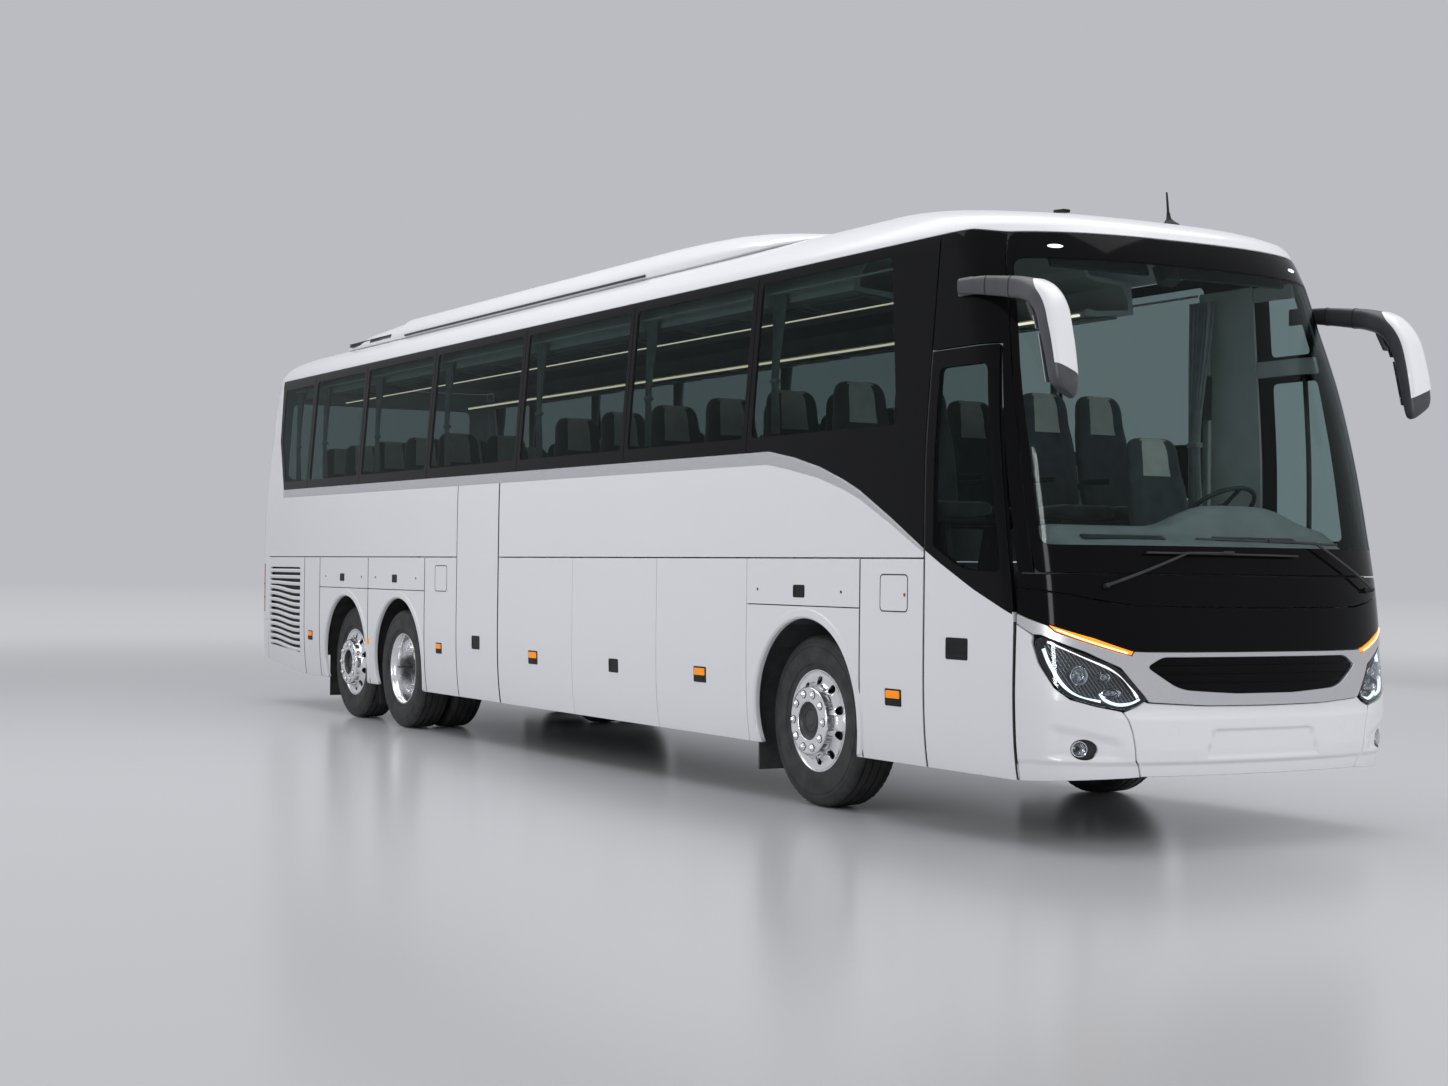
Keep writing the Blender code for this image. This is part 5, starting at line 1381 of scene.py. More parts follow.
GRILLE_OPEN = [(-0.738, 0.956), (-0.645, 1.006), (0.645, 1.006), (0.738, 0.956), (0.590, 0.858),
               (0.520, 0.836), (0.20, 0.816), (-0.20, 0.816), (-0.520, 0.836), (-0.590, 0.858)]
GRILLE_BACK = [(-0.755, 0.962), (-0.65, 1.020), (0.65, 1.020), (0.755, 0.962), (0.60, 0.845), (0.20, 0.803),
               (-0.20, 0.803), (-0.60, 0.845)]
FRAME_TOP = ((0.0, 1.032), (0.55, 1.032), (0.74, 1.033), (0.800, 1.036), (0.815, 1.012), (1.160, 1.133),
             (1.186, 1.166))
FRAME_WING = ((6.330, 1.201), (6.269, 1.223), (6.269, 1.171))
FRAME_LOW = ((1.230, 1.118), (1.207, 1.1155), (1.04, 1.033), (0.876, 0.9525), (0.749, 0.790),
             (0.735, 0.776), (0.40, 0.7565), (0.0, 0.7530))


def frame_half(sign):
    return half_edge(sign, FRAME_TOP, FRAME_WING) + on_nose(FRAME_LOW, sign)


def silver_frame():
    """Satin frame round the grille whose wings run up over both headlamps, and the bars in its opening."""
    outline = frame_half(1) + frame_half(-1)[::-1][1:-1]
    one_panel("silver_frame", NOSE, outline, [SILVER], holes=[on_nose(rounded(GRILLE_OPEN, 0.03, 4))],
              depth=0.022, bevel=0.004, step=(0.04, 0.03), limit=0.035)
    one_panel("grille_field", NOSE, on_nose(GRILLE_BACK), [GLOSS_BLACK], slot="gloss_black", depth=0.006,
              bevel=0.002, step=(0.05, 0.03), lift=-0.020, limit=0.05)
    bars = Shape()
    for z, w in ((0.880, 0.60), (0.925, 0.685), (0.970, 0.70)):
        loop = on_nose([(-w, z - 0.004), (w, z - 0.004), (w, z + 0.004), (-w, z + 0.004)])
        panel(bars, NOSE, loop, depth=0.010, bevel=0.003, step=(0.08, 0.02), lift=-0.008, limit=0.08)
    piece(bars, "grille_bars", [GLOSS_BLACK])


INDICATOR = ((0.806, 1.0365), (0.822, 1.040), (1.00, 1.1035), (1.180, 1.169), (1.160, 1.138), (0.819, 1.0175))
INDICATOR_CORE = ((0.835, 1.0300), (1.150, 1.1475), (1.156, 1.1410), (0.841, 1.0245))


def indicators():
    """Lit strip between the black apron and the silver wing."""
    shape = Shape()
    lit = dict(step=(0.03, 0.01), limit=0.03)
    for sign in (-1, 1):
        panel(shape, NOSE, on_nose(INDICATOR, sign), depth=0.012, bevel=0.003, lift=-0.001, **lit)
        panel(shape, NOSE, on_nose(INDICATOR_CORE, sign), depth=0.002, bevel=0.001, lift=0.0015, mat=1, **lit)
    piece(shape, "front_indicators", [LED_AMBER, LED_AMBER_CORE])


# radius, material and points (y, z) of the lit lines behind a headlamp's cover
LIT_LINES = (
    (0.0075, 1, ((-1.190, 1.082), (-1.05, 1.010), (-0.895, 0.930), (-0.830, 0.862), (-0.795, 0.800))),
    (0.0095, 0, ((-1.205, 1.045), (-1.185, 0.960), (-1.140, 0.855), (-1.080, 0.800), (-0.985, 0.775))),
    (0.0085, 0, ((-0.985, 0.822), (-0.960, 0.785), (-0.900, 0.762), (-0.825, 0.768), (-0.785, 0.790))))
# y, z, radius and flattening of a headlamp's projectors
PROJECTORS = ((-1.076, 0.912, 0.050, 1.0), (-0.931, 0.824, 0.058, 0.42), (-0.955, 0.905, 0.030, 0.8))
PROJECTOR_CUP = ((0.86, -0.002), (0.96, -0.010), (1, -0.008), (1.02, 0.0), (1, 0.040), (0.20, 0.052),
                 (0.20, 0.040), (0.55, 0.026), (0.74, 0.012))


def strip_path(points, sign, depth):
    """Smooth 3-D path at a depth behind the headlamp's cover."""
    flat = catmull([(y, z, 0) for y, z in points], 5)
    return [NOSE.at([(turn_y(-sign * p[0], p[1]), p[1])], depth)[0][0] for p in flat]


def projectors(name, sign):
    """Chromed cups and domed lenses behind a headlamp's cover."""
    eyes, glass = bmesh.new(), bmesh.new()
    for y, z, r, flat in PROJECTORS:
        co, no = NOSE.at([(turn_y(-sign * y, z), z)], 0.030)
        turn = aimed(co[0], 1.0, float(no[0][1]) * 0.35) @ Matrix.Diagonal((1, 1, flat, 1))
        merge(eyes, turned([(r * share, depth) for share, depth in PROJECTOR_CUP], 36), turn)
        dome = [(r * 0.72 * math.sin(a), 0.012 - r * 0.34 * math.cos(a))
                for a in map(math.radians, (1, 20, 40, 60, 80, 90))]
        merge(glass, turned(dome + [(r * 0.5, 0.022), (0.001, 0.024)], 32), turn)
    piece(eyes, "projector_rings_" + name, [CHROME])
    piece(glass, "projector_lenses_" + name, [PROJECTOR])


def headlamp(name, sign):
    """Clear cover, smoked bowl, lit lines and projectors of one headlamp."""
    one_panel("headlamp_cover_" + name, NOSE, lamp_path(sign), [LENS], slot="lamp_lens",
              replaces=["headlamp_" + name], depth=0.005, bevel=0.003, step=(0.04, 0.03), limit=0.03,
              lift=-0.0005)
    bowl = Shape()
    panel(bowl, NOSE, lamp_path(sign, -0.001), holes=[lamp_path(sign, -0.020)], depth=0.070, bevel=0.002,
          step=(0.04, 0.03), limit=0.03, lift=-0.007)
    panel(bowl, NOSE, lamp_path(sign, -0.010), depth=0.006, bevel=0.001, step=(0.05, 0.04), limit=0.04,
          lift=-0.062, mat=1)
    piece(bowl, "headlamp_bowl_" + name, [GLOSS_BLACK, REFLECTOR])
    lights = bmesh.new()
    for radius, mat, points in LIT_LINES:
        merge(lights, tube(strip_path(points, sign, 0.022), radius, 10), None, mat)
    soft = glow("led_soft_" + name, (1.0, 0.93, 0.90), 1.2)
    piece(lights, "daylight_strips_" + name, [LED_WHITE, soft])
    projectors(name, sign)


def front():
    for build in (windscreen, front_mask, bumper, silver_frame, indicators):
        build()
    for name, sign in SIDES:
        headlamp(name, sign)
    fog_lamps()


front()


# ------------------------------------------------------------------ roof
ROOF_TOP, ROOF_DEPTH = 3.6295, 0.016
ROOF_STEPS = (0.0, 0.03, 0.09, 0.16, 0.24, 0.32, 0.40, 0.48, 0.56, 0.64, 0.72, 0.79, 0.85, 0.90, 0.94, 0.97,
              0.99, 1.0)


def roof_low(x):
    """Lower edge of the roof, which drops over the windscreen."""
    return float(np.interp(x, (5.70, 5.87), (3.322, 3.293)))


def bend(key, power):
    """Superellipse shares along and across at a turn."""
    return abs(math.cos(key)) ** (2 / power), squared(math.sin(key), 2 / power)


def roof_plan(z, key, kind):
    """Point of the plan curve at a height: kind says nose, side or tail, key runs along it."""
    half, front, rear = rows_at(z)
    if kind == "nose":
        c, s = bend(key, NOSE_POWER)
        return (X_FRONT + front - NOSE_DEPTH * (1 - c), half * s)
    if kind == "tail":
        c, s = bend(key, TAIL_POWER)
        return (X_REAR + rear + TAIL_DEPTH * (1 - c), half * s)
    share, sign = key
    x0, x1 = X_REAR + rear + TAIL_DEPTH, X_FRONT + front - NOSE_DEPTH
    return (x0 + (x1 - x0) * share, sign * half)


def roof_columns():
    """Stations round the plan from the right of the nose, and how many of them the nose takes."""
    nose = [math.pi / 2 * (k / 22) ** 0.8 for k in range(23)]
    tail = [math.pi / 2 * (k / 12) ** 0.8 for k in range(13)]
    shares = [1 - k / 40 for k in range(1, 40)]
    front = [(-a, "nose") for a in nose[::-1]] + [(a, "nose") for a in nose[1:]]
    back = [(a, "tail") for a in tail[::-1]] + [(-a, "tail") for a in tail[1:]]
    left = [((s, 1), "side") for s in shares]
    right = [((s, -1), "side") for s in shares[::-1]]
    return front + left + back + right, len(front)


def roof_foot(key, kind):
    """Height of the roof's lower edge at a station."""
    z = 3.31
    for _ in range(4):
        z = roof_low(roof_plan(z, key, kind)[0])
    return z


def roof_grid(columns):
    """Outer points of the roof by height and station, and their normals."""
    feet = [roof_foot(key, kind) for key, kind in columns]
    rows = []
    for t in ROOF_STEPS:
        heights = [foot + (ROOF_TOP - foot) * t for foot in feet]
        rows.append([(*roof_plan(z, key, kind), z) for (key, kind), z in zip(columns, heights)])
    outer = np.array(rows)
    normals = np.cross(np.roll(outer, -1, 1) - np.roll(outer, 1, 1), np.gradient(outer, axis=0))
    normals /= np.linalg.norm(normals, axis=2)[..., None] + 1e-12
    normals[-1] = (0, 0, 1)
    return outer, normals


def roof_faces(rows, n, nose):
    """Faces of the outer skin, the rim and the inner skin, with quads that close the crown."""
    faces, rim = [], rows * n
    ins = rim + n
    for i in range(rows - 1):
        for k in range(n):
            a, b = i * n + k, i * n + (k + 1) % n
            faces.append((a, b, b + n, a + n))
            faces.append((ins + b, ins + a, ins + a + n, ins + b + n))
    for k in range(n):
        m = (k + 1) % n
        faces.append((rim + k, rim + m, m, k))
        faces.append((ins + k, ins + m, rim + m, rim + k))
    top, mid = (rows - 1) * n, nose // 2
    for k in range(n // 2):
        turns = ((mid - k) % n, (mid + k) % n, (mid + k + 1) % n, (mid - k - 1) % n)
        loop = list(dict.fromkeys(top + turn for turn in turns))
        if len(loop) > 2:
            faces.append(tuple(loop))
            faces.append(tuple(ins + v for v in loop[::-1]))
    return faces


def roof_skin():
    """Roof shell from the band's top over the crown."""
    columns, nose = roof_columns()
    outer, normals = roof_grid(columns)
    rim = outer[:1].copy()
    rim[..., :2] -= normals[:1, :, :2] * 0.004
    rim[..., 2] -= 0.003
    edge = normals[:1].copy()
    edge[..., 2] = -0.9
    edge /= np.linalg.norm(edge, axis=2)[..., None]
    points = np.concatenate((outer, rim, outer - normals * ROOF_DEPTH)).reshape(-1, 3)
    shape = Shape()
    shape.add(points, np.concatenate((normals, edge, -normals)).reshape(-1, 3),
              roof_faces(len(ROOF_STEPS), len(columns), nose), 0)
    piece(shape, "roof_skin", [WHITE], replaces=["roof"])


# x, half width at the foot, foot z, half width at the top, top z
FAIRING = ((3.700, 0.660, 3.592, 0.520, 3.596), (3.560, 0.780, 3.578, 0.640, 3.612),
           (3.200, 0.920, 3.560, 0.715, 3.658), (2.850, 0.958, 3.548, 0.752, 3.697),
           (2.500, 0.966, 3.542, 0.775, 3.722), (2.050, 0.967, 3.541, 0.790, 3.736),
           (1.600, 0.967, 3.541, 0.798, 3.742), (0.600, 0.967, 3.541, 0.798, 3.742),
           (-1.500, 0.967, 3.541, 0.798, 3.742), (-3.560, 0.967, 3.541, 0.798, 3.742))
FAIRING_REAR = ((-3.585, 0.955, 3.543, 0.790, 3.728), (-4.000, 0.955, 3.543, 0.782, 3.712),
                (-4.560, 0.950, 3.546, 0.770, 3.690), (-4.900, 0.925, 3.554, 0.740, 3.652),
                (-5.120, 0.895, 3.561, 0.705, 3.612), (-5.190, 0.880, 3.565, 0.690, 3.600))
# the shoulder: share of the way in from foot to top, offset outwards, share of the rise
SHOULDER = ((0, -0.006, 0.02), (0, 0.0, 0.14), (0, -0.010, 0.34), (0.18, -0.012, 0.55), (0.50, 0.0, 0.78),
            (0.80, 0.0, 0.92), (1, -0.010, 0.995))
AIR_SLOT = ((1.35, -0.004, 3.556), (1.05, 0.0, 3.559), (-3.05, 0.0, 3.559), (-3.20, -0.004, 3.556))


def fairing_ring(x, foot, z0, top, z1):
    """Half-round shoulders over a waist that is drawn in above the roof."""
    crown = max(0.024 * (z1 - 3.58) / 0.165, 0.0) * 0.94
    side = [(foot - share * (foot - top) + off, z0 + up * (z1 - z0)) for share, off, up in SHOULDER]
    half = side + [(top * c, z1 + crown * (1 - c * c)) for c in (0.88, 0.72, 0.5, 0.25, 0.0)]
    over = [(x, -y, z) for y, z in half] + [(x, y, z) for y, z in half[-2::-1]]
    return over + [(x, y, z0 - 0.004) for y in (foot - 0.03, 0.3, -0.3, -foot + 0.03)]


def between(a, b, count):
    """Evenly spaced rows from a to just before b."""
    return [tuple(p + (q - p) * k / count for p, q in zip(a, b)) for k in range(count)]


def refined(rows, per):
    """The rows with more in between."""
    out = []
    for a, b in zip(rows, rows[1:]):
        out += between(a, b, per)
    return out + [rows[-1]]


def fairing():
    """Air conditioning housing on the roof, with its air slots and the fins of its outlets."""
    bm = loft([fairing_ring(*row) for row in refined(FAIRING, 3)])
    merge(bm, loft([fairing_ring(*row) for row in refined(FAIRING_REAR, 3)]), None, 0)
    piece(bm, "aircon_housing", [WHITE], smooth=42, replaces=["roof_aircon"])
    slots, vent = bmesh.new(), bmesh.new()
    for sign in (-1, 1):
        path = [(x, sign * (0.9695 + w), z) for x, w, z in AIR_SLOT]
        merge(slots, tube(catmull(path, 3), [0.004] + [0.0095] * 8 + [0.004], 8))
    piece(slots, "aircon_slots", [DARK_PLASTIC])
    for sign in (-1, 1):
        for x0, x1, y, up in ((-4.98, -4.40, 0.918, 0.004), (-4.37, -3.80, 0.934, 0.0)):
            for z in (3.578, 3.590, 3.602):
                slab = soft_box((x1 - x0, 0.040, 0.0085), 0.002, 1)
                merge(vent, slab, Matrix.Translation(((x0 + x1) / 2, sign * y, z + up)))
    piece(vent, "aircon_outlet_fins", [DARK_PLASTIC])


def roof_fittings():
    """Aerial, its foot and the small housing ahead of it."""
    foot = ((0.034, 0.078, 3.545), (0.032, 0.073, 3.560), (0.020, 0.046, 3.577), (0.011, 0.020, 3.600),
            (0.008, 0.011, 3.640))
    rings = [[(5.245 - 0.006 * k + d * math.cos(a), 0.655 + w * math.sin(a), z) for a in angles(20)]
             for k, (w, d, z) in enumerate(foot)]
    bm = loft(rings)
    whip = [(5.221, 0.655, 3.630), (5.214, 0.655, 3.70), (5.206, 0.655, 3.764)]
    merge(bm, tube(whip, [0.0080, 0.0070, 0.0055], 10))
    merge(bm, soft_box((0.10, 0.055, 0.022), 0.008, 3), placed((5.03, -0.01, 3.612), 3.5))
    piece(bm, "roof_aerial", [PULL_BLACK])


roof_skin()
fairing()
roof_fittings()


# ------------------------------------------------------------------ wheels
class Disc(Surface):
    """Face of a wheel disc: coordinates are (x, z) about the hub, depth follows a profile of radius."""
    step = 0.0015

    def __init__(self, profile, sign):
        self.r, self.y = np.array(profile).T
        self.sign, self.flip = sign, sign > 0

    def raw(self, u, v):
        return np.stack((u, self.sign * np.interp(np.hypot(u, v), self.r, self.y), v), 1)


# half a tyre's section from the bead to the shoulder's notched rows, then the tread: radius, y
BEAD = ((0.3065, 0.1195), (0.312, 0.1255), (0.322, 0.1290), (0.336, 0.1325), (0.346, 0.1350),
        (0.3490, 0.1412), (0.356, 0.1425), (0.376, 0.1452), (0.402, 0.1465), (0.428, 0.1462),
        (0.446, 0.1440), (0.4475, 0.1408), (0.4525, 0.1404), (0.4545, 0.1440), (0.465, 0.1425),
        (0.478, 0.1395), (0.4805, 0.1366), (0.488, 0.1350), (0.496, 0.1325))
NOTCHED = ((0.5050, 0.1270), (0.5125, 0.1190), (0.5175, 0.1090))
TREAD = ((0.5190, 0.1030), (0.5195, 0.0880), (0.5085, 0.0855), (0.5080, 0.0780), (0.5200, 0.0755),
         (0.5210, 0.0350), (0.5090, 0.0325), (0.5090, 0.0245), (0.5215, 0.0220))
TYRE_HALF = [(r, y, row is NOTCHED) for row in (BEAD, NOTCHED, TREAD) for r, y in row]
RIM_HALF = ((0.2980, 0.1120), (0.3005, 0.1215), (0.3050, 0.1262), (0.3100, 0.1262), (0.3125, 0.1225),
            (0.3095, 0.1180), (0.3030, 0.1150))
RIM_WELL = ((0.2920, -0.095), (0.2880, -0.080), (0.2880, 0.080), (0.2920, 0.095))


def spun(rings):
    """Rings of (radius, y) rows, one pair a station, as points about the Y axis."""
    return [[(r * math.cos(a), y, r * math.sin(a)) for (r, y), a in zip(ring, angles(len(ring)))]
            for ring in rings]


def tyre(centre, sides=192):
    """Tyre with notched shoulders, from one bead round the tread to the other and back inside."""
    rings = []
    for r, y, notched in TYRE_HALF + [(r, -y, notched) for r, y, notched in TYRE_HALF[::-1]]:
        cuts = [0.0034 if notched and k % 3 == 0 else 0.0 for k in range(sides)]
        rings.append([(r - cut, centre + y - math.copysign(cut * 0.8, y)) for cut in cuts])
    rings += [[(0.3040, centre + y)] * sides for y in (-0.112, 0.112)]
    rings = spun(rings)
    return loft(rings + [rings[0]], close_ends=False)


def rim(centre):
    """Polished rim barrel with its flange lips."""
    top = list(RIM_HALF)
    far = [(0.3020, -0.1150)] + [(r, -y) for r, y in RIM_HALF[-2::-1]]
    return turned([(r, centre + y) for r, y in top + far + list(RIM_WELL)], 144)


def nut(height=0.024, r=0.0165):
    """Hexagonal wheel nut with a collar and a domed end, standing along +Y from its seat."""
    rows = []
    for radius, y, hexed in ((0.021, 0.0, 0), (0.021, 0.004, 0), (r, 0.006, 1), (r, height * 0.78, 1),
                             (r * 0.92, height, 1), (r * 0.55, height + 0.002, 0),
                             (r * 0.50, height + 0.009, 0),
                             (0.001, height + 0.011, 0)):
        ring = []
        for a in angles(24):
            shrink = math.cos(math.pi / 6) / math.cos((a % (math.pi / 3)) - math.pi / 6) if hexed else 1.0
            ring.append((radius * 1.08 * shrink * math.cos(a), y, radius * 1.08 * shrink * math.sin(a)))
        rows.append(ring)
    return loft(rows)


def ovals(radius, wide, tall, count=10):
    """Rounded holes standing in a circle, halfway between the spokes."""
    out = []
    for a in angles(count, 0.5):
        ring = []
        for t in angles(28):
            u = radius + wide * squared(math.cos(t), 0.8)
            v = tall * squared(math.sin(t), 0.8)
            ring.append((u * math.cos(a) - v * math.sin(a), u * math.sin(a) + v * math.cos(a)))
        out.append(ring)
    return out


SINGLE_FACE = ((0.100, 0.1930), (0.122, 0.1955), (0.200, 0.1965), (0.2055, 0.1945), (0.2095, 0.1860),
               (0.2130, 0.1500), (0.2180, 0.1370), (0.2300, 0.1240), (0.2420, 0.1165), (0.2560, 0.1120),
               (0.2760, 0.1105), (0.2900, 0.1140), (0.2990, 0.1200), (0.3100, 0.1240))
TWIN_FACE = ((0.100, 0.0300), (0.138, 0.0290), (0.205, 0.0230), (0.218, 0.0290), (0.235, 0.0420),
             (0.250, 0.0500), (0.262, 0.0660), (0.270, 0.0860), (0.2740, 0.1100))
SINGLE_RINGS = ((0.2055, 96), (0.2090, 96), (0.2130, 96), (0.2180, 90), (0.276, 100))
TWIN_RINGS = ((0.205, 90), (0.2625, 100))
HUB_CAP = ((0.001, 0.1800), (0.030, 0.1795), (0.034, 0.1760), (0.062, 0.1745), (0.066, 0.1700),
           (0.090, 0.1650), (0.102, 0.1690), (0.1075, 0.1760), (0.1120, 0.1835), (0.1150, 0.1855),
           (0.1165, 0.1820), (0.1165, 0.1500), (0.001, 0.1500))
OPEN_BORE = ((0.001, 0.1680), (0.034, 0.1680), (0.038, 0.1640), (0.060, 0.1630), (0.066, 0.1550),
             (0.084, 0.1520), (0.104, 0.1540), (0.108, 0.1780), (0.1120, 0.1850), (0.1150, 0.1855),
             (0.1165, 0.1820), (0.1165, 0.1400), (0.001, 0.1400))
SINGLE_DRUM = ((0.120, 0.080), (0.205, 0.078), (0.215, 0.060), (0.215, -0.070), (0.150, -0.075),
               (0.120, -0.070))
TWIN_BOWL = ((0.2725, 0.1050), (0.2745, 0.1600), (0.2790, 0.2300), (0.2860, 0.2550), (0.2960, 0.2680),
             (0.2990, 0.2700), (0.2990, 0.2560), (0.2900, 0.2300), (0.2800, 0.1600), (0.2780, 0.1050))
TWIN_CAP = ((0.001, 0.1620), (0.050, 0.1610), (0.056, 0.1560), (0.094, 0.1520), (0.100, 0.1440),
            (0.108, 0.0700), (0.116, 0.0400), (0.118, 0.0260), (0.118, 0.0050), (0.001, 0.0050))
TWIN_DRUM = ((0.130, -0.030), (0.215, -0.035), (0.220, -0.060), (0.220, -0.270), (0.160, -0.280),
             (0.130, -0.260))
WASHER = ((0.0160, -0.001), (0.0265, -0.001), (0.0265, 0.0012), (0.0240, 0.0020), (0.0160, 0.0020))


def disc(profile, rings, radius, holes, bore, depth):
    """Disc face of a wheel standing along +Y, as a bmesh."""
    shape = Shape()
    extra = [p for r, n in rings for p in circle(r, n)]
    panel(shape, Disc(profile, 1), circle(radius, 120), holes=holes + [circle(bore, 64)], depth=depth,
          bevel=0.0025, step=(0.022, 0.022), extra=extra, limit=0.02)
    ob = shape.build("disc", [ALLOY])
    mesh = ob.data
    bm = bmesh.new()
    bm.from_mesh(mesh)
    bpy.data.objects.remove(ob)
    bpy.data.meshes.remove(mesh)
    return bm


def about(axle, y, sign):
    """Matrix from wheel coordinates, with +Y facing outwards, to the coach."""
    return placed((AXLE_X[axle], sign * y, WHEEL_R), 180.0 if sign < 0 else 0.0, "Z")


def nut_ring(bm, seat, turn, height):
    """Ten wheel nuts on their washers."""
    for a in angles(10):
        spot = turn @ Matrix.Translation((0.1675 * math.cos(a), seat, 0.1675 * math.sin(a)))
        merge(bm, turned(WASHER, 28), spot, 1)
        merge(bm, nut(height), spot @ Matrix.Rotation(-a, 4, "Y"))


def wheel_set(axle, side, sign):
    """All the pieces of one single wheel."""
    stem = axle + "_wheel"
    body, turn = f"{stem}_{side}", about(axle, 1.040, sign)
    rubber, metal, hub = bmesh.new(), bmesh.new(), bmesh.new()
    merge(rubber, tyre(0.0), turn)
    piece(rubber, f"{stem}_tyre_{side}", [TYRE], body, [body], 40)
    merge(metal, rim(0.0), turn, 0)
    holes = ovals(0.2450, 0.0245, 0.0262)
    merge(metal, disc(SINGLE_FACE, SINGLE_RINGS, 0.2985, holes, 0.1155, 0.014), turn, 0)
    nut_ring(metal, 0.1960, turn, 0.011)
    valve = [(0.262, 0.108, 0.0), (0.236, 0.140, 0.0), (0.222, 0.165, 0.0)]
    merge(metal, tube(valve, [0.005, 0.0045, 0.0038], 10), turn, 1)
    piece(metal, f"{stem}_alloy_{side}", [ALLOY, DARK_PLASTIC], body, smooth=38)
    merge(hub, turned(HUB_CAP if axle == "front" else OPEN_BORE, 72), turn, 0)
    merge(hub, turned(SINGLE_DRUM, 64), turn, 1)
    piece(hub, f"{stem}_hub_{side}", [HUB_PAINT, STEEL], body, smooth=38)


def twin_set(side, sign):
    """Outer and inner drive wheels of one side."""
    body, turn = "drive_wheels_" + side, about("drive", 0.925, sign)
    rubber, metal, hub = bmesh.new(), bmesh.new(), bmesh.new()
    for centre in (0.160, -0.160):
        merge(rubber, tyre(centre), turn)
        merge(metal, rim(centre), turn, 0)
    piece(rubber, "drive_tyres_" + side, [TYRE], body, [body], 40)
    merge(metal, disc(TWIN_FACE, TWIN_RINGS, 0.2740, ovals(0.236, 0.0225, 0.0250), 0.1180, 0.016), turn, 0)
    merge(metal, turned(TWIN_BOWL, 144), turn, 0)
    nut_ring(metal, 0.0275, turn, 0.014)
    valve = [(0.262, 0.070, 0.0), (0.255, 0.150, 0.0), (0.262, 0.235, 0.0)]
    merge(metal, tube(valve, [0.005, 0.0045, 0.0042], 10), turn, 1)
    piece(metal, "drive_alloys_" + side, [ALLOY, DARK_PLASTIC], body, smooth=38)
    merge(hub, turned(TWIN_CAP, 64), turn, 1)
    for a in angles(8, 0.5):
        merge(hub, nut(0.008, 0.009),
              turn @ Matrix.Translation((0.075 * math.cos(a), 0.152, 0.075 * math.sin(a))), 1)
    merge(hub, turned(TWIN_DRUM, 64), turn, 1)
    piece(hub, "drive_hub_" + side, [HUB_PAINT, STEEL], body, smooth=38)


def wheels():
    for side, sign in SIDES:
        wheel_set("front", side, sign)
        wheel_set("tag", side, sign)
        twin_set(side, sign)


wheels()


# ------------------------------------------------------------------ mirrors and wipers
# path x, z, half width, depth, lean of the outer face from the front
MIRROR = ((5.715, 2.992, 0.029, 0.047, 90), (5.920, 2.976, 0.030, 0.056, 90),
          (6.150, 2.944, 0.034, 0.062, 88), (6.300, 2.918, 0.055, 0.066, 80),
          (6.440, 2.870, 0.078, 0.070, 56), (6.530, 2.780, 0.083, 0.070, 30),
          (6.575, 2.660, 0.083, 0.068, 14), (6.610, 2.520, 0.083, 0.062, 10),
          (6.635, 2.385, 0.080, 0.056, 8), (6.640, 2.338, 0.072, 0.046, 6), (6.642, 2.322, 0.058, 0.034, 4))
FOOT_OBLIQUE = 0.070
# x, z, height and lean of the main and the upper glass
MIRROR_PANES = ((6.5460, 2.520, 0.262, 14.4), (6.4795, 2.708, 0.078, 21.8))


def mirror_rows(per=5):
    """Eased stations (x, z, half, depth, lean in radians, station number)."""
    path = catmull([(x, z, 0) for x, z, _, _, _ in MIRROR], per)
    form = catmull([(half, depth, math.radians(lean)) for _, _, half, depth, lean in MIRROR], per)
    return [(p[0], p[1], *q, k / per) for k, (p, q) in enumerate(zip(path, form))]


def mirror_y(z, sign):
    return sign * (1.240 + 0.022 * min(max((3.0 - z) / 0.3, 0.0), 1.0))


def mirror_point(row, a, sign, grow=0.0):
    """Point of a section; angle 0 faces forwards or up, outside of the bend."""
    x, z, half, depth, lean, _ = row
    out = (depth + grow) * squared(math.cos(a), 0.62)
    wide = (half + grow) * squared(math.sin(a), 0.62)
    outboard = 0.5 + 0.5 * sign * wide / half
    rise = FOOT_OBLIQUE * outboard * smoothstep(2.78, 2.36, z)
    return (x + out * math.cos(lean), mirror_y(z, sign) + wide, z + out * math.sin(lean) + rise)


def mirror_ring(row, sign, grow, dx=0.0):
    points = [mirror_point(row, a, sign, grow) for a in angles(40)]
    return [(x + dx, y, z) for x, y, z in points]


def mirror_housing(side, sign, rows):
    """Arm and housing in one curved form, with ribs at the arm's joints and its foot on the roof's edge."""
    bm = loft([mirror_ring(row, sign, -0.005) for row in rows])
    for share in (1.15, 2.25):
        row = min(rows, key=lambda r: abs(r[5] - share))
        steps = ((-0.004, -0.008), (-0.004, -0.0028), (0.004, -0.0028), (0.004, -0.008))
        merge(bm, loft([mirror_ring(row, sign, grow, dx) for dx, grow in steps]), None, 1)
    merge(bm, soft_box((0.130, 0.024, 0.100), 0.008, 3), Matrix.Translation((5.740, sign * 1.2195, 2.990)), 0)
    lobe = soft_box((0.034, 0.080, 0.130), 0.014, 3)
    merge(bm, lobe, placed((6.400, mirror_y(2.80, sign), 2.790), -30), 0)
    piece(bm, "mirror_housing_" + side, [GREY_PLASTIC, DARK_PLASTIC],
          replaces=["mirror_" + side], smooth=40)


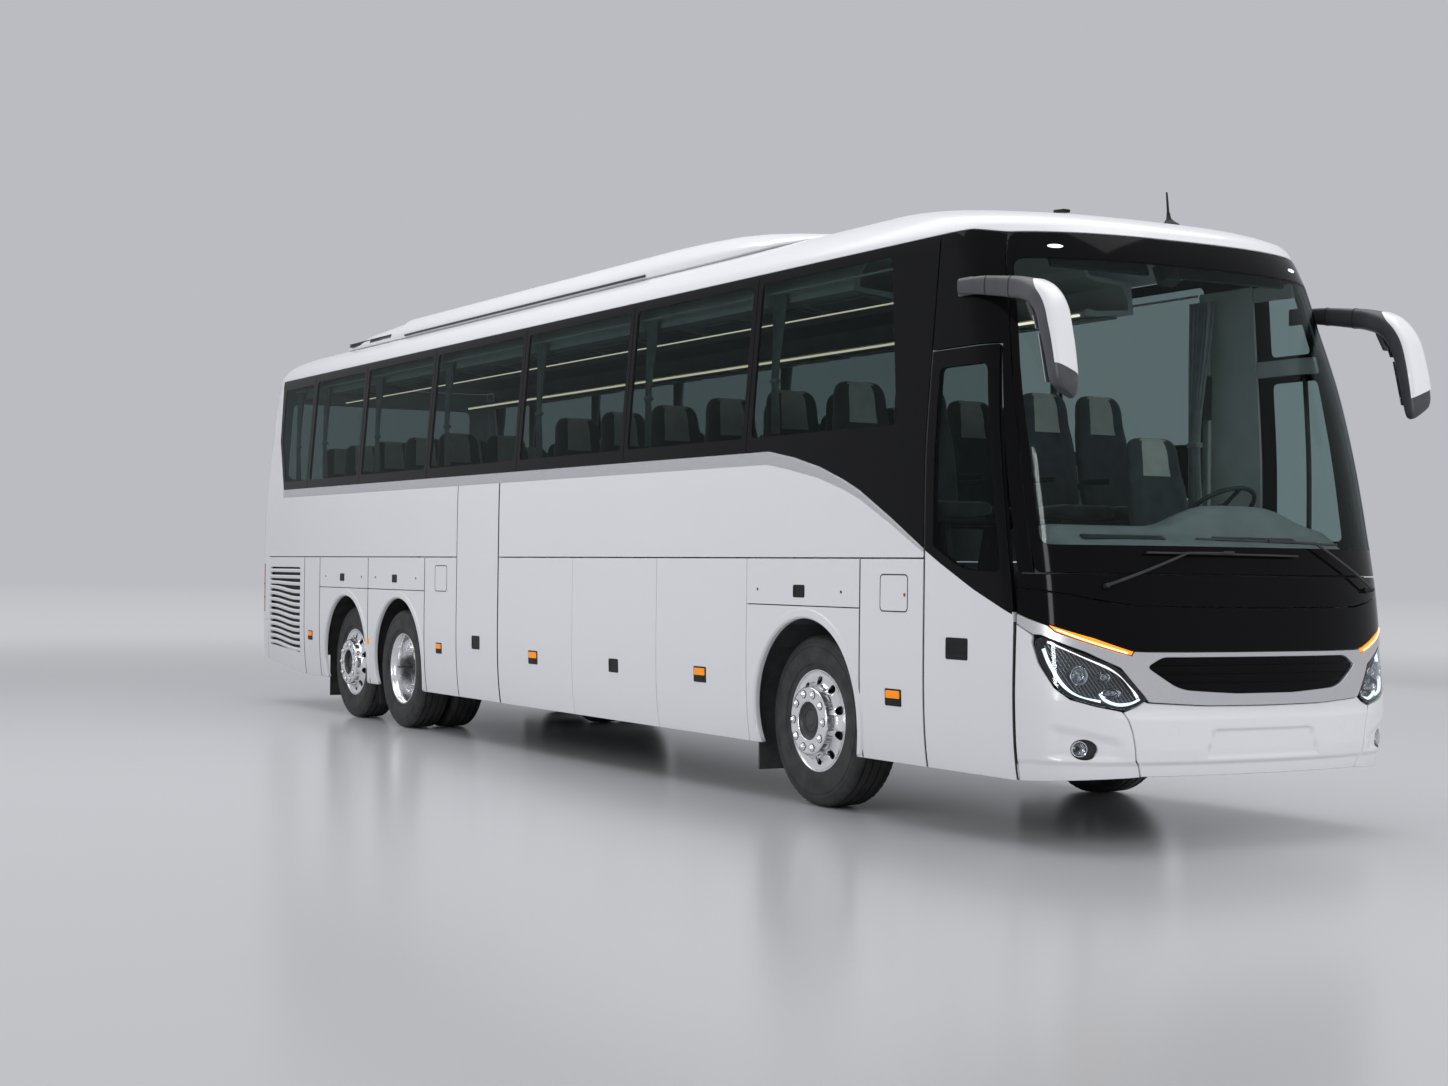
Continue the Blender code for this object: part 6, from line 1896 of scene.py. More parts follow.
def mirror_cap(side, sign, rows):
    """Painted cap over the outer face from the elbow down, narrowing to its upper end."""
    rings, wrap, steps = [], math.radians(64), 26
    for i, row in enumerate([r for r in rows if 3.45 <= r[5] <= 7.70]):
        reach = wrap * min(1.0, (i + 0.4) / 3.0) ** 0.5
        turns = [reach * (2 * k / steps - 1) for k in range(steps + 1)]
        outer = [mirror_point(row, a, sign) for a in turns]
        inner = [mirror_point(row, a, sign, -0.008) for a in turns]
        rings.append(outer + inner[::-1])
    piece(loft(rings), "mirror_cap_" + side, [WHITE], smooth=50)


def mirror(side, sign):
    rows, glass = mirror_rows(), bmesh.new()
    mirror_housing(side, sign, rows)
    mirror_cap(side, sign, rows)
    for x, z, tall, lean in MIRROR_PANES:
        merge(glass, soft_box((0.005, 0.132, tall), 0.0024, 2),
              placed((x, mirror_y(z, sign), z + 0.012), -lean))
    piece(glass, "mirror_glass_" + side, [MIRROR_GLASS])


# spindle, elbow and end of each arm, then both ends of its blade, as (y, z)
WIPERS = (((-0.926, 1.372), (-0.470, 1.540), (-0.200, 1.545), (-0.700, 1.543), (0.300, 1.536)),
          ((0.926, 1.358), (0.440, 1.603), (0.126, 1.612), (-0.390, 1.620), (0.640, 1.602)))


def bar(path, widths, heights):
    """Flat bar along a path on the nose: half widths along the skin, heights off it."""
    rings = []
    pts = [nose_point(y, z, off) for y, z, off in path]
    for i, (p, w, h) in enumerate(zip(pts, widths, heights)):
        ahead = (pts[min(i + 1, len(pts) - 1)] - pts[max(i - 1, 0)]).normalized()
        up = Vector(nose_normal(path[i][0], path[i][1]))
        side = ahead.cross(up).normalized()
        rings.append([p + side * (w * squared(math.cos(a), 0.5)) + up * (h * squared(math.sin(a), 0.5))
                      for a in angles(12, 0.5)])
    return loft(rings)


def even_bar(points, height, width, thick):
    """Bar of one section at a height off the skin."""
    return bar([(y, z, height) for y, z in points], [width] * len(points), [thick] * len(points))


def wiper(bm, spindle, elbow, end, tip_a, tip_b):
    """Arm on its spindle, and the blade with its rubber lip and the clip that holds it."""
    hub = [nose_point(*spindle, off) for off in (0.002, 0.012, 0.030, 0.044, 0.050)]
    merge(bm, tube(hub, [0.0155, 0.0150, 0.0130, 0.0120, 0.007], 20))
    keys = [(*spindle, 0.040), (*elbow, 0.041), (*end, 0.035)]
    path = between(keys[0], keys[1], 6) + between(keys[1], keys[2], 5) + [keys[2]]
    n, steps = len(path), 14
    merge(bm, bar(path, [0.0085 - 0.0035 * k / (n - 1) for k in range(n)], [0.0055] * n), None, 0)
    blade = between(tip_a, tip_b, steps) + [tip_b]
    swell = [0.0042 + 0.002 * math.sin(math.pi * k / steps) for k in range(steps + 1)]
    merge(bm, bar([(y, z, 0.0265) for y, z in blade], [0.0055] * (steps + 1), swell), None, 0)
    merge(bm, even_bar(blade, 0.0150, 0.0028, 0.0090), None, 1)
    clip = [(end[0] - 0.035, end[1]), (end[0] + 0.035, end[1])]
    merge(bm, even_bar(clip, 0.032, 0.010, 0.0075), None, 0)


def wipers():
    bm = bmesh.new()
    for row in WIPERS:
        wiper(bm, *row)
    piece(bm, "wiper_arms", [DARK_PLASTIC, SEAM_RUBBER], replaces=["wipers"])


for side_name, side_sign in SIDES:
    mirror(side_name, side_sign)
wipers()


# ------------------------------------------------------------------ rear
LID_Y, LID_Z0, LID_Z1 = 0.960, 0.960, 2.000


def tail_rect(half, low, high, radius, steps=4, top=None):
    """Rectangle on the tail about its middle; top is another half width for the upper edge."""
    top = half if top is None else top
    loop = [(-half, low), (half, low), (top, high), (-top, high)]
    if radius:
        loop = rounded(loop, radius, steps)
    return [(tail_turn(y, z), z) for y, z in loop]


def tail_edge(x, z, sign=1):
    """Point of the tail given by its x, on one side."""
    return (sign * tail_x(x, z), z)


def lamp_corner(sign, grow=0.0):
    """Tail lamp outline that wraps round the corner, as (turn, z)."""
    high, low, b = 1.440 + grow, 0.940 - grow, 1.110 - grow
    inner = ((1.140 - grow, high), (b, 1.300), (b, 1.000), (1.150 - grow, low))
    pts = [(tail_turn(sign * y, z), z) for y, z in inner]
    end = -6.530 + grow
    return rounded([tail_edge(end, high, sign)] + pts + [tail_edge(end, low, sign)], 0.012, 3)


def rear_wall():
    """Tail skin with the rear window's field, cut for the engine lid and the lamps."""
    zs = [0.862, 1.10, 1.40, 1.80, 2.15, 2.50, 2.85, 3.10, 3.20, 3.28, 3.318]
    edge = REAR_X - GAP
    outline = [tail_edge(edge, z) for z in zs] + [tail_edge(edge, z, -1) for z in zs[::-1]]
    lid = tail_rect(LID_Y + SHUT, LID_Z0 - SHUT, LID_Z1 + SHUT, 0.03)
    glass = tail_rect(1.020, 2.330, 3.120, 0.08, 6, top=1.000)
    one_panel("rear_wall_skin", TAIL, outline, [WHITE, SIDE_GLASS], replaces=["rear_wall", "rear_window"],
              holes=[lid, lamp_corner(1, 0.004), lamp_corner(-1, 0.004)], patches=[(glass, 1)], depth=0.024,
              bevel=0.004, step=(0.10, 0.07), limit=0.05)


def tail_lamps():
    """Red lamps that wrap round the corners, with two dark bars across each."""
    lamps = Shape()
    for sign in (-1, 1):
        panel(lamps, TAIL, lamp_corner(sign), depth=0.030, bevel=0.004, step=(0.05, 0.05), limit=0.03,
              lift=-0.001)
        for z0, z1 in ((1.225, 1.238), (1.085, 1.098)):
            near = [(tail_turn(sign * 1.118, z), z) for z in (z0, z1)]
            loop = [near[0], tail_edge(-6.545, z0, sign), tail_edge(-6.545, z1, sign), near[1]]
            panel(lamps, TAIL, loop, depth=0.003, bevel=0.0012, step=(0.05, 0.05), limit=0.03, lift=0.001,
                  mat=1)
    piece(lamps, "tail_lamp_lenses", [RED_LENS, DARK_PLASTIC],
          replaces=["tail_lamp_right", "tail_lamp_left"])


def engine_lid():
    """Lid skin with its slots, the blank plate field, the grip and the mesh behind the slots."""
    slots = [tail_rect(0.80, z, z + 0.026, 0.010, 3) for z in (1.60, 1.66, 1.72, 1.78, 1.84)]
    one_panel("engine_lid_skin", TAIL, tail_rect(LID_Y, LID_Z0, LID_Z1, 0.026), [WHITE, DARK_PLASTIC],
              body="engine_lid", replaces=["engine_lid"], holes=slots, depth=0.030, bevel=0.004,
              step=(0.10, 0.06), limit=0.05)
    plate = Shape()
    panel(plate, TAIL, tail_rect(0.27, 1.06, 1.20, 0.02, 3), depth=0.006, bevel=0.003, step=(0.06, 0.04),
          lift=0.0005, limit=0.03)
    panel(plate, TAIL, tail_rect(0.10, 1.245, 1.285, 0.014), depth=0.008, bevel=0.004, step=(0.05, 0.03),
          lift=0.001, mat=1, limit=0.02)
    piece(plate, "engine_lid_fittings", [WHITE, DARK_PLASTIC], "engine_lid")
    one_panel("engine_lid_mesh", TAIL, tail_rect(0.83, 1.575, 1.890, 0), [WIRE_MESH], body="engine_lid",
              slot="dark_plastic", depth=0.004, bevel=0.001, step=(0.08, 0.06), lift=-0.033, limit=0.06)


def bumper_low(x):
    """Height of the bumper's lower edge, rising to the rear."""
    return float(np.interp(x, (-7.0, -6.62, REAR_X), (0.62, 0.480, 0.452)))


def bumper_foot(y):
    """Point of the bumper's lower edge on the tail at a side position."""
    z = 0.52
    for _ in range(5):
        x = TAIL.raw(np.array([tail_turn(y, z)]), np.array([z]))[0, 0]
        z = bumper_low(float(x))
    return (tail_turn(y, z), z)


def rear_bumper():
    """Bumper skin round both corners, notched over the tow hitch, with its lamps."""
    shape, lights = Shape(), Shape()
    corner = [tail_edge(x, bumper_low(x)) for x in (REAR_X - GAP - 0.016 * k for k in range(9))]
    bottom = corner + [bumper_foot(y) for y in (1.10, 1.00, 0.80, 0.50, 0.17)]
    half = [tail_edge(REAR_X - GAP, 0.858)] + bottom + [(tail_turn(0.165, 0.562), 0.562)]
    outline = half + [(-a, z) for a, z in half[::-1]]
    middle = [(tail_turn(y, 0.700), 0.700) for y in (-1.1, -0.6, 0, 0.6, 1.1)]
    crease = [tail_edge(-6.50, 0.700, -1)] + middle + [tail_edge(-6.50, 0.700)]
    panel(shape, TAIL, outline, lines=[crease], depth=0.035, bevel=0.005, step=(0.06, 0.04), limit=0.04)
    piece(shape, "rear_bumper_skin", [WHITE], replaces=["rear_bumper"])
    for sign in (-1, 1):
        for y, mat in ((1.02, 0), (0.86, 1)):
            loop = [(tail_turn(sign * y, 0.770) + 0.040 * math.cos(a), 0.770 + 0.024 * math.sin(a))
                    for a in angles(28)]
            panel(lights, TAIL, loop, depth=0.006, bevel=0.003, step=(0.03, 0.02), limit=0.02, mat=mat)
    piece(lights, "rear_fog_and_reflectors", [RED_LENS, LED_WHITE])


rear_wall()
tail_lamps()
engine_lid()
rear_bumper()


# ------------------------------------------------------------------ saloon
FLOOR_Z = 1.420
ROWS_X = [4.30 - 0.80 * k for k in range(12)]
HEADREST = (0.47, 0.985)


def cushion_ring(x, z, lean, w, f, b, centre_y, n, bolster):
    """Section across an upholstered form: crowned in front with raised side bolsters, plain behind."""
    out = Vector((math.cos(lean), 0, math.sin(lean)))
    ring = []
    for a in angles(n):
        c = math.cos(a)
        y = w * squared(math.sin(a), 0.70)
        share = abs(y) / max(w, 1e-6)
        if c > 0:
            raised = bolster * smoothstep(0.42, 0.80, share) / max(c ** 0.15, 0.5)
            seam = 0.006 * math.exp(-((share - 0.56) / 0.045) ** 2) * min(f / 0.05, 1)
            d = f * c ** 0.55 * (1 - bolster + raised) - seam
        else:
            d = -b * abs(c) ** 0.6
        ring.append(Vector((x, centre_y + y, z)) + out * d)
    return ring


def cushioned(rows, centre_y, bolster, cover):
    """Closed upholstered form from rows of (x, z, lean, half width, front, back depth).

    cover is a span of the rows whose middle gets the second material."""
    n, count = 32, len(rows)
    bm = loft([cushion_ring(*row, centre_y, n, bolster) for row in rows])
    if cover:
        bm.faces.ensure_lookup_table()
        for i in range(count - 1):
            along = (i + 0.5) / (count - 1)
            limit = 0.62 - 0.16 * (cover[1] - along) / (cover[1] - cover[0])
            for k, a in enumerate(angles(n, 0.5)):
                middle = cover[0] <= along <= cover[1] and math.cos(a) > 0
                if middle and abs(math.sin(a)) ** 0.70 < limit:
                    bm.faces[i * n + k].material_index = 1
    bmesh.ops.recalc_face_normals(bm, faces=bm.faces)
    return bm


def eased(keys, count):
    """Smoothly resample rows of numbers."""
    keys = np.array(keys, float)
    at = np.linspace(0, len(keys) - 1, count)
    out = []
    for column in keys.T:
        line = [float(p[0]) for p in catmull([(v, 0, 0) for v in column], 12)]
        out.append(np.interp(at, np.linspace(0, len(keys) - 1, len(line)), line))
    return np.stack(out, 1)


# x, z, lean of the front, half width, front, back depth, about the row's own x
BACK_KEYS = ((0.052, 0.420, 0.12, 0.150, 0.020, 0.018), (0.046, 0.450, 0.12, 0.200, 0.050, 0.046),
             (0.026, 0.560, 0.14, 0.208, 0.056, 0.050), (-0.002, 0.720, 0.15, 0.210, 0.054, 0.048),
             (-0.026, 0.850, 0.15, 0.206, 0.048, 0.044), (-0.044, 0.930, 0.15, 0.196, 0.046, 0.042),
             (-0.054, 0.990, 0.15, 0.186, 0.048, 0.040), (-0.062, 1.060, 0.15, 0.184, 0.046, 0.036),
             (-0.072, 1.120, 0.15, 0.172, 0.040, 0.030), (-0.078, 1.160, 0.15, 0.140, 0.026, 0.022),
             (-0.080, 1.172, 0.15, 0.090, 0.012, 0.012))
CUSHION_KEYS = ((0.020, 0.385, 1.52, 0.150, 0.030, 0.026), (0.040, 0.386, 1.54, 0.200, 0.056, 0.052),
                (0.140, 0.390, 1.56, 0.208, 0.054, 0.056), (0.280, 0.398, 1.57, 0.209, 0.052, 0.056),
                (0.380, 0.402, 1.58, 0.207, 0.052, 0.052), (0.425, 0.400, 1.60, 0.198, 0.042, 0.044),
                (0.437, 0.395, 1.62, 0.150, 0.020, 0.022))
DRIVER_KEYS = [(x, z * 0.92 - 0.01, lean, w * 1.06, f, b) for x, z, lean, w, f, b in BACK_KEYS]


def seat_form(keys, x, y, count, cover=None, scale=1.0, bolster=0.30, z0=FLOOR_Z):
    rows = [(x + r[0] * scale, z0 + r[1], r[2], r[3] * scale, max(r[4], 0.01), max(r[5], 0.01))
            for r in eased(keys, count)]
    return cushioned(rows, y, bolster, cover)


def upholstery(bm, name, covered=True, replaces=()):
    """A padded piece in seat cloth, with the headrest cover's cloth as its second material."""
    cloths = [SEAT_CLOTH, COVER_CLOTH] if covered else [SEAT_CLOTH]
    piece(bm, name, cloths, replaces=replaces, smooth=60)


def seat_places():
    """Seat pairs: side, sign, x of the row and the y of both seats; two rows are left out for the door."""
    for side, sign in SIDES:
        for k, x in enumerate(ROWS_X):
            if sign > 0 or k not in (6, 7):
                yield side, sign, x, (sign * 0.4785, sign * 0.9315)


def leg_ring(x, sign, z, x0, x1):
    y = sign * 0.48
    return [(x + x0, y - 0.02, z), (x + x1, y - 0.02, z), (x + x1, y + 0.02, z), (x + x0, y + 0.02, z)]


def seat_frame(bm, sign, x):
    """Armrests, pan, leg and aisle grip of a pair of seats."""
    for y, shift, wide in ((0.262, 0.014, 0.030), (0.705, 0.0, 0.018), (1.142, -0.016, 0.030)):
        arm = soft_box((0.26, wide, 0.040), 0.012, 2)
        merge(bm, arm, Matrix.Translation((x + 0.20, sign * (y + shift), FLOOR_Z + 0.600)))
    pan = soft_box((0.36, 0.84, 0.030), 0.010, 2)
    merge(bm, pan, Matrix.Translation((x + 0.20, sign * 0.705, FLOOR_Z + 0.335)))
    merge(bm, loft([leg_ring(x, sign, FLOOR_Z + 0.016, 0.06, 0.30),
                    leg_ring(x, sign, FLOOR_Z + 0.330, 0.14, 0.24)]))
    grip = [(x - dx, sign * y, FLOOR_Z + z) for dx, y, z in
            ((0.075, 0.275, 0.93), (0.088, 0.262, 0.99), (0.095, 0.275, 1.05))]
    merge(bm, tube(catmull(grip, 5), 0.011, 8))


def seats():
    """Passenger seats on both sides with their frames and rails, and the bench across the rear."""
    backs = {side: bmesh.new() for side, _ in SIDES}
    pads = {side: bmesh.new() for side, _ in SIDES}
    frames, bench_backs, bench_pads = bmesh.new(), bmesh.new(), bmesh.new()
    for side, sign, x, ys in seat_places():
        for y in ys:
            merge(backs[side], seat_form(BACK_KEYS, x, y, 24, HEADREST))
            merge(pads[side], seat_form(CUSHION_KEYS, x, y, 12, bolster=0.18))
        seat_frame(frames, sign, x)
    for sign in (-1, 1):
        rail = soft_box((9.95, 0.040, 0.018), 0.003, 1)
        merge(frames, rail, Matrix.Translation((-0.225, sign * 0.48, FLOOR_Z + 0.011)))
    for side in backs:
        upholstery(backs[side], "seat_backs_" + side,
                   replaces=["passenger_seats"] if side == "right" else [])
        upholstery(pads[side], "seat_cushions_" + side, False)
    piece(frames, "seat_frames", [DARK_PLASTIC], smooth=40)
    for y in (-0.90, -0.45, 0.0, 0.45, 0.90):
        merge(bench_backs, seat_form(BACK_KEYS, -5.215, y, 24, HEADREST, 0.98))
        merge(bench_pads, seat_form(CUSHION_KEYS, -5.230, y, 12, bolster=0.18))
    upholstery(bench_backs, "rear_bench_backs")
    upholstery(bench_pads, "rear_bench_cushions", False)


def driver_seat():
    foot = ((0.11, 0.12, 1.045), (0.11, 0.12, 1.10), (0.07, 0.08, 1.14), (0.08, 0.10, 1.26),
            (0.16, 0.19, 1.33), (0.18, 0.21, 1.375))
    base = loft([[(5.42 + w * squared(math.cos(a), 0.5), 0.60 + d * squared(math.sin(a), 0.5), z)
                  for a in angles(28)] for w, d, z in foot])
    upholstery(seat_form(DRIVER_KEYS, 5.215, 0.600, 24, HEADREST, z0=1.195), "driver_seat_back",
               replaces=["driver_seat"])
    cushion = seat_form(CUSHION_KEYS, 5.190, 0.600, 12, bolster=0.22, z0=1.055)
    upholstery(cushion, "driver_seat_cushion", False)
    piece(base, "driver_seat_base", [DARK_PLASTIC], smooth=40)


def dash_height(y):
    """Rise of the dashboard's hump in front of the driver, which the shelf carries on both sides."""
    return 0.130 * math.exp(-((y - 0.36) / 0.46) ** 4)


def dash_ring(y):
    """Section of the dashboard along the coach: a shelf that rises from the glass, and a cowl on it."""
    nose = min(nose_point(y, 1.50, -0.090).x, 6.56)
    back = min(nose - 0.10, 6.24)
    hump = dash_height(y)
    drop = 0.060 * (max(0.0, abs(y) - 0.94) / 0.12) ** 2
    ring = [(6.02, 1.400), (nose - 0.03, 1.400), (nose, 1.440), (nose - 0.02, 1.530 - drop),
            (back, 1.655 - drop),
            (back - 0.05, 1.690 + hump * 0.70 - drop), (back - 0.12, 1.700 + hump - drop),
            (6.045, 1.690 + hump * 0.92 - drop), (6.010, 1.640 + hump * 0.6 - drop), (6.005, 1.440)]
    return [(x, y, z) for x, z in rounded(ring, 0.020, 3)]


def dashboard():
    """Moulded dashboard across the whole front with its foot, vents and the dials' panel."""
    low = [(6.03, 1.045), (6.25, 1.045), (6.29, 1.36), (6.28, 1.398), (6.00, 1.398), (5.985, 1.36),
           (6.00, 1.20)]
    body, extra = loft([dash_ring(float(y)) for y in np.linspace(-1.06, 1.06, 61)]), bmesh.new()
    merge(body, loft([[(x, y, z) for x, z in rounded(low, 0.015, 3)] for y in (-0.40, 1.00)]))
    piece(body, "dashboard_moulding", [DASH], replaces=["dashboard"], smooth=50)
    for y0, y1 in ((-0.86, -0.30), (0.06, 0.66)):
        vent = soft_box((0.046, y1 - y0, 0.012), 0.004, 2)
        merge(extra, vent, placed((6.300, (y0 + y1) / 2, 1.632), 24), 0)
    merge(extra, soft_box((0.020, 0.440, 0.150), 0.008, 2), placed((6.004, 0.600, 1.700), -8), 0)
    piece(extra, "dashboard_vents_and_dials", [DARK_PLASTIC], smooth=40)


def steering_wheel():
    """Wheel with three spokes on its column, facing the driver."""
    wheel = bmesh.new()
    turn = placed((5.755, 0.60, 1.815), -35) @ Matrix.Rotation(math.radians(90), 4, "X")
    merge(wheel, turned([(0.215 + 0.0135 * math.cos(a), 0.0135 * math.sin(a)) for a in angles(14)], 72), turn)
    hub = [(0.001, 0.018), (0.035, 0.017), (0.055, 0.008), (0.060, -0.006), (0.050, -0.018), (0.001, -0.020)]
    merge(wheel, turned(hub, 40), turn)
    for lean in (0, 180, 270):
        arm = soft_box((0.165, 0.012, 0.030), 0.005, 2)
        merge(wheel, arm, turn @ placed((0, 0, 0), -lean) @ Matrix.Translation((0.130, 0.0, 0.0)))
    merge(wheel, tube([(0, -0.015, 0), (0, -0.12, 0), (0, -0.330, 0)], [0.030, 0.030, 0.040], 20), turn)
    piece(wheel, "steering_wheel_rim", [DARK_PLASTIC], replaces=["steering_wheel"], smooth=40)


# half of the ceiling's and racks' section: the outer face from the middle, then back underneath
LINER = [(0.0, 3.500), (0.40, 3.495), (0.58, 3.440), (0.66, 3.400), (0.690, 3.345), (0.76, 3.322),
         (0.98, 3.310), (1.035, 3.22), (1.040, 3.150), (0.78, 3.130), (0.712, 3.140), (0.690, 3.135),
         (0.660, 3.112), (0.700, 3.094), (0.80, 3.096), (1.085, 3.125), (1.060, 3.33), (0.72, 3.358),
         (0.68, 3.412), (0.41, 3.510), (0.0, 3.515)]
PANE_SPANS = ((-6.02, -5.30), (-5.20, -3.83), (-3.72, -2.12), (-2.01, -0.22), (-0.11, 1.64), (1.75, 3.38),
              (3.50, 4.95))


def racks():
    """Ceiling liner and overhead racks, with light lines and the service strip under each rack."""
    ring = LINER + [(-y, z) for y, z in LINER[1:-1][::-1]]
    bm = loft([[(float(x), y, z) for y, z in ring] for x in np.linspace(-5.90, 4.40, 14)])
    piece(bm, "ceiling_and_racks", [TRIM], replaces=["luggage_racks"], smooth=30)
    lines, strips, rails = bmesh.new(), bmesh.new(), bmesh.new()
    for sign in (-1, 1):
        path = [(x, sign * 0.676, 3.097) for x in np.linspace(-5.80, 4.35, 12)]
        merge(lines, tube(path, 0.0075, 8))
        for k in range(12):
            box = soft_box((0.62, 0.20, 0.016), 0.005, 2)
            where = Matrix.Translation((4.05 - 0.80 * k, sign * 0.885, 3.092))
            merge(strips, box, where @ Matrix.Rotation(sign * 0.10, 4, "X"))
        for x0, x1 in PANE_SPANS:
            merge(rails, tube([(x0, sign * 1.136, 3.190), (x1, sign * 1.136, 3.190)], 0.008, 8))
    piece(lines, "rack_light_lines", [LED_WARM])
    piece(strips, "reading_light_panels", [DASH])
    piece(rails, "curtain_rails", [TRIM])


FOLDS, TIE_AT = 6, 0.62


def curtain_rows(x0, y, top, low, widths, sign, shift):
    """Points of one layer of a gathered curtain, from its rail to its foot."""
    wide, tie, foot = widths
    rows = []
    for t in (j / 22 for j in range(23)):
        over = wide + (tie - wide) * smoothstep(0.0, TIE_AT, t)
        under = tie + (foot - tie) * smoothstep(TIE_AT, 1.0, t)
        w = over if t < TIE_AT else under
        depth = 0.022 * (0.55 + 0.45 * (w / wide))
        row = []
        for s in (i / (FOLDS * 8) for i in range(FOLDS * 8 + 1)):
            fold = math.sin(2 * math.pi * FOLDS * s + 0.5 * math.sin(3 * t)) + 0.18 * math.sin(9 * s + 5 * t)
            row.append(Vector((x0 + w * s, y + sign * (depth * fold * 0.8 + shift), top + (low - top) * t)))
        rows.append(row)
    return rows


def border(rows):
    """A grid's points once round its edge."""
    right = [r[-1] for r in rows[1:]]
    left = [r[0] for r in rows[-2:0:-1]]
    return rows[0] + right + rows[-1][-2::-1] + left


def curtain(name, x0, y, top, low, widths, sign):
    """Gathered window curtain, tied near its middle: two layers with a rim between them."""
    layers = [curtain_rows(x0, y, top, low, widths, sign, shift) for shift in (0.0, 0.0022)]
    bm = bmesh.new()
    front, back = [[[bm.verts.new(p) for p in row] for row in rows] for rows in layers]
    for rows in (front, back):
        for a, b in zip(rows, rows[1:]):
            for k in range(len(a) - 1):
                bm.faces.new((a[k], a[k + 1], b[k + 1], b[k]))
    near, far = border(front), border(back)
    for k in range(len(near)):
        m = (k + 1) % len(near)
        bm.faces.new((near[k], near[m], far[m], far[k]))
    ob = piece(bm, name, [CURTAIN], smooth=60)


def curtains():
    """Curtains at every side window and behind the driver, with their ties."""
    ties = bmesh.new()
    for side, sign in SIDES:
        for k, (x0, _) in enumerate(PANE_SPANS):
            curtain(f"curtain_{side}_{k}", x0 + 0.015, sign * 1.118, 3.180, 2.300,
                    (0.150, 0.062, 0.085), -sign)
            band = soft_box((0.074, 0.052, 0.030), 0.012, 2)
            merge(ties, band, Matrix.Translation((x0 + 0.046, sign * 1.118, 3.180 - 0.88 * TIE_AT)))
    curtain("curtain_driver", 4.990, 1.050, 3.130, 1.700, (0.200, 0.085, 0.120), -1)
    band = soft_box((0.098, 0.056, 0.034), 0.012, 2)
    merge(ties, band, Matrix.Translation((5.035, 1.050, 3.130 - 1.43 * TIE_AT)))
    piece(ties, "curtain_ties", [CURTAIN])


# size, place and lean in degrees of the cab's box-shaped mouldings
LIGHT_BOXES = (((0.060, 0.030, 1.560), (5.020, 1.165, 2.300), 0),
               ((0.260, 1.900, 0.050), (5.330, 0.0, 3.395), 0),
               ((0.160, 0.700, 0.060), (5.560, 0.420, 3.330), 8),
               ((0.160, 0.560, 0.050), (5.560, -0.450, 3.335), 8),
               ((0.200, 1.500, 0.040), (5.720, 0.0, 3.290), 20))
DARK_BOXES = (((0.024, 0.820, 0.075), (5.905, 0.520, 3.150), -24),
              ((0.024, 0.700, 0.075), (5.905, -0.440, 3.150), -24),
              ((0.080, 0.120, 0.120), (6.000, -0.030, 3.120), -24),
              ((0.050, 0.060, 0.780), (5.010, 1.090, 2.420), 0),
              ((0.030, 0.070, 0.280), (5.070, 1.110, 2.540), 0))
WINDOW_TRIM = ((5.46, 6.02, 2.640, 2.740), (5.46, 5.86, 3.100, 3.190), (4.985, 5.455, 1.600, 3.200))


def cab_trim():
    """Light mouldings round the driver's window, the header console, its visors and the camera's housing."""
    light, dark, shape = bmesh.new(), bmesh.new(), Shape()
    for size, where, lean in LIGHT_BOXES:
        merge(light, soft_box(size, 0.012, 3), placed(where, lean))
    for size, where, lean in DARK_BOXES:
        merge(dark, soft_box(size, 0.010, 2), placed(where, lean))
    for edges in WINDOW_TRIM:
        panel(shape, LEFT, rect(*edges, 0.02), depth=0.018, bevel=0.006, step=(0.08, 0.05), lift=-0.048,
              limit=0.03)
    piece(shape, "driver_window_trim", [TRIM])
    merge(dark, tube([(5.895, -0.80, 3.190), (5.895, 0.94, 3.190)], 0.007, 8))
    piece(light, "cab_light_trim", [TRIM], smooth=40)
    piece(dark, "cab_dark_trim", [DARK_PLASTIC], smooth=40)


for build_piece in (seats, driver_seat, dashboard, steering_wheel, racks, curtains, cab_trim):
    build_piece()


# ------------------------------------------------------------------ CAD pieces that stay as they are
KEPT = {"underframe": UNDER, "luggage_bay": UNDER, "saloon_floor": CARPET, "entrance_stairwell": CARPET,
        "middle_stairwell": CARPET, "driver_platform": CARPET, "rear_wheel_boxes": UNDER, "engine": STEEL,
        "front_axle": STEEL, "drive_axle": STEEL, "tag_axle": STEEL, "tow_hitch": STEEL,
        "front_knuckle_right": STEEL, "front_knuckle_left": STEEL, "front_door_arms": STEEL,
        "mid_door_arms": STEEL}

for node, finish in KEPT.items():
    for spot in frame["nodes"][node].material_slots:
        spot.material = finish


# ------------------------------------------------------------------ stage, lights and camera
BACKDROP = (0.495, 0.503, 0.533)
FLOOR_GLOW = (0.575, 0.582, 0.607)
FLOOR_RINGS = (4, 8, 12, 18, 26, 38, 60, 100, 180, 400)


def joined(nodes, links, kind, *sources):
    """A new node whose first inputs take the given outputs."""
    node = nodes.new(kind)
    for source, socket in zip(sources, node.inputs):
        links.new(source, socket)
    return node


def seen_rays(nodes, links):
    """1 for the rays that look at the backdrop, 0 for those that light by it."""
    path = nodes.new("ShaderNodeLightPath")
    total = path.outputs["Is Camera Ray"]
    for other in ("Is Glossy Ray", "Is Transmission Ray"):
        add = joined(nodes, links, "ShaderNodeMath", total, path.outputs[other])
        add.operation = "MAXIMUM"
        total = add.outputs["Value"]
    return total


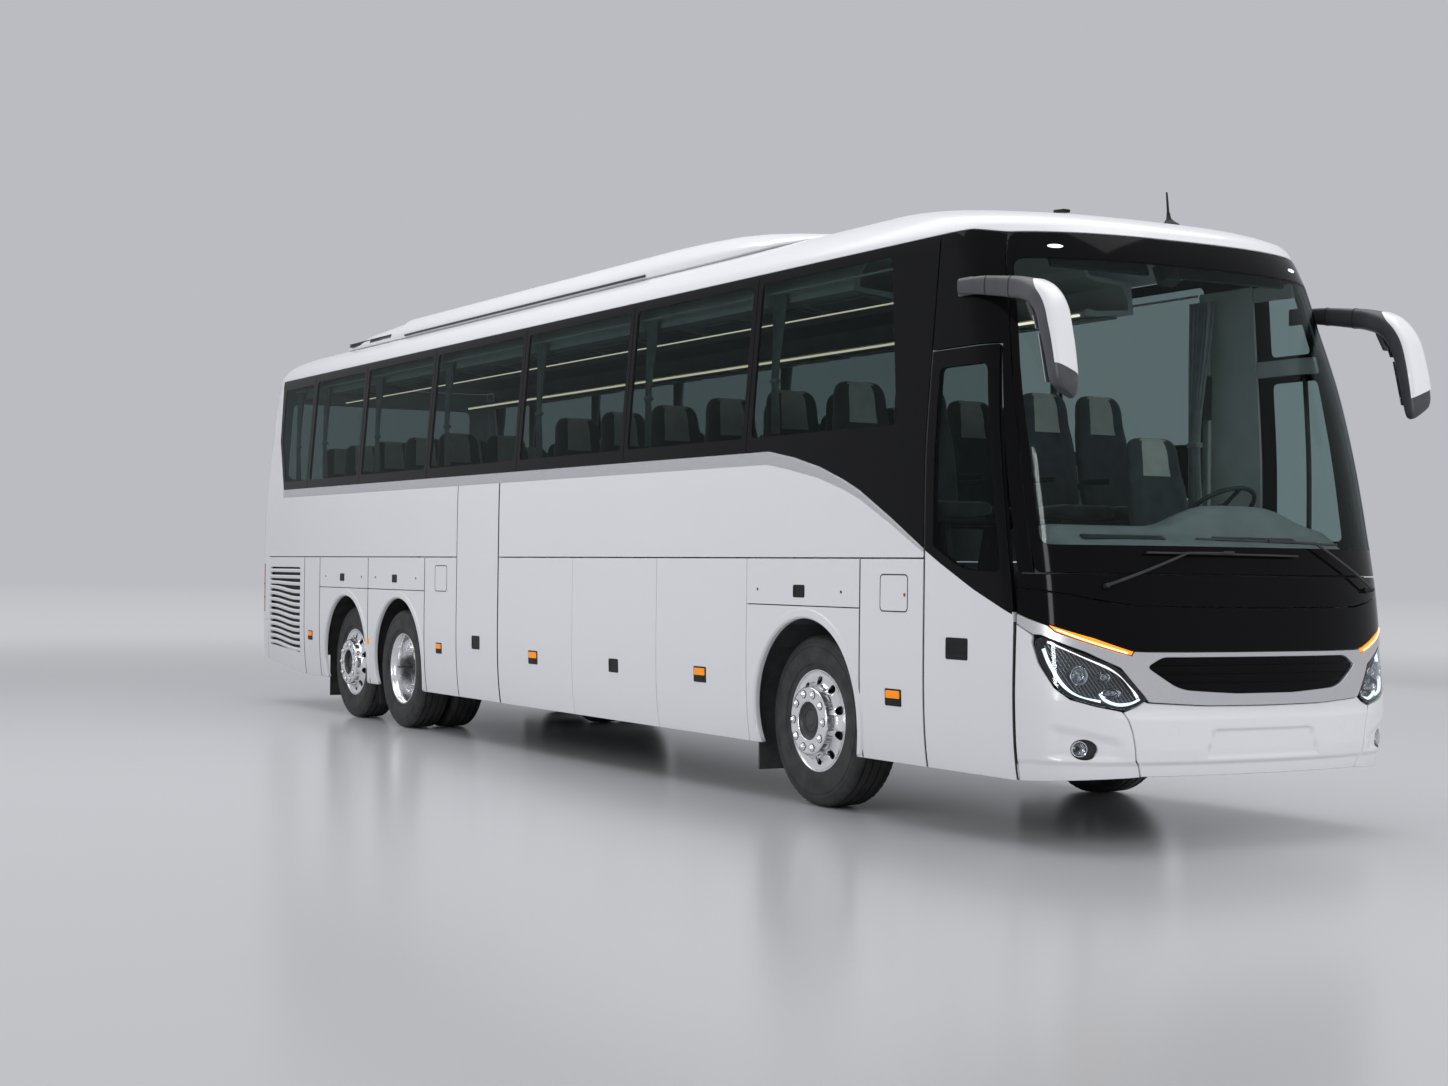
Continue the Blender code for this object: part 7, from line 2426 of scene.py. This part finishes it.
def world():
    """Soft even light from all sides, and a plain backdrop for the rays that look at it."""
    scene = bpy.context.scene
    scene.world = bpy.data.worlds.new("studio")
    scene.world.use_nodes = True
    nodes, links = scene.world.node_tree.nodes, scene.world.node_tree.links
    base = nodes["Background"]
    base.inputs["Color"].default_value = (0.95, 0.97, 1.0, 1.0)
    base.inputs["Strength"].default_value = 0.52
    seen = nodes.new("ShaderNodeBackground")
    seen.inputs["Color"].default_value = (*BACKDROP, 1.0)
    mix = joined(nodes, links, "ShaderNodeMixShader", seen_rays(nodes, links), base.outputs["Background"],
                 seen.outputs["Background"])
    links.new(mix.outputs["Shader"], nodes["World Output"].inputs["Surface"])


def share_of(nodes, links, size, near, far):
    """0 up to a near distance, 1 from a far one."""
    node = joined(nodes, links, "ShaderNodeMapRange", size)
    node.inputs["From Min"].default_value = near
    node.inputs["From Max"].default_value = far
    return node


def floor_finish():
    """Polished pale concrete that melts into the backdrop's colour far away."""
    mat = new_material("studio_floor", (0.56, 0.565, 0.58), 0.22, Specular_IOR_Level=0.45)
    vary_colour(mat, (0.545, 0.550, 0.568), (0.565, 0.570, 0.588), 0.30, span=(0.2, 0.8), detail=2.0)
    nodes, links = mat.node_tree.nodes, mat.node_tree.links
    where = nodes.new("ShaderNodeTexCoord")
    size = joined(nodes, links, "ShaderNodeVectorMath", where.outputs["Object"])
    size.operation = "LENGTH"
    fade = share_of(nodes, links, size.outputs["Value"], 8.5, 30.0)
    fade.interpolation_type = "SMOOTHSTEP"
    horizon = share_of(nodes, links, size.outputs["Value"], 20.0, 120.0)
    glow_colour = ramp(mat, horizon, "Result", FLOOR_GLOW, BACKDROP, (0.0, 1.0))
    far = joined(nodes, links, "ShaderNodeEmission", glow_colour.outputs["Color"])
    mix = joined(nodes, links, "ShaderNodeMixShader", fade.outputs["Result"], shader_of(mat).outputs["BSDF"],
                 far.outputs["Emission"])
    links.new(mix.outputs["Shader"], nodes["Material Output"].inputs["Surface"])
    return mat


def floor():
    """Round floor, finer near the coach."""
    bm = bmesh.new()
    middle = bm.verts.new((0, 0, 0))
    rows = [[bm.verts.new((r * math.cos(a), r * math.sin(a), 0)) for a in angles(48)] for r in FLOOR_RINGS]
    for k in range(48):
        m = (k + 1) % 48
        bm.faces.new((middle, rows[0][k], rows[0][m]))
        for a, b in zip(rows, rows[1:]):
            bm.faces.new((a[k], b[k], b[m], a[m]))
    from_bmesh(bm, "studio_floor", [floor_finish()])


def area_light(name, where, target, size, power, mirrored=False):
    data = bpy.data.lights.new(name, "AREA")
    data.shape = "RECTANGLE"
    data.size, data.size_y = size
    data.energy = power
    ob = bpy.data.objects.new(name, data)
    ob.location = where
    ob.visible_glossy = mirrored
    ob.rotation_euler = (Vector(target) - Vector(where)).to_track_quat("-Z", "Y").to_euler()
    bpy.context.scene.collection.objects.link(ob)
    return ob


def strip_light():
    """Tall narrow lamp that only gloss shows, for a clean line down the coach's front corner."""
    lamp = area_light("strip_right", (13.4, -12.0, 4.2), (6.2, -1.0, 2.0), (1.3, 7.0), 420.0, True)
    lamp.visible_diffuse = False
    lamp.visible_camera = False
    spared = bpy.data.collections.new("spared_by_strip")
    spared.objects.link(bpy.data.objects["studio_floor"])
    lamp.light_linking.receiver_collection = spared
    spared.collection_objects[0].light_linking.link_state = "EXCLUDE"


# place, turns in radians and focal length in mm
CAMERA = dict(at=(15.2188, -8.0684, 1.4408), yaw=2.62772, pitch=0.0119, roll=0.01132, lens=53.144006)
SENSOR_MM = 36.0


def camera():
    """Camera in front of the coach's right corner, at a standing person's chest height."""
    yaw, pitch, roll = CAMERA["yaw"], CAMERA["pitch"], CAMERA["roll"]
    level = math.cos(pitch)
    look = Vector((level * math.cos(yaw), level * math.sin(yaw), math.sin(pitch)))
    right = look.cross(Vector((0, 0, 1))).normalized()
    up = right.cross(look)
    across = math.cos(roll) * right + math.sin(roll) * up
    upright = math.cos(roll) * up - math.sin(roll) * right
    data = bpy.data.cameras.new("photo_camera")
    data.sensor_width = SENSOR_MM
    data.lens = CAMERA["lens"]
    data.clip_end = 1000.0
    ob = bpy.data.objects.new("photo_camera", data)
    turn = Matrix((across, upright, -look)).transposed().to_4x4()
    ob.matrix_world = Matrix.Translation(CAMERA["at"]) @ turn
    bpy.context.scene.collection.objects.link(ob)
    bpy.context.scene.camera = ob


def stage():
    world()
    floor()
    area_light("softbox_over", (1.0, -1.0, 9.5), (0, 0, 0), (17.0, 8.0), 780.0, True)
    area_light("softbox_right", (5.0, -13.0, 6.0), (1.0, 0, 1.6), (14.0, 6.0), 400.0)
    area_light("softbox_front", (16.0, 2.0, 5.5), (4.0, 0, 1.4), (8.0, 6.0), 430.0)
    area_light("softbox_left", (-4.0, 13.0, 6.0), (-1.0, 0, 1.6), (14.0, 6.0), 300.0)
    strip_light()
    camera()
    bpy.context.scene.view_settings.view_transform = "Standard"


stage()
